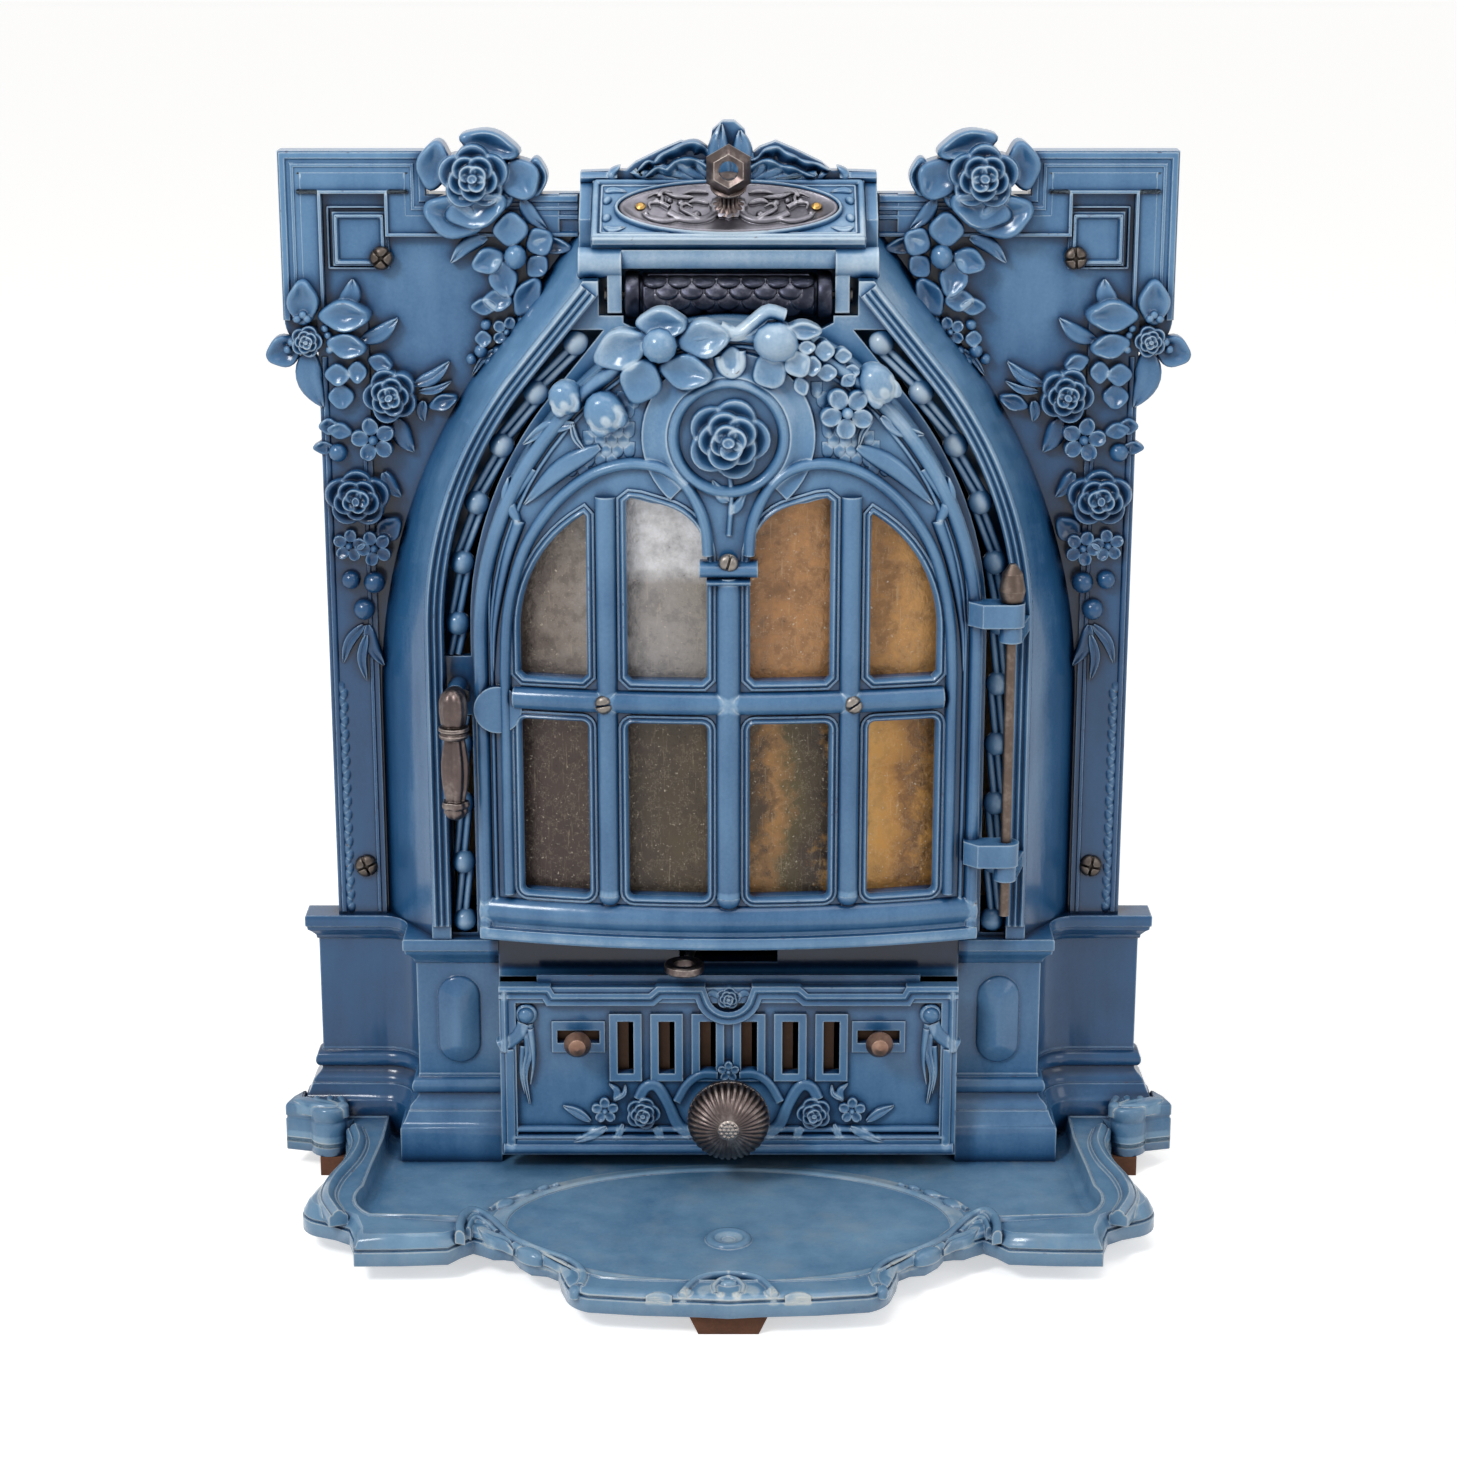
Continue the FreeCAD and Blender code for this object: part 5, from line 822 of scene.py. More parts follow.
    def bud(self, centre: Point, size: Point, turn: float = 0, lift: float = 0) -> None:
        """Add a closed bud whose outer petals part at one end.

        Args:
            centre: Middle of the bud.
            size: Half length and half width.
            turn: Direction of the open end in degrees.
            lift: Height that it stands at.
        """
        way = math.radians(turn)
        ahead = (math.cos(way), math.sin(way))
        big = max(size)
        self.cap(centre, size, turn, rise=big * 0.75, lift=lift, crown=3)
        for side in (-1, 1):
            spot = (centre[0] + (ahead[0] * 0.35 - side * ahead[1] * 0.42) * big, centre[1]
                    + (ahead[1] * 0.35 + side * ahead[0] * 0.42) * big)
            self.cap(spot, (size[0] * 0.62, size[1] * 0.46), turn + side * 12, rise=big * 0.4, lift=lift
                     + big * 0.28, hollow=0.45, crown=4, rings=5, spokes=14)
        tip = (centre[0] + ahead[0] * big * 0.3, centre[1] + ahead[1] * big * 0.3)
        self.cap(tip, (size[0] * 0.3, size[1] * 0.24), turn, rise=big * 0.35, lift=lift + big * 0.4, rings=4,
                 spokes=10)

    def plant(self, rows: Sequence[tuple]) -> None:
        """Add a bouquet from a table of its petals, balls, roses, daisies, buds and leaves.

        Args:
            rows: Kind, place, half sizes, turn and lift of each, or a leaf's two ends, width and lift.
        """
        for kind, x, z, a, b, turn, lift in rows:
            if kind == "leaf":
                self.blade([(x, z), ((x + a) / 2 + (b - z) * 0.1, (z + b) / 2 - (a - x) * 0.1), (a, b)],
                           turn, rise=2.6, lift=lift + 1, crease=1.8, end_lift=lift)
            elif kind == "ball":
                self.cap((x, z), (a, b), turn, rise=min(a, b) * 0.95, lift=lift, rings=5, spokes=12)
            elif kind == "rose":
                self.rose((x, z), (a, b), turn, lift)
            elif kind == "daisy":
                self.daisy((x, z), a, turn, lift)
            elif kind == "bud":
                self.bud((x, z), (a, b), turn, lift)
            else:
                big = max(a, b)
                self.cap((x, z), (a, b), turn, rise=big * 0.62, lift=lift, hollow=0.85, crown=6,
                         tilt=big * 0.16, waves=4, wave=0.06, spokes=28, rings=8, fold=0.35)

    def make(self, name: str, body: Body, slot: Slot) -> Object:
        """Turn the gathered ornament into one piece."""
        return make_piece(name, body, slot, np.vstack(self.points), self.faces, 50, merge=False)


def wall(front: float) -> Surface:
    """Surface of an upright face at a distance in front of the middle."""
    return lambda p: np.column_stack([p[:, 0], -front - p[:, 2], p[:, 1]])


def floor_at(height: float) -> Surface:
    """Surface of a level face, whose second coordinate runs to the back."""
    return lambda p: np.column_stack([p[:, 0], p[:, 1], height + p[:, 2]])


# The door is bowed about an upright axis that stands behind the stove
BOW_RADIUS, BOW_MIDDLE = 660.0, 507.0
# Middles of the door's medallion, of the arc of its crown and of the right arch over the upper panes
MEDALLION, CROWN, PANE_ARCH = (0, 580.8), (0, 518.2), (46.5, 440)
# Depth and height of the roller's axis, and the radius of its band
ROLLER_AXIS, ROLLER_RADIUS = (-86, 668), 15


def bow(points: np.ndarray) -> np.ndarray:
    """Surface of the door's bowed front."""
    flat, spread = points[:, 0], 1 + points[:, 2] / BOW_RADIUS
    deep = np.sqrt(BOW_RADIUS ** 2 - flat ** 2)
    return np.column_stack([flat * spread, BOW_MIDDLE - deep * spread, points[:, 1]])


UPPER_GARLAND = [
    ("petal", -206, 753, 17, 12, 80, 5), ("petal", -167, 767, 21, 10, -15, 4),
    ("petal", -146, 744, 15, 14, -60, 6), ("petal", -135, 745, 8, 13, 0, 2),
    ("petal", -193, 718, 21, 15, 160, 7), ("petal", -177, 724, 22, 14, 15, 9),
    ("rose", -178, 746, 25, 21, 20, 11), ("leaf", -170, 703, -196, 685, 11, 3),
    ("leaf", -167, 724, -150, 738, 11, 8), ("leaf", -145, 730, -128, 709, 11, 4),
    ("petal", -153, 709, 12, 12, 90, 9), ("petal", -169, 687, 12, 9, 200, 7),
    ("petal", -159, 675, 14, 10, -75, 6), ("ball", -150, 690, 8, 9, 0, 10), ("petal", -133, 700, 10, 10, 30,
                                                                             6),
    ("petal", -135, 683, 8, 9, -40, 5), ("petal", -124, 697, 6, 15, 80, 1), ("petal", -142, 661, 15, 10, 60,
                                                                             5),
    ("petal", -163, 659, 10, 8, 0, 6), ("petal", -173, 654, 6, 9, 90, 5), ("ball", -172, 641, 4, 4, 0, 4),
    ("ball", -146, 644, 4, 4, 0, 4), ("daisy", -157, 636, 11, 11, 0, 4), ("petal", -174, 631, 6, 6, 0, 4),
    ("ball", -176, 622, 5, 5, 0, 3), ("ball", -183, 616, 4, 4, 0, 2), ("leaf", -161, 625, -183, 604, 6, 1),
    ("ball", -164, 622, 4, 4, 0, 3), ("ball", -170, 614, 4, 4, 0, 2),
]
CORNER_GARLAND = [
    ("petal", -301, 657, 16, 11, 90, 6), ("ball", -305, 646, 3, 3, 0, 10), ("ball", -301, 649, 3, 3, 0, 10),
    ("ball", -298, 646, 3, 3, 0, 10), ("leaf", -273, 652, -266, 673, 14, 3), ("petal", -272, 648, 18, 11, 0,
                                                                              8),
    ("ball", -286, 639, 3, 3, 0, 8), ("ball", -284, 634, 3, 3, 0, 8), ("leaf", -261, 630, -235, 645, 12, 4),
    ("rose", -299, 630, 11, 11, 0, 9), ("petal", -316, 622, 13, 11, 200, 3), ("ball", -313, 624, 3, 3, 0, 8),
    ("ball", -310, 629, 3, 3, 0, 8), ("petal", -271, 627, 14, 9, -10, 9), ("ball", -283, 624, 3, 3, 0, 9),
    ("leaf", -299, 622, -290, 582, 19, 4), ("petal", -278, 606, 9, 8, 0, 8), ("petal", -264, 608, 7, 8, 0,
                                                                              9),
    ("petal", -248, 614, 9, 6, -20, 6), ("petal", -276, 590, 9, 9, -90, 6), ("rose", -241, 591, 19, 19, 40,
                                                                             8),
    ("leaf", -224, 598, -199, 614, 10, 3), ("leaf", -221, 593, -198, 600, 7, 2),
    ("petal", -204, 585, 11, 6, 20, 1), ("leaf", -218, 586, -218, 571, 9, 2), ("leaf", -237, 573, -226, 549,
                                                                               14, 2),
    ("daisy", -254, 559, 16, 16, 30, 7), ("petal", -286, 568, 6, 7, 90, 5), ("petal", -278, 565, 6, 9, 80,
                                                                             6),
    ("ball", -280, 549, 7, 7, 0, 5), ("petal", -290, 552, 5, 8, 90, 2), ("rose", -267, 516, 24, 19, 90, 6),
    ("leaf", -248, 534, -236, 516, 11, 3), ("daisy", -274, 481, 12, 12, 10, 6),
    ("petal", -246, 492, 11, 9, 40, 2), ("daisy", -256, 479, 13, 13, 40, 6), ("ball", -274, 455, 7, 7, 0, 5),
    ("ball", -257, 453, 8, 8, 0, 5), ("ball", -265, 433, 8, 8, 0, 5), ("leaf", -266, 421, -282, 392, 9, 3),
    ("leaf", -263, 421, -252, 390, 11, 3), ("leaf", -264, 414, -265, 379, 8, 5),
]
CROWN_FLOWERS = [
    ("leaf", -105, 589, -141, 573, 10, 2), ("leaf", -107, 589, -98, 570, 5, 2),
    ("bud", -111, 607, 12, 11, -70, 5), ("bud", -84, 598, 15, 14, -60, 6), ("petal", -72, 641, 20, 14, 25,
                                                                            3),
    ("petal", -45, 659, 17, 11, 0, 4), ("petal", -59, 620, 16, 14, 70, 5), ("petal", -29, 627, 18, 12, -10,
                                                                            5),
    ("petal", -17, 649, 18, 13, 10, 4), ("ball", -46, 645, 12, 12, 0, 10), ("petal", 2, 634, 10, 9, -90, 3),
    ("leaf", -4, 650, 28, 665, 10, 4), ("petal", 28, 627, 12, 12, -60, 4), ("ball", 32, 647, 14, 16, 80, 6),
    ("petal", 50, 655, 12, 6, 0, 8), ("petal", 46, 633, 10, 9, -60, 8), ("petal", 52, 644, 6, 5, 0, 9),
    ("petal", 64, 641, 7, 7, 0, 7), ("petal", 56, 631, 6, 7, 0, 8), ("petal", 66, 626, 7, 6, 0, 6),
    ("petal", 49, 617, 7, 5, -70, 5), ("petal", 77, 637, 6, 5, 0, 5), ("petal", 83, 626, 6, 5, 0, 4),
    ("petal", 81, 620, 6, 5, 40, 4), ("daisy", 80, 598, 18, 18, 50, 5), ("bud", 101, 617, 15, 12, -60, 5),
    ("leaf", 104, 594, 134, 580, 10, 2), ("leaf", 98, 592, 89, 573, 5, 2), ("ball", 0, 579, 11, 11, 0, 6),
    ("rose", 0, 580, 28, 27, 0, 1),
]


ROLL = ((-1.0, 0.1), (-0.8, 0.58), (-0.43, 0.88), (0.0, 1.0), (0.43, 0.88), (0.8, 0.58), (1.0, 0.1))


def roll(half: float, high: float, base: float = 0) -> list[Point]:
    """Profile of a round roll of a half width and a height."""
    return [(share * half, base + up * high) for share, up in ROLL]


def rounded(left: float, low: float, right: float, high: float, radius: float) -> list[Point]:
    """Clockwise rectangle with round corners.

    Args:
        left: Left edge.
        low: Lower edge.
        right: Right edge.
        high: Upper edge.
        radius: Radius of the corners.

    Returns:
        The points, from the lower left corner.
    """
    corners = ((left + radius, low + radius), (left + radius, high - radius),
               (right - radius, high - radius), (right - radius, low + radius))
    starts = (270, 180, 90, 0)
    return [spot for middle, start in zip(corners, starts) for spot in arc(middle, radius, start, start - 90,
                                                                           4)]


def mirror(points: Sequence[Point]) -> list[Point]:
    """The same points on the other side, in the reverse order."""
    return [(-x, z) for x, z in reversed(points)]


@dataclass
class Facade:
    """Garlands, roses and frame mouldings of the facade plate and the arch's rail."""

    face: float = 46
    rail_face: float = 104

    def bouquets(self) -> None:
        """Cast the garlands of both sides, each the mirror of the other."""
        for side, flip in (("left", 1), ("right", -1)):
            corner = Relief(wall(self.face))
            corner.flip = flip
            corner.plant(CORNER_GARLAND)
            corner.make(f"pilaster_garland_{side}", Body.STOVE, Slot.ENAMEL)
            upper = Relief(wall(self.face), sink=12)
            upper.flip = flip
            upper.plant(UPPER_GARLAND)
            upper.make(f"shoulder_rose_{side}", Body.STOVE, Slot.ENAMEL)

    def frames(self) -> None:
        """Cast the stepped moulding that runs round the ears and along the top."""
        relief = Relief(wall(42), sink=5)
        fillets = [(0.5, 1), (1, 5.5), (5, 6), (6.5, 4.2), (8, 4.4), (9, 5.4), (11, 5.2), (12, 3.6),
                   (14, 3.4), (15, 4.6), (17.5, 4.4), (18.5, 2.2), (22, 1.6), (26, 2.0), (27.5, 6.8),
                   (29.5, 6.6), (30, 1)]
        profile = [(-side, high + 1.5) for side, high in fillets]
        for _ in relief.sides():
            relief.moulding([(-316, 644), (-316, 763), (-212, 763), (-212, 733), (-106, 733)], profile)
            relief.moulding([(-290.5, 199), (-290.5, 618)], [(0, 5), (-1.5, 7.5), (-4, 7.5), (-5.5, 6)])
            relief.moulding([(-258.5, 199), (-258.5, 560)], [(0, 5), (1.5, 7.2), (3.5, 7.2), (5, 5)])
            relief.moulding(rounded(-277.5, 684, -243, 718.5, 1), [(0.5, 4.8), (0, 6.8), (-1.5, 6.8),
                                                                   (-3, 5)], True)
            relief.moulding(rounded(-283, 680, -240, 724, 1), [(0.5, 1.5), (0, 3.2), (-1, 3.2), (-2, 1)],
                            True)
        relief.make("facade_mouldings", Body.STOVE, Slot.ENAMEL)

    def rail(self) -> None:
        """Cast the three rounded fillets along the arch's rail."""
        relief = Relief(wall(self.rail_face), sink=6)
        half, spring, radius, sweep, top = 217.0, 430.0, 300.0, 39.0, 678.0
        curve = arc((radius - half, spring), radius, 180, 180 - sweep, 22)
        end_x, end_z = curve[-1]
        slant = (end_x + (top - end_z) * math.tan(math.radians(sweep)), top)
        path = [(-half, 208.0)] + curve + [slant]
        profile = ([(-0.3 - side, high) for side, high in ((0, 0.3), (0.5, 2.6), (2.5, 4.2), (4.2, 3.0),
                                                           (4.8, 1.6), (5.6, 2.6), (7.2, 3.8), (8.8, 2.6),
                                                           (9.4, 1.4), (10.4, 2.6), (12.2, 3.6), (13.6, 2),
                                                           (13.9, 0.3))])
        for _ in relief.sides():
            relief.moulding(path, profile)
        relief.make("arch_rail_fillets", Body.STOVE, Slot.ENAMEL)

    def build(self) -> None:
        """Build the facade's ornament."""
        self.bouquets()
        self.frames()
        self.rail()


@dataclass
class Door:
    """Ornament on the bowed door: rolls, window fillets, medallion and bouquet."""

    half: float = 180
    bottom: float = 207

    def edge(self, inset: float) -> list[Point]:
        """Door outline moved in by inset, clockwise from its bottom left corner."""
        return ([(inset - self.half, self.bottom + inset)] + arc((74, 430), 254 - inset, 180, 130, 14)
                + arc(CROWN, 138.9 - inset, 130, 50, 20)[1:-1] + arc((-74, 430), 254 - inset, 50, 0, 14)
                + [(self.half - inset, self.bottom + inset)])

    def windows(self) -> list[list[Point]]:
        """Clockwise outlines of the eight window openings."""
        outer = [(-147.5, 410.0), (-147.5, 440.0)] + arc((-PANE_ARCH[0], PANE_ARCH[1]), 101, 180, 122,
                                                         12)[1:] + [(-98.5, 524.0), (-98.5, 410.0)]
        outer += [(-102.5, 406.0), (-143.5, 406.0)]
        inner = ([(-71.5, 410.0), (-71.5, 535.0)] + [(-67.5, 538.2), (-61, 537.6)]
                 + arc((-53.4, 495), 39, 74, 0, 9) + [(-14.4, 410.0), (-18.4, 406.0), (-67.5, 406.0)])
        left = [rounded(-147.5, 246, -98.5, 376, 4.5), rounded(-71.5, 246, -14.4, 376, 4.5), outer, inner]
        return left + [mirror(path) for path in left]

    def mouldings(self, relief: Relief) -> None:
        """Cast the rolls and fillets round the door, the windows and on the bars."""
        relief.moulding(self.edge(5.6), roll(5.2, 6.4), closed=True)
        relief.moulding(self.edge(13.5), roll(1.8, 2.4), closed=True)
        for path in self.windows():
            relief.moulding(path, [(-0.6, -1), (0.2, 1.6), (1.6, 2.8), (3, 2.2), (3.6, 1), (4.4, 1.8),
                                   (5.6, 1.6), (6.2, 0.1)], closed=True)
        arch = [(-157.0, 244.0), (-157.0, 408.0), (-155, 446), (-150, 473), (-141, 500), (-126.5, 524),
                (-110, 542), (-91.5, 555), (-71, 561.5), (-53, 561), (-40, 556.5), (-29, 547), (-20.5, 532),
                (-15.5, 516), (-14, 498)]
        arch = [tuple(spot) for spot in np.vstack([np.array(arch[:1]), smooth_path(arch[1:], 44)])]
        for path in (arch, mirror(arch)):
            relief.moulding(path, roll(4.2, 6.6))
        bar = roll(7.4, 6.8)
        for x in (-85, 85):
            relief.moulding([(x, 247), (x, 538)], bar)
            relief.cap((x, 246), (8, 7.2), rise=6.6, rings=4, spokes=12)
        relief.moulding([(0, 247), (0, 482)], roll(8.6, 7.4))
        relief.cap((0, 246), (9, 8.4), rise=7.2, rings=4, spokes=12)
        relief.moulding([(-151, 391), (151, 391)], roll(8.4, 7.2))
        relief.moulding([(-20, 488), (20, 488)], roll(6, 10))
        relief.moulding([(-15, 479.5), (15, 479.5)], roll(3, 9))
        sill = [(-13.5, 1), (-13, 6), (-8, 7.6), (-4.5, 6.4), (-3.6, 3.4), (-2, 2.8), (0, 3.6), (4, 6.4),
                (9, 7.4), (13.5, 5.8), (17, 2.6), (18.5, 0.2)]
        relief.moulding([(-177.5, 222), (177.5, 222)], sill)

    def medallion(self, relief: Relief) -> None:
        """Cast the medallion's nested rings and its rose on a stem."""
        relief.moulding(arc(MEDALLION, 38, 0, 360, 48)[:-1], roll(4.4, 6.6), closed=True)
        cavetto = [(-9.5, 0.2), (-8, 3.6), (-5, 1.8), (0, 1.2), (4, 2.4), (7, 4.6), (9, 5.2), (11, 3.6),
                   (12, 0.2)]
        relief.moulding(arc(MEDALLION, 51, 228, -48, 48), [(-side, high) for side, high in cavetto])
        relief.blade([(0, 560), (2, 540), (0.3, 512)], 4.4, rise=3.4, shape=Blade.STEM)
        relief.blade([(0, 536), (-5, 541), (-11, 551)], 10, lift=1, crease=1.5)
        relief.blade([(1, 528), (7, 534), (12, 545)], 8, lift=1, crease=1.5)

    def leaves(self, relief: Relief) -> None:
        """Cast the long blades beside the arches and the scroll in the crown."""
        for _ in relief.sides():
            relief.blade([(-88.1, 573.3), (-116, 556), (-141.1, 530.8)], 14, rise=4.6, lift=1, crease=1.5)
            relief.blade([(-145, 517), (-153, 534), (-152, 549)], 9, rise=3.4, lift=1.5)
            relief.blade([(-145, 519), (-155, 488), (-163.4, 445), (-165.5, 408)], 9, rise=4.2,
                         shape=Blade.TAPER, steps=16)
            relief.blade([(-134, 556), (-156, 520), (-166, 478), (-168, 430)], 6, rise=3.6,
                         shape=Blade.TAPER, steps=16)
        relief.blade([(-6, 656), (6, 652), (17, 660), (27, 667), (38, 664)], 9, rise=5, lift=3,
                     shape=Blade.STEM, steps=14)
        relief.blade([(-8, 637), (-5, 628), (3, 624), (9, 630), (9, 641)], 6, rise=4, lift=3,
                     shape=Blade.STEM, steps=14)

    def build(self) -> None:
        """Build the door's ornament."""
        relief = Relief(bow)
        self.mouldings(relief)
        self.medallion(relief)
        relief.make("door_mouldings", Body.DOOR, Slot.ENAMEL)
        flowers = Relief(bow)
        self.leaves(flowers)
        flowers.plant(CROWN_FLOWERS)
        flowers.make("door_bouquet", Body.DOOR, Slot.ENAMEL)


@dataclass
class Drawer:
    """Ornament on the ash drawer's front."""

    face: float = 123

    def frame(self, relief: Relief) -> None:
        """Cast the stepped border with its centre dip and the mitred foot moulding."""
        top = [(-167.5, 164), (-133, 164), (-130, 158.6), (-56, 158.6), (-50, 164), (-21, 164)]
        dip = arc((0, 164), 20, 180, 360, 14)
        path = top + dip[1:-1] + mirror(top)
        profile = [(6, 1), (5.5, 5.5), (2.5, 7), (0.5, 6.2), (-0.5, 4.4), (-2.5, 5.4), (-4.5, 5.4),
                   (-5.5, 3.6), (-6.3, 0.5)]
        relief.moulding(path, [(side * 0.95, high) for side, high in profile])
        for _ in relief.sides():
            relief.moulding([(-163.5, 118), (-163.5, 166)], roll(3.8, 6.5))
            relief.moulding([(-160.5, 40), (-160.5, 120)], [(-3.5, 2), (-3, 5), (0, 6), (3, 5), (3.5, 2)])
        relief.moulding([(-156, 55.5), (156, 55.5)], roll(3, 4.4))
        relief.moulding([(-160, 49.5), (160, 49.5)], roll(2.6, 5))
        relief.moulding([(-166, 41), (166, 41)], roll(5, 7.4))

    def swags(self, relief: Relief) -> None:
        """Cast the rosettes in the corners with their swag and hanging ribbon."""
        for _ in relief.sides():
            relief.cap((-148, 146.5), (6.2, 6.2), rise=5, lift=3.5)
            relief.cap((-148, 146.5), (8.4, 8.4), rise=3, lift=1.5, hollow=0.4, crown=6)
            relief.blade([(-149.6, 140), (-154, 131), (-163, 123.5), (-168, 121)], 11, rise=3.4, lift=2.5,
                         crease=1.6, shape=Blade.STEM)
            relief.blade([(-147.5, 139), (-146, 119), (-149.5, 99), (-146.5, 76)], 9, rise=3, lift=2,
                         crease=1.4, shape=Blade.TAPER, steps=18)
            relief.blade([(-145, 136), (-143, 112), (-145.5, 92)], 5, rise=3, lift=3, shape=Blade.TAPER,
                         steps=14)
            relief.blade([(-151, 122), (-152.5, 100), (-150, 84)], 5, rise=2.6, lift=1.5, shape=Blade.TAPER,
                         steps=14)

    def flowers(self, relief: Relief) -> None:
        """Cast the sprays beside the knob and the scroll ribbons round it."""
        for _ in relief.sides():
            relief.blade([(-102, 62), (-112, 69), (-122, 74)], 8, rise=3, lift=1.5, crease=1.6)
            relief.daisy((-91, 71), 10, 20, 2.5)
            relief.blade([(-84, 78), (-82, 86), (-88, 92)], 6, rise=3, lift=2, crease=1)
            relief.blade([(-84, 79), (-77, 84), (-76, 91)], 5, rise=3, lift=2, crease=1)
            relief.rose((-63, 69), (12.5, 12), 0, 3)
            relief.blade([(-90, 58), (-102, 51), (-115, 46)], 8, rise=2.8, lift=3.5, crease=1.4)
            relief.blade([(-78, 60), (-81, 52), (-86, 46)], 6, rise=2.6, lift=3, crease=1.2)
            relief.blade([(-54, 58), (-51, 52), (-48, 45)], 7, rise=2.6, lift=3, crease=1.2)
            relief.blade([(-66, 80), (-61, 89), (-53, 90), (-45, 77), (-38, 60), (-28, 50)], 9, rise=3.6,
                         lift=2, crease=1.6, shape=Blade.STEM, steps=22)
            relief.blade([(-38, 78), (-30, 92), (-20, 99), (-8, 99)], 7, rise=3.4, lift=2, crease=1.2,
                         shape=Blade.STEM, steps=16)
        relief.daisy((0, 102), 8, 18, 3)
        relief.rose((0, 160), (9, 8), 10, 3)
        for side in (-1, 1):
            relief.blade([(side * 6, 160), (side * 12, 164), (side * 17, 160)], 6, rise=3, lift=3, crease=1)

    def build(self) -> None:
        """Build the drawer's ornament."""
        relief = Relief(wall(self.face))
        self.frame(relief)
        self.swags(relief)
        self.flowers(relief)
        relief.make("drawer_ornament", Body.DRAWER, Slot.ENAMEL)


def slope_frame(angle: float, along: float, lift: float, front: float = 98, top: float = 708) -> Surface:
    """Surface on the lid: across, up the slope from a point, and off the lid's top face.

    Args:
        angle: Slope of the lid in degrees.
        along: Distance up the slope where the second coordinate starts.
        lift: Height over the lid where the third coordinate starts.
        front: How far the lid's front edge stands in front of the middle.
        top: Height of the lid's front edge.

    Returns:
        The surface.
    """
    cos, sin = math.cos(math.radians(angle)), math.sin(math.radians(angle))

    def place(p: np.ndarray) -> np.ndarray:
        up, out = p[:, 1] + along, p[:, 2] + lift
        return np.column_stack([p[:, 0], -front + up * cos - out * sin, top + up * sin + out * cos])

    return place


def turned(relief: Relief, profile: Sequence[Point], centre: Point = (0, 0), spokes: int = 32,
           flutes: int = 0, depth: float = 0, span: Point = (-1e9, 1e9)) -> None:
    """Add a turned shape about the outward axis, fluted between two heights.

    Args:
        relief: Relief that gets the shape.
        profile: Radii and heights, from one end to the other.
        centre: Where the axis stands on the surface.
        spokes: Points round the axis.
        flutes: Number of flutes.
        depth: Depth of a flute as a share of the radius.
        span: Heights between which the flutes run.
    """
    angles = np.linspace(0, 2 * math.pi, spokes, endpoint=False)
    rings = []
    for radius, height in profile:
        cut = depth if span[0] <= height <= span[1] else 0
        reach = radius * (1 - cut * (0.5 - 0.5 * np.cos(flutes * angles)) ** 2)
        rings.append(np.stack([centre[0] + reach * np.cos(angles), centre[1] + reach * np.sin(angles),
                               np.full(spokes, float(height))], axis=1))
    relief.loft(np.array(rings))


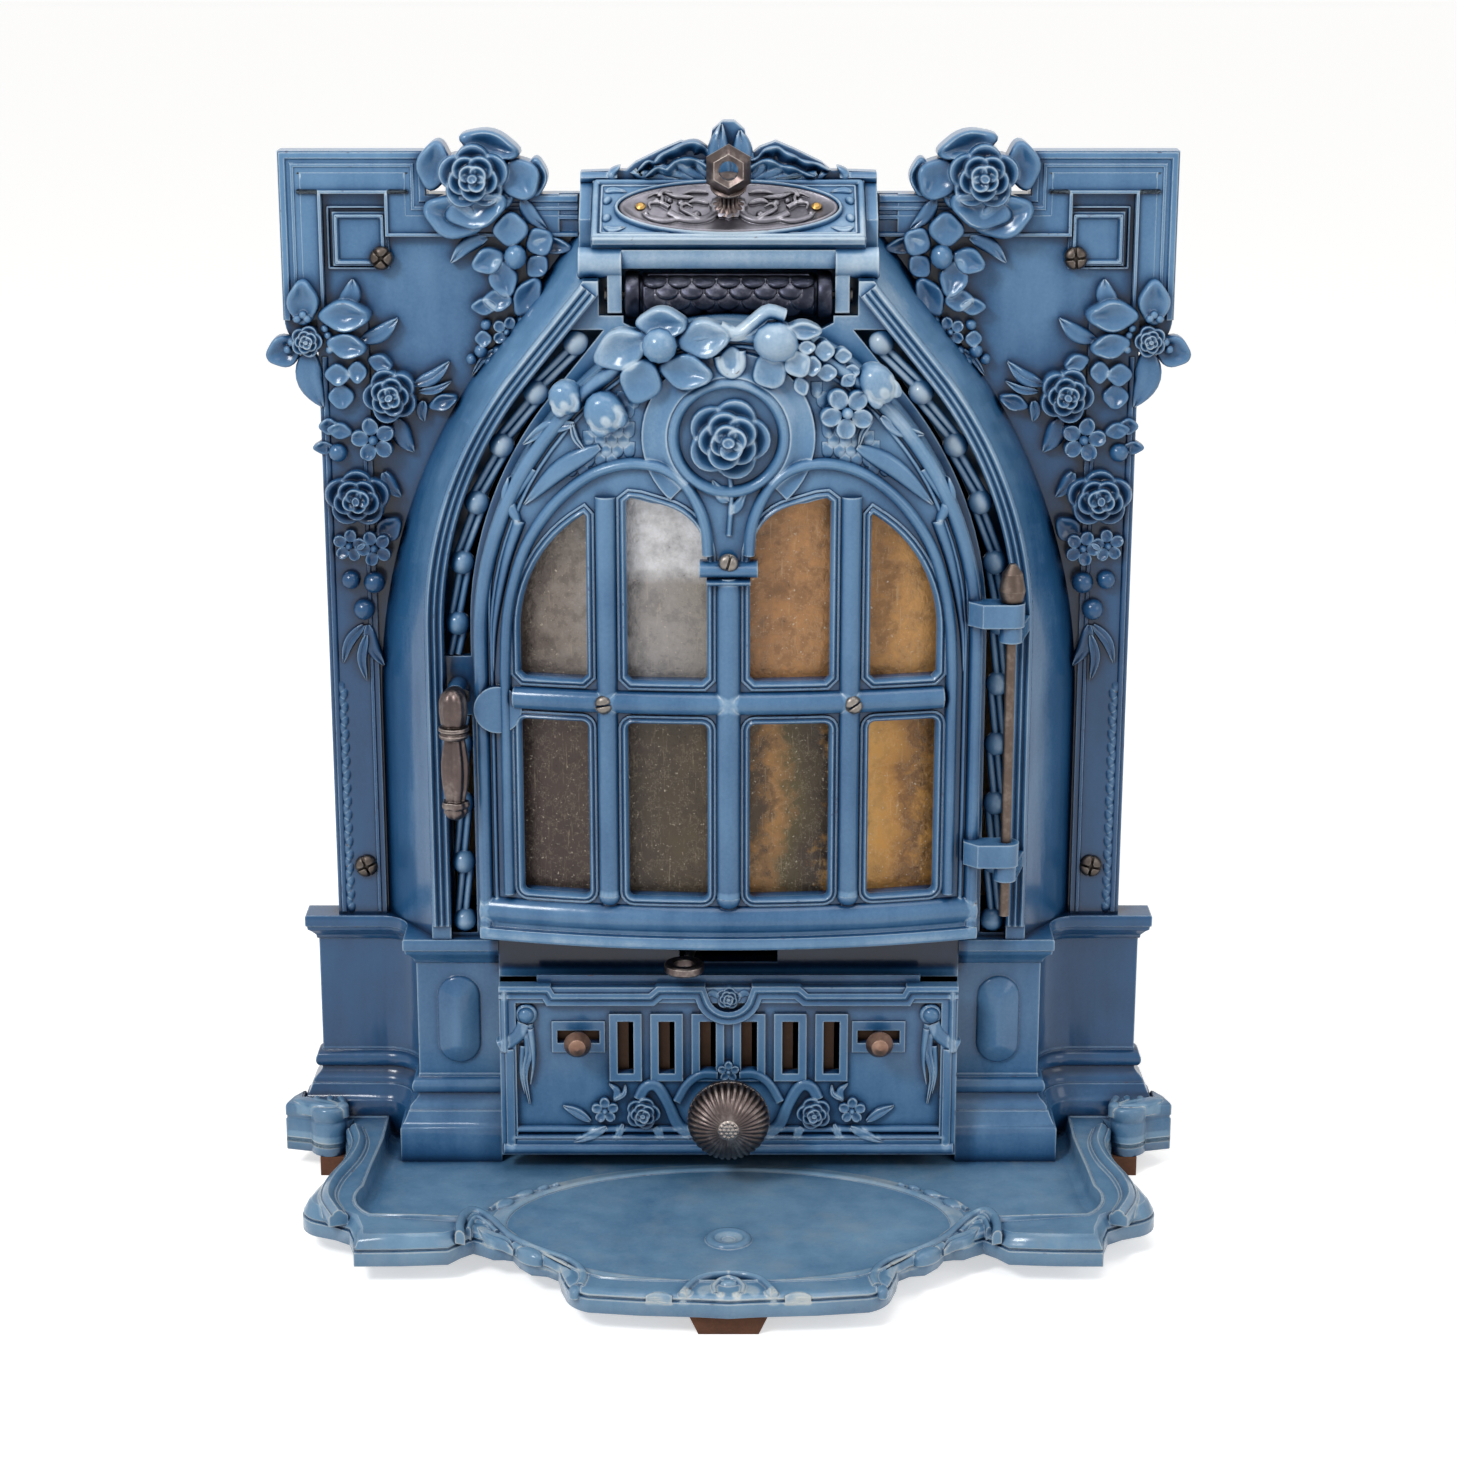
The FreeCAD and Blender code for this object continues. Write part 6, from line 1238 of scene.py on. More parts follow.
@dataclass
class Lid:
    """Lid border, scrolled oval plate, ring-headed knob and the turned roller grip."""

    slope: float = 35.8
    run: float = 59
    plate: float = 3

    def border(self) -> None:
        """Cast the lid's raised border, the oval's rim and the corner leaves."""
        relief = Relief(slope_frame(self.slope, 0, 0), sink=3)
        relief.moulding(rounded(-92.5, 2.5, 92.5, 56.5, 1), roll(2.4, 2.8), closed=True)
        relief.moulding(rounded(-88.5, 6, 88.5, 53.5, 1), roll(1, 1), closed=True)
        relief.moulding(ellipse((0, self.run / 2), 78, 26.4, 48), roll(1.5, 4.2), closed=True)
        for _ in relief.sides():
            for low, high in ((12, 9), (47, 49)):
                relief.blade([(-86, low), (-80, high), (-71, low)], 6, rise=2.4, crease=1)
                relief.cap((-84.5, (low + 29.5) / 2), (4, 3), 60, rise=3)
        relief.moulding([(-94, -0.5), (94, -0.5)], [(-1.5, -3), (-1.5, 1.5), (0, 2.4), (2, 1.2)])
        valance = Relief(wall(93), sink=2)
        valance.moulding([(-74, 694), (74, 694)], [(-6.5, 0), (-6.5, 2), (-4, 3.6), (2, 4.2), (6.5, 3)])
        relief.join(valance)
        relief.make("lid_border", Body.LID, Slot.ENAMEL)

    def scrolls(self) -> None:
        """Cast the leafy scrolls on the oval plate."""
        relief = Relief(slope_frame(self.slope, self.run / 2, self.plate), sink=1.5)
        rims = ((76, 24.8, -2.9), (76, 24.8, -0.4), (75.4, 24.2, 0), (73.6, 22.8, 0.2), (73, 22.4, -0.3))
        plate = [[(x, y, high) for x, y in ellipse((0, 0), a, b, 64)] for a, b, high in rims]
        relief.loft(np.array(plate))
        for _ in relief.sides():
            for path, width, shape in (
                ([(9, 3), (10, -8), (19, -14), (32, -13), (41, -7)], 6, Blade.STEM),
                ([(20, -14), (27, -8), (33, -3), (30, 2), (25, -1)], 4.5, Blade.TAPER),
                ([(33, -13), (45, -15), (56, -11), (60, -6)], 5, Blade.LEAF),
                ([(14, 2), (22, 5), (28, 3)], 4.5, Blade.LEAF), ([(24, 8), (36, 9), (45, 13)], 4,
                                                                 Blade.LEAF),
                ([(41, -2), (48, 3), (55, 2), (54, -3)], 4, Blade.TAPER), ([(49, 9), (45, 14), (39, 13)], 4,
                                                                           Blade.LEAF),
                ([(47, 1), (46, 8), (50, 12), (56, 9)], 3.5, Blade.TAPER), ([(14, 13), (24, 14), (32, 12)],
                                                                            3.5, Blade.LEAF),
            ):
                relief.blade(path, width, rise=2.6, lift=0.6, crease=0.8, shape=shape, steps=12)
            for x, z, size in ((33, 3, 3), (50, 5, 2.6), (22, -8, 3.2), (41, 5, 2.4), (57, -8, 2.2)):
                relief.cap((x, z), (size, size), rise=2.8, rings=4, spokes=10)
        turned(relief, [(13, -1), (13.2, 1.4), (11.4, 2.6), (9.4, 3)], spokes=24, flutes=12, depth=0.12)
        piece = relief.make("scrolled_oval_plate", Body.LID, Slot.PEWTER)
        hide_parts("oval_plate")

    def knob(self) -> None:
        """Make the fluted stem and the faceted ring head with its eye."""
        base = slope_frame(self.slope, self.run / 2, self.plate)
        relief = Relief(base, sink=0)
        turned(relief, [(12, 0), (12, 1.6), (10.6, 3), (7.6, 4.6), (6.4, 8), (6.6, 12), (8, 16),
                        (10.4, 18.4), (12.8, 19.4), (13, 21), (11, 22.6), (7, 23.4)], spokes=48, flutes=12,
               depth=0.24, span=(2, 19))
        # The head is turned, then stood upright: its middle, its eye's radius and its height on the lid
        middle, eye, height = 36.5, 6.6, 34
        rings = []
        for angle in np.radians(np.linspace(0, 360, 61)):
            corner = math.cos(math.pi / 6) / math.cos((angle + math.pi / 6) % (math.pi / 3) - math.pi / 6)
            wide = 17.6 * corner
            rows = [(eye, -6), (wide * 0.66, -8), (wide, -2.6), (wide, 2.6), (wide * 0.8, 6.2),
                    (wide * 0.6, 7), (eye + 2.2, 8), (eye, 6.2)]
            rings.append([(r * math.cos(angle), middle + r * math.sin(angle), t) for r, t in rows])
        rings = np.array(rings)
        tilt, stand = math.radians(self.slope), rings[:, :, 1] - middle
        deep = rings[:, :, 2] * math.cos(tilt) + stand * math.sin(tilt)
        tall = height + stand * math.cos(tilt) - rings[:, :, 2] * math.sin(tilt)
        relief.loft(np.stack([rings[:, :, 0], deep, tall], axis=2), capped=False)
        piece = relief.make("ring_head_knob", Body.LID, Slot.NICKEL)
        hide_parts("lid_knob")

    def roller(self) -> None:
        """Make the roller grip with its collars and the border of its band."""
        def place(p: np.ndarray) -> np.ndarray:
            turn = p[:, 1] / ROLLER_RADIUS
            out = ROLLER_RADIUS + p[:, 2]
            return np.column_stack([p[:, 0], ROLLER_AXIS[0] - out * np.cos(turn), ROLLER_AXIS[1]
                                    + out * np.sin(turn)])

        relief = Relief(place, sink=2)
        turn = np.linspace(0, 2 * math.pi * ROLLER_RADIUS, 49)[:-1]
        half = 71.8
        rows = [(4.2, -half), (15.4, -half), (16.4, 1 - half), (16.4, 9 - half), (15.6, 10 - half),
                (13.6, 10.6 - half), (13.6, 12.4 - half), (14.8, 13 - half), (14.8, half - 13),
                (13.6, half - 12.4), (13.6, half - 10.6), (15.6, half - 10), (16.4, half - 9),
                (16.4, half - 1), (15.4, half), (4.2, half)]
        rings = np.array([[(x, t, radius - ROLLER_RADIUS) for t in turn] for radius, x in rows])
        relief.loft(np.vstack([rings, rings[:1]]), capped=False)
        low, high, end = -6.5, 18.5, 56.0
        path = [(-end, low + 5), (-end, high), (end, high), (end, low + 5), (end - 5, low), (5 - end, low)]
        relief.moulding(path, roll(0.9, 1.5), closed=True)
        piece = relief.make("roller_grip_turned", Body.ROLLER, Slot.NICKEL)
        piece.material_slots[0].material = SOOTED_NICKEL
        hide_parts("roller_grip")

    def build(self) -> None:
        """Build the lid's pieces."""
        self.border()
        self.scrolls()
        self.knob()
        self.roller()


@dataclass
class Crest:
    """Ruffled shell crest behind the lid."""

    face: float = 44

    def build(self) -> None:
        """Build the ruffled crest and the rails beside it."""
        relief = Relief(wall(self.face), sink=10)
        ruffles = (
            [(-64, 748), (-57, 754), (-51.5, 753.5), (-46.6, 758), (-39.6, 761.5), (-32.6, 765),
             (-24.1, 767), (-18.6, 765), (-12.3, 760.5), (-6, 759)], [(14, 756), (20.7, 757), (26.3, 762),
                                                                      (33.3, 763.4), (38.9, 760),
                                                                      (45.9, 757), (50.8, 754.4),
                                                                      (57.8, 753), (63.5, 752), (70.5, 749)],
            [(-58, 745), (-50, 750), (-43, 749), (-36, 754), (-28, 756), (-20, 754), (-12, 750)],
            [(12, 749), (20, 753), (28, 755), (36, 751), (44, 750), (52, 747), (60, 745)],
        )
        for order, path in enumerate(ruffles):
            line = smooth_path(path, 60)
            steps = np.linspace(0, 1, 60)
            across = mitres(line, False)
            wave = np.sin(steps * math.pi * (9 if order < 2 else 7))
            rings = []
            for share, high in ((1.0, -10), (1.0, 4.5), (0.7, 6.6), (0.2, 6.2), (-0.5, 3), (-1.6, 1),
                                (-3.4, -2), (-3.4, -10)):
                out = np.full(60, float(high))
                if high > -10:
                    out += (order // 2) * 3.5 + (1.6 * wave if high > 0 else 0)
                wide = share * 3.2 * np.sin(math.pi * (steps * 0.96 + 0.02)) ** 0.4
                rings.append(np.column_stack([line + across * wide[:, None], out]))
            relief.loft(np.array(rings).transpose(1, 0, 2))
        for x, z, a, turn in ((-46, 750, 13, 122), (-32, 752, 17, 108), (-19, 752, 17, 96),
                              (22, 750, 15, 82), (34, 749, 15, 66),
                              (48, 746, 11, 52), (-60, 746, 8, 140), (61, 745, 7, 40)):
            way = math.radians(turn)
            relief.blade([(x * 0.55, 742), (x, z), (x + 0.3 * a * math.cos(way), z
                                                    + 0.3 * a * math.sin(way))], 9, rise=5.5, lift=2,
                         shape=Blade.STEM, crease=1, steps=12)
        relief.blade([(-1, 742), (-7, 760), (-5, 781.5)], 17, rise=7, lift=4, crease=3, steps=16)
        relief.blade([(2, 742), (9, 760), (8, 777)], 17, rise=6, lift=2, crease=2.5, steps=14)
        relief.blade([(5, 744), (13, 756), (14.5, 764)], 12, rise=5, lift=1, crease=2, steps=12)
        for _ in relief.sides():
            relief.moulding([(-104, 744.5), (-78, 744.5)], [(3.5, 0), (3, 4), (0, 6), (-3, 5), (-4.5, 2),
                                                            (-5, 0)])
            relief.blade([(-80, 740), (-82, 746), (-76, 752)], 7, rise=5, lift=2)
        relief.make("shell_crest", Body.STOVE, Slot.ENAMEL)


@dataclass
class Handles:
    """Latch handle and drawer knob, each about its own axis."""

    latch_axis: Point = (-194.0, -143.0)
    knob_height: float = 77
    knob_front: float = 127

    def latch(self) -> None:
        """Make the leaf-wrapped latch handle."""
        axis_x, axis_y = self.latch_axis
        relief = Relief(lambda p: np.column_stack([axis_x + p[:, 0], axis_y + p[:, 1], p[:, 2]]))
        turned(relief, [(0.6, 399), (5, 398), (8.4, 395), (10, 390), (10.2, 382), (9.2, 374), (8, 371.4)],
               spokes=48, flutes=6, depth=0.12)
        turned(relief, [(8, 372), (10.6, 371), (11, 369), (9.6, 367.6), (9.4, 367), (10.6, 365.6),
                        (10.2, 363.4), (8, 362)], spokes=48)
        turned(relief, [(7.6, 363), (8.8, 356), (10.2, 346), (10.4, 338), (9.6, 328), (8, 320), (6.8, 315)],
               spokes=60, flutes=5, depth=0.2)
        turned(relief, [(6.6, 317), (9.6, 316), (10.4, 313.6), (9.6, 311.4), (8.6, 310.8), (9, 308.6),
                        (6.6, 304.6), (3, 302.4), (0.5, 302)], spokes=60, flutes=5, depth=0.16)
        hub = Relief(lambda p: np.column_stack([axis_x + p[:, 0], -128 - p[:, 2], 388 + p[:, 1]]))
        turned(hub, [(8.8, 0.2), (8.8, 9), (7.8, 11), (7.8, 16)], spokes=32)
        relief.join(hub)
        piece = relief.make("leaf_wrapped_handle", Body.LATCH, Slot.NICKEL)
        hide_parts("latch_handle")

    def drawer_knob(self) -> None:
        """Make the radially fluted drawer knob with the cluster at its middle."""
        relief = Relief(lambda p: np.column_stack([p[:, 0], -self.knob_front - p[:, 2], self.knob_height
                                                   + p[:, 1]]))
        turned(relief, [(4, 0.5), (14.6, 0.5), (14.6, 3), (11, 5), (9.6, 9), (10.4, 14), (17, 18),
                        (25.6, 21), (28.6, 23.6), (29.8, 27), (30, 31)], spokes=64)
        turned(relief, [(30, 30.8), (29.6, 34.6), (28, 38.6), (25, 42), (20.6, 45.4), (15, 48), (9.6, 49.4),
                        (7, 49.7)], spokes=288, flutes=36, depth=0.075)
        turned(relief, [(7.4, 49), (7, 49.8), (4, 50.4), (0.4, 50.6)], spokes=24)
        for count, radius, size in ((1, 0, 1.5), (6, 3, 1.4), (12, 5.8, 1.3)):
            for index in range(count):
                turn = 2 * math.pi * index / count
                relief.sink = -48
                relief.cap((radius * math.cos(turn), radius * math.sin(turn)), (size, size), rise=1.2,
                           lift=49.6, rings=4, spokes=10)
        piece = relief.make("fluted_drawer_knob", Body.DRAWER, Slot.NICKEL)
        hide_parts("drawer_knob")

    def build(self) -> None:
        """Build the handles."""
        self.latch()
        self.drawer_knob()


@dataclass
class BaseCasting:
    """Side plinth and block with smooth skirt, torus and cornice, and its cabochon."""

    side: float = 308
    front: float = 45
    block_side: float = 230
    block_front: float = 97
    inner: float = 168.7
    back: float = 30
    cove: float = 30

    def plan(self, flare: float) -> list[Point]:
        """Plan of the left casting with its faces moved out by flare."""
        cove = self.cove - flare
        corner = arc((-self.block_side - self.cove, -self.front - self.cove), cove, 90, 0, 8)
        return ([(-self.side - flare, -self.back), (-self.side - flare, -self.front - flare)] + corner
                + [(-self.block_side - flare, -self.block_front - flare), (-self.inner, -self.block_front
                                                                           - flare),
                   (-self.inner, -self.back)])

    def profile(self) -> list[Point]:
        """Flare and height up the casting."""
        torus = [(0.8 + 4.6 * math.cos(a), 79.5 + 6 * math.sin(a)) for a in np.radians(np.linspace(-80, 80,
                                                                                                   9))]
        return ([(13.6, 23), (14, 24), (14, 49.5), (13.4, 50.6), (12.6, 51), (11.2, 54), (9.4, 58),
                 (8.4, 60.6), (8.2, 61.6), (7.2, 62), (7, 64.6), (5.4, 66.6), (2.6, 69), (1, 71.4),
                 (0.8, 73)] + torus + [(0.5, 86), (0.5, 88), (0, 88.4), (0, 176), (1.4, 177), (1.8, 179.6),
                                       (3, 181), (5.2, 183.6), (7.4, 185.4), (7.8, 188), (8.8, 188.6),
                                       (9, 190), (9, 196), (8.4, 197)])

    def build(self) -> None:
        """Build both castings."""
        rings = np.array([[(x, y, z) for x, y in self.plan(flare)] for flare, z in self.profile()])
        for side, flip in (("left", 1), ("right", -1)):
            relief = Relief(lambda p: p)
            relief.flip = flip
            relief.loft(rings)
            relief.surface = wall(self.block_front)
            middle, height, radius, straight = -(self.block_side + self.inner) / 2, 132, 15.5, 18.5
            shells = []
            for share, high in ((1.0, -4), (1.0, 1.2), (0.94, 2.4), (0.9, 2.7), (0.6, 5.2), (0.3, 7.4),
                                (0.12, 8.4), (0.03, 8.6)):
                shape = (arc((middle, height + straight), radius * share, 0, 180, 12)
                         + arc((middle, height - straight), radius * share, 180, 360, 12))
                shells.append([(x, z, high) for x, z in shape])
            relief.loft(np.array(shells))
            piece = relief.make(f"plinth_casting_{side}", Body.STOVE, Slot.ENAMEL)
            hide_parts(f"base_{side}")


def repeat_shape(name: str, unit: tuple[np.ndarray, list[list[int]]], sites: Sequence[Sequence[float]],
                 turns: Sequence[Sequence[float]], body: Body, slot: Slot,
                 finish: Material | None = None, scale: float = 1.0) -> Object:
    """Repeat one small shape at many sites with Geometry Nodes.

    Args:
        name: Name of the piece.
        unit: Points in millimetres and faces of the shape.
        sites: Place of each copy in millimetres.
        turns: Euler angles of each copy.
        body: Body that carries the piece.
        slot: Slot that it takes its finish from.
        finish: Material in place of the slot's own.
        scale: Scale of every copy.

    Returns:
        The new object.
    """
    shape = bpy.data.meshes.new(name + "_unit")
    shape.from_pydata((unit[0] * MM).tolist(), [], unit[1])
    stamp = bpy.data.objects.new(name + "_unit", shape)
    cloud = bpy.data.meshes.new(name + "_sites")
    cloud.from_pydata((np.array(sites) * MM).tolist(), [], [])
    turn = cloud.attributes.new("turn", "FLOAT_VECTOR", "POINT")
    turn.data.foreach_set("vector", np.asarray(turns, np.float32).ravel())
    tree = bpy.data.node_groups.new(name + "_repeat", "GeometryNodeTree")
    face = tree.interface
    face.new_socket("Geometry", in_out="INPUT", socket_type="NodeSocketGeometry")
    size = face.new_socket("Size", in_out="INPUT", socket_type="NodeSocketFloat")
    face.new_socket("Geometry", in_out="OUTPUT", socket_type="NodeSocketGeometry")
    add = partial(add_node, tree)
    start = tree.nodes.new("NodeGroupInput")
    copies = add("GeometryNodeInstanceOnPoints",
                 {"Points": start.outputs[0], "Instance": add("GeometryNodeObjectInfo", {"Object": stamp},
                                                              output="Geometry"),
                  "Rotation": add("GeometryNodeInputNamedAttribute", {"Name": "turn"},
                                  {"data_type": "FLOAT_VECTOR"}), "Scale": start.outputs[1]})
    real = add("GeometryNodeRealizeInstances", {0: copies})
    paint = add("GeometryNodeSetMaterial", {"Geometry": real, "Material": finish or MATERIALS[slot]})
    tree.links.new(paint, tree.nodes.new("NodeGroupOutput").inputs[0])
    maker = bpy.data.objects.new(name + "_maker", cloud)
    bpy.context.scene.collection.objects.link(maker)
    grown = maker.modifiers.new("repeat", "NODES")
    grown.node_group = tree
    grown[size.identifier] = scale
    ready = maker.evaluated_get(bpy.context.evaluated_depsgraph_get())
    mesh = bpy.data.meshes.new_from_object(ready)
    mesh.name = name
    mesh.shade_smooth()
    maker.modifiers.remove(grown)
    for spare in (maker, stamp):
        bpy.data.objects.remove(spare)
    piece = bpy.data.objects.new(name, mesh)
    bpy.context.scene.collection.objects.link(piece)
    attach(piece, body.value)
    log.info("%s: %d copies", name, len(sites))
    return piece


def scale_unit(half: float, long: float, thick: float, spokes: int = 9) -> tuple[np.ndarray,
                                                                                 list[list[int]]]:
    """One overlapping scale: a rounded tongue in X and Y that is thickest at its tip, along -Y.

    Args:
        half: Half width.
        long: Length.
        thick: Thickness at the tip.
        spokes: Points round the tip.

    Returns:
        Points in millimetres and faces.
    """
    rim = [(half * math.cos(t), -long * 0.35 + long * 0.65 * math.sin(t)) for t in np.linspace(0, -math.pi,
                                                                                               spokes)]
    rim += [(-half, long * 0.5), (half, long * 0.5)]
    points = [(0, -long * 0.1, thick)] + [(x * 0.8, y * 0.84, thick * 0.85 if y < 0 else 0.2) for x,
                                          y in rim]
    points += [(x, y, 0.15) for x, y in rim] + [(x, y, -thick) for x, y in rim]
    count = len(rim)
    faces = [[0, 1 + i, 1 + (i + 1) % count] for i in range(count)]
    for level in (0, 1):
        base = 1 + level * count
        faces += [[base + i, base + count + i, base + count + (i + 1) % count, base + (i + 1) % count]
                  for i in range(count)]
    faces.append([1 + 2 * count + i for i in reversed(range(count))])
    return np.array(points, float), faces


def slotted_head(radius: float, high: float, parts: int, gap: float = 0.9) -> tuple[np.ndarray,
                                                                                    list[list[int]]]:
    """Screw head, domed along Z, cut by one slot or by a cross.

    Args:
        radius: Radius of the head.
        high: Height of the dome.
        parts: Two for a slot, four for a cross.
        gap: Half width of the slot.

    Returns:
        Points in millimetres and faces.
    """
    points: list[tuple[float, float, float]] = []
    faces: list[list[int]] = []
    for part in range(parts):
        turns = np.radians(np.linspace(0, 360 / parts, 9) + 360 / parts * part + 40)
        middle = turns.mean()
        corner = gap / math.sin(math.pi / parts)
        hub = np.array([math.cos(middle), math.sin(middle)]) * corner
        start = len(points)
        levels = ((1.0, -1.5), (1.0, high * 0.3), (0.86, high * 0.72), (0.6, high * 0.94), (0.3, high))
        for share, level in levels:
            points.append((*hub, level))
            for turn in turns:
                spot = hub + np.array([math.cos(turn), math.sin(turn)]) * (radius * share - gap)
                points.append((*spot, level))
        size = len(turns) + 1
        for row in range(len(levels) - 1):
            low = start + row * size
            faces += [[low + i, low + (i + 1) % size, low + size + (i + 1) % size, low + size + i]
                      for i in range(size)]
        faces.append([start + (len(levels) - 1) * size + i for i in range(size)])
    start = len(points)
    for level in (-1.5, high * 0.34):
        points += [(radius * 0.93 * math.cos(t), radius * 0.93 * math.sin(t), level)
                   for t in np.linspace(0, 2 * math.pi, 17)[:-1]]
    faces += [[start + i, start + (i + 1) % 16, start + 16 + (i + 1) % 16, start + 16 + i]
              for i in range(16)]
    faces.append([start + 16 + i for i in range(16)])
    return np.array(points, float), faces


@dataclass
class Screws:
    """Round-head screws of the front and the door."""

    def build(self) -> None:
        """Set the cross-slotted front screws and the slotted door screws."""
        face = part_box("facade_screws")[0].y / MM + 4.4
        front = [(side * x, face, z) for side in (-1, 1) for x, z in ((245, 688), (270, 235))]
        turns = [(math.pi / 2, 0.3 * i, 0) for i in range(4)]
        piece = repeat_shape("cross_slotted_screws", slotted_head(8, 4.4, 4), front, turns, Body.STOVE,
                             Slot.STEEL, OLD_SCREW)
        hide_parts("facade_screws")
        places = bow(np.array([(-87, 390, 5.0), (87, 390, 5.0), (0, 494, 7.0)]))
        turns = [(math.pi / 2, 0.5, -0.13), (math.pi / 2, 0.1, 0.13), (math.pi / 2, -0.6, 0)]
        piece = repeat_shape("slotted_door_screws", slotted_head(6.8, 4.4, 2, 0.8), places, turns, Body.DOOR,
                             Slot.STEEL)
        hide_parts("door_screws")


@dataclass
class Textures:
    """Small cast patterns that repeat: roller scales, door scales and the pilasters' bead bands."""

    def roller_scales(self) -> None:
        """Lay rows of overlapping scales on the roller grip's band."""
        first, pitch, end, radius = -51, 17, 53, 14.7
        sites, turns = [], []
        for row, along in enumerate((16.5, 9.5, 2.5, -3.0)):
            turn = along / ROLLER_RADIUS
            for index in range(7):
                x = first + pitch * index + (pitch / 2 if row % 2 else 0)
                if x < end:
                    sites.append((x, ROLLER_AXIS[0] - radius * math.cos(turn), ROLLER_AXIS[1]
                                  + radius * math.sin(turn)))
                    turns.append((math.pi / 2 - turn, 0, 0))
        repeat_shape("roller_scales", scale_unit(8.6, 11, 1.5), sites, turns, Body.ROLLER, Slot.NICKEL,
                     SOOTED_NICKEL)

    def door_scales(self) -> None:
        """Lay fish scales behind the door's bouquet."""
        ring_edge, arch_edge, crown_edge, half = 66, 130, 116, 118
        foot, rise, pitch = 552, 7, 8
        sites, turns = [], []
        for row in range(10):
            z = foot + row * rise
            for index in range(-16, 17):
                x = index * pitch + (pitch / 2 if row % 2 else 0)
                ring, crown = math.dist((x, z), MEDALLION), math.dist((x, z), CROWN)
                arch = math.dist((abs(x), z), PANE_ARCH)
                if ring > ring_edge and arch > arch_edge and crown < crown_edge and abs(x) < half:
                    sites.append(tuple(bow(np.array([(x, z, 0.0)]))[0]))
                    turns.append((math.pi / 2, 0, math.asin(x / BOW_RADIUS)))
        repeat_shape("door_scales", scale_unit(4.2, 8, 1.3, 7), sites, turns, Body.DOOR, Slot.ENAMEL)

    def bead_bands(self) -> None:
        """Run a band of small beads down each pilaster."""
        middle, sway, front, foot, pitch, rows = 283.5, 1.1, -46.5, 205, 5.2, 34
        sites = [(side * (middle + (sway if row % 2 else -sway)), front, foot + row * pitch)
                 for side in (-1, 1) for row in range(rows)]
        turns = [(math.pi / 2, 0, 0)] * len(sites)
        repeat_shape("pilaster_bead_bands", scale_unit(3.6, 8.4, 2.6), sites, turns, Body.STOVE, Slot.ENAMEL)

    def build(self) -> None:
        """Build the repeated patterns."""
        self.roller_scales()
        self.door_scales()
        self.bead_bands()


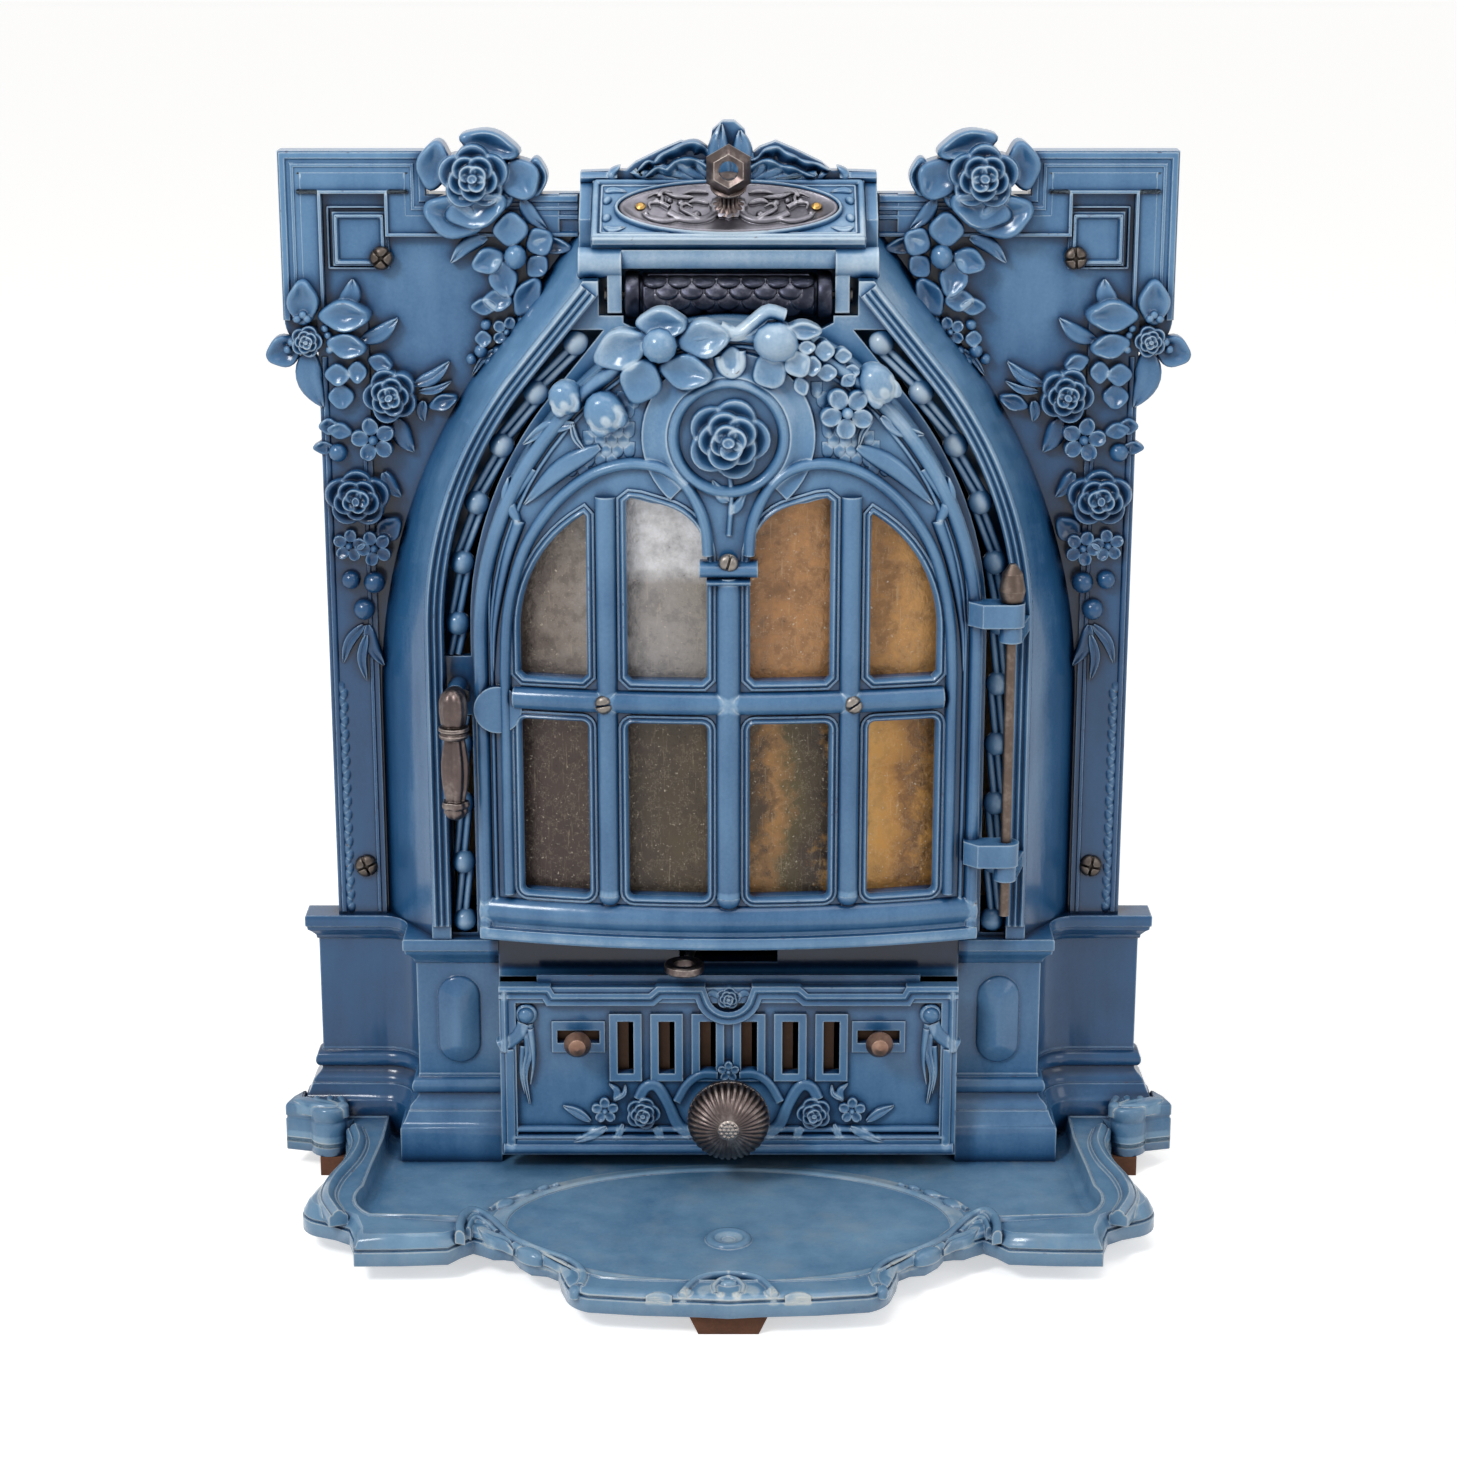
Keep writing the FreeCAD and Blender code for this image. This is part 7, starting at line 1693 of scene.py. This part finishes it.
@dataclass
class Tray:
    """Hearth tray: ogee rim round a sunk floor, wings, worn scrolls and the shell at its lip."""

    floor: float = 23
    low_crest: float = 31.2
    high_crest: float = 37
    wing_top: float = 53

    def bowed(self, rows: Sequence[Sequence[float]]) -> list[Point]:
        """Outline through rows of places, with an outward arc to each row that has a radius."""
        points: list[Point] = []
        for row in rows:
            if len(row) > 2:
                start, end = np.array(points[-1]), np.array(row[:2])
                chord = end - start
                left = np.array([-chord[1], chord[0]]) / np.linalg.norm(chord)
                centre = (start + end) / 2 + left * math.sqrt(max(row[2] ** 2 - chord @ chord / 4, 0))
                first = math.degrees(math.atan2(*(start - centre)[::-1]))
                last = math.degrees(math.atan2(*(end - centre)[::-1]))
                points += arc(tuple(centre), row[2], first, first + (last - first) % 360, 8)[1:-1]
            points.append((float(row[0]), float(row[1])))
        return points

    def crest(self, x: np.ndarray) -> np.ndarray:
        """Height of the rim's top, which drops where the drawer slides over it."""
        return np.interp(np.abs(x), (172, 196), (self.low_crest, self.high_crest))

    def outline(self) -> list[Point]:
        """Whole outer edge, from the left wing's back round the lip to the right."""
        half = self.bowed([
            (-308, -31), (-325, -45.9), (-331.1, -56), (-335, -70), (-315.8, -74.9), (-289.2, -79.1, 15),
            (-286, -105), (-288.1, -133), (-294, -160), (-301, -183), (-304, -196), (-294.1, -223, 21),
            (-280, -229), (-269, -237), (-264, -254), (-262, -270.9), (-228, -270.5), (-196, -268.1),
            (-188, -258), (-179.9, -251), (-172, -256), (-165.2, -261.1), (-158, -261), (-151.1, -262.9),
            (-146, -274), (-137, -284.9), (-126, -287), (-117.9, -294), (-115, -310), (-110.9, -324.1),
            (-95.1, -340.9, 26.8), (-60, -345.5), (-19.1, -347.9),
        ])
        return half + [(0, -350)] + mirror(half)

    def basin(self) -> list[Point]:
        """Whole edge of the sunk floor."""
        half = self.bowed([
            (-294, -31.5), (-311.5, -47), (-311.5, -59.3), (-258, -59.3), (-258, -100.1), (-262, -150),
            (-264, -185.2), (-253.9, -232.1, 40.2), (-220, -233), (-187.9, -232.1), (-183.9, -221.9),
            (-178, -219), (-171.9, -221.9), (-161, -237), (-152.1, -249.9), (-140, -269), (-125, -284.9),
            (-112, -299), (-100.2, -311.9), (-86, -319), (-70, -322), (-30, -324.6),
        ])
        return half + [(0, -325.2)] + mirror(half)

    def casting(self, relief: Relief) -> None:
        """Cast the rim's ogee, its top, the cove down to the floor, the floor and the underside."""
        outer, inner = np.array(self.outline()), np.array(self.basin())
        rows = [(0.6, 15, 0), (0, 15.6, 0), (0, 25.4, 0), (0.8, 26, 0), (1.7, 26.2, 0), (1.7, 27.2, 0),
                (0.8, 27.8, 0), (0.8, 28.6, 0), (1.6, 29, 0.1), (2.6, 29.2, 0.35), (4.6, 29.6, 0.8),
                (7, 29.8, 1)]
        across = mitres(outer, True)
        tops = self.crest(outer[:, 0])
        rings = [np.column_stack([outer + across * d, z + (tops - z) * share]) for d, z, share in rows]
        relief.loft(np.array(rings), capped=False)
        relief.add(rings[0], [list(range(len(outer)))])
        across = mitres(inner, True)
        tops = self.crest(inner[:, 0])
        cove = [(-2.2, 0, 1), (-1.4, 1, 1), (0, 0.9, 1), (0.9, -0.8, 1), (1.6, 29, 0), (3, 25.6, 0),
                (5.6, 23.6, 0), (9, self.floor, 0)]
        wells = [np.column_stack([inner + across * d, z + tops * share]) for d, z, share in cove]
        relief.loft(np.array(wells), capped=False)
        relief.add(wells[-1], [list(range(len(inner)))])
        lips = [[Vector(p) for p in rings[-1]], [Vector(p) for p in wells[0]]]
        relief.add(np.vstack([rings[-1], wells[0]]), [list(t) for t in tessellate_polygon(lips)])

    def wings(self, relief: Relief) -> None:
        """Cast the wings in front of the plinths with their fanned shells."""
        plan = self.bowed([(-322, -43.3), (-325, -45.9), (-331.1, -56), (-335, -70), (-315.8, -74.9),
                           (-289.2, -79.1, 15)])
        plan += [(-289.2, -59.5), (-322, -59.5)]
        edge = np.array(plan)
        across = mitres(edge, True)
        rings = [np.column_stack([edge + across * d, np.full(len(edge), z)]) for d,
                 z in ((0, 22), (0, 40), (0.7, 41), (0.7, 42.4), (0, 43.4), (0, 50.5), (0.8, 52.3),
                       (2, self.wing_top))]
        for _ in relief.sides():
            relief.loft(np.array(rings))
        shell = Relief(floor_at(self.wing_top), sink=8)
        for _ in shell.sides():
            shell.blade([(-328, -64), (-316, -69), (-303, -74), (-292, -76.5)], 14, rise=3.2, crease=1,
                        steps=12)
            for x, y, bend in ((-312, -62.5, 2), (-302, -62, 3), (-294, -62.5, 2)):
                shell.blade([(x, y), (x + 4 - bend, -69), (-290, -76.5)], 6, rise=2.6, shape=Blade.TAPER)
            shell.cap((-291, -76), (4.6, 4.2), rise=3)
        relief.join(shell)

    def scrolls(self) -> Relief:
        """Cast the scrolls on the rim, the drops beside the basin and the shell at the lip."""
        relief = Relief(lambda p: np.column_stack([p[:, :2], self.crest(p[:, 0]) + p[:, 2]]), sink=7)
        for _ in relief.sides():
            relief.moulding(smooth_path([(-281, -84), (-275, -110), (-277, -140), (-286, -176), (-287, -206),
                                         (-276, -236)], 30), [(-7, 0), (-5.4, 2), (-4.4, 1.6), (-3, 4),
                                                              (0, 5.4), (3, 4), (4.4, 1.6), (5.4, 2),
                                                              (7, 0)])
            relief.blade([(-188, -262), (-189, -246), (-188, -232), (-184, -220), (-177, -219), (-168, -229),
                          (-160, -244), (-151, -258), (-138, -272), (-124, -282), (-112, -291), (-103, -303),
                          (-99, -318), (-101, -332)], 7, rise=4, lift=-0.5, shape=Blade.STEM, steps=44,
                         end_lift=-2)
            relief.blade([(-183, -252), (-182, -238), (-178, -229), (-170, -238), (-163, -250)], 4, rise=2.4,
                         shape=Blade.STEM, steps=18)
            relief.blade([(-176, -243), (-166, -254), (-156, -261), (-150, -272)], 11, rise=4.6, lift=-1.5,
                         crease=2, end_lift=-3)
            relief.cap((-138, -280), (12, 6), -42, rise=5, lift=-2.5)
            relief.blade([(-150, -266), (-138, -279), (-124, -287), (-113, -300), (-109, -316)], 6, rise=3.4,
                         lift=-2.5, shape=Blade.STEM, steps=20, end_lift=-5)
            relief.cap((-104, -333), (6.4, 4.4), 80, rise=3.4, lift=-3)
            relief.blade([(-31, -345), (-27, -334), (-21, -324), (-11, -318), (0, -316.5)], 5.4, rise=4.2,
                         lift=-0.5, shape=Blade.STEM, steps=20)
            relief.blade([(0, -322), (-6, -325), (-10, -333), (-9, -343)], 5, rise=4, lift=-1,
                         shape=Blade.STEM, steps=14, end_lift=-3)
            relief.cap((-16, -338), (7, 5), 60, rise=4, lift=-2.5, hollow=0.6)
            relief.cap((-29, -342.5), (5.4, 3.6), 20, rise=4, lift=-1.5)
            relief.cap((-5.4, -344), (3.4, 3), 0, rise=5, lift=-4)
            relief.blade([(-38, -346), (-48, -343), (-56, -345)], 5, rise=3, lift=-2.5)
        relief.cap((0, -330), (4.4, 6.6), 90, rise=4.6, lift=-1.5)
        drops = Relief(floor_at(self.floor), sink=2)
        for _ in drops.sides():
            for x, y, a, b, turn in ((-163, -187, 9, 5.6, 35), (-149, -170, 8, 4.6, 30),
                                     (-136, -160.5, 5, 3, 20), (-127, -156.5, 3.4, 2, 15)):
                drops.cap((x, y), (a, b), turn, rise=5, hollow=0.3, tilt=1)
            drops.blade([(-172, -197), (-162, -181), (-146, -170)], 4, rise=3, shape=Blade.TAPER)
        drops.moulding(ellipse((0, -219), 160, 92, 72), [(-10, 0), (-5, 0.9), (-2, 1.5), (0, 1.4),
                                                         (1.2, 0.4)], closed=True)
        turned(drops, [(16.6, -1), (16.2, 1.2), (14.8, 2.7), (12.8, 3.1), (10.8, 2.5), (9.4, 1.5),
                       (5.8, 1.2), (5, 0.4), (4.6, -0.6)], centre=(0, -244), spokes=40)
        relief.join(drops)
        return relief

    def build(self) -> None:
        """Build the tray in place of its plain casting."""
        relief = Relief(lambda p: p)
        self.casting(relief)
        self.wings(relief)
        relief.join(self.scrolls())
        piece = relief.make("scrolled_hearth_tray", Body.STOVE, Slot.TRAY)
        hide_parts("hearth_tray")


def dress_castings() -> None:
    """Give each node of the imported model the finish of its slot."""
    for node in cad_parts.values():
        for place in node.material_slots:
            place.material = MATERIALS[Slot(place.material.name.split(".")[0])]
    # The gallery gets the paler enamel, painted light against the shade of its deep slot
    for name in ("gallery_left", "gallery_right"):
        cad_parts[name].material_slots[0].material = GALLERY_LIT_ENAMEL
    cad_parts["door_hinge_pin"].material_slots[0].material = WORN_PIN


def set_camera() -> None:
    """Place the camera where the photograph was taken from."""
    data = bpy.data.cameras.new("camera")
    # Lens and sensor in millimetres; the camera stands 2.3 m off, 1 m up, and looks down by 16.6 degrees
    data.sensor_width = 36
    data.lens = 79.07
    camera = bpy.data.objects.new("camera", data)
    camera.location = (0, -2.308, 1.014)
    camera.rotation_euler = Euler((math.radians(90 - 16.57), 0, 0))
    bpy.context.scene.collection.objects.link(camera)
    bpy.context.scene.camera = camera


def background_rays(tree: NodeTree) -> NodeSocket:
    """Socket that is one where the camera, a mirror or glass looks, and zero for diffuse light."""
    rays = add_node(tree, "ShaderNodeLightPath").node.outputs
    total = add_up(tree, 0.0, [(rays[f"Is {kind} Ray"], 1) for kind in ("Camera", "Glossy", "Transmission")])
    return add_node(tree, "ShaderNodeMapRange", {0: total})


def set_light() -> None:
    """Light the stove like a product photograph: white surroundings, a large lamp upper left and a fill."""
    world = bpy.data.worlds.new("studio")
    world.use_nodes = True
    tree = world.node_tree
    back = next(n for n in tree.nodes if n.type == "BACKGROUND")
    # White where it is seen, and less than half as strong where it only lights the stove
    strength = add_node(tree, "ShaderNodeMapRange", {0: background_rays(tree), 3: 0.45, 4: 1.0})
    back.inputs["Color"].default_value = linear("#ffffff")
    tree.links.new(strength, back.inputs["Strength"])
    bpy.context.scene.world = world
    target = Vector((0, 0, 0.4))
    for name, place, size, energy in (
        ("key", (-1.5, -1.9, 2.3), 0.7, 48), ("fill", (2.0, -1.6, 1.2), 1.2, 10),
        ("top", (0.2, -0.5, 2.6), 1.4, 16),
    ):
        data = bpy.data.lights.new(name, "AREA")
        data.size = size
        data.energy = energy
        lamp = bpy.data.objects.new(name, data)
        lamp.location = place
        lamp.rotation_euler = (target - Vector(place)).to_track_quat("-Z", "Y").to_euler()
        bpy.context.scene.collection.objects.link(lamp)


def set_floor() -> None:
    """Lay a plain pale floor that keeps the stove's shadow."""
    mesh = bpy.data.meshes.new("studio_floor")
    far = 30.0
    mesh.from_pydata([(-far, -far, 0), (far, -far, 0), (far, far, 0), (-far, far, 0)], [], [(0, 1, 2, 3)])
    floor = bpy.data.objects.new("studio_floor", mesh)
    bpy.context.scene.collection.objects.link(floor)
    # Backdrop paper is matt with fibres of about 1 mm, and glows to the eye so that it stays white
    paper = Shader("matt_white_paper")
    fibre = paper.add("ShaderNodeTexNoise", {"Vector": paper.where, "Scale": 900, "Detail": 2})
    paper.put(Base_Color=paper.add("ShaderNodeValToRGB", {"Fac": fibre}, stops=[(0.3, "#f1f0ee"),
                                                                                (0.7, "#f6f5f3")]),
              Roughness=0.9, Specular_IOR_Level=0.1, Emission_Color=linear("#ffffff"),
              Emission_Strength=paper.add("ShaderNodeMapRange", {0: background_rays(paper.tree), 3: 0.0,
                                                                 4: 0.55}))
    mesh.materials.append(paper.material)


def main() -> None:
    """Build the scene in order."""
    logging.basicConfig(level=logging.INFO, format="%(name)s %(message)s")
    bpy.context.scene.view_settings.view_transform = "Standard"
    dress_castings()
    for assembly in (Facade(), Door(), Drawer(), Lid(), Crest(), Handles(), BaseCasting(), Tray(),
                     Textures(), Screws()):
        assembly.build()
        log.info("%s done", type(assembly).__name__)
    set_floor()
    set_light()
    set_camera()


if __name__ == "__main__":
    main()
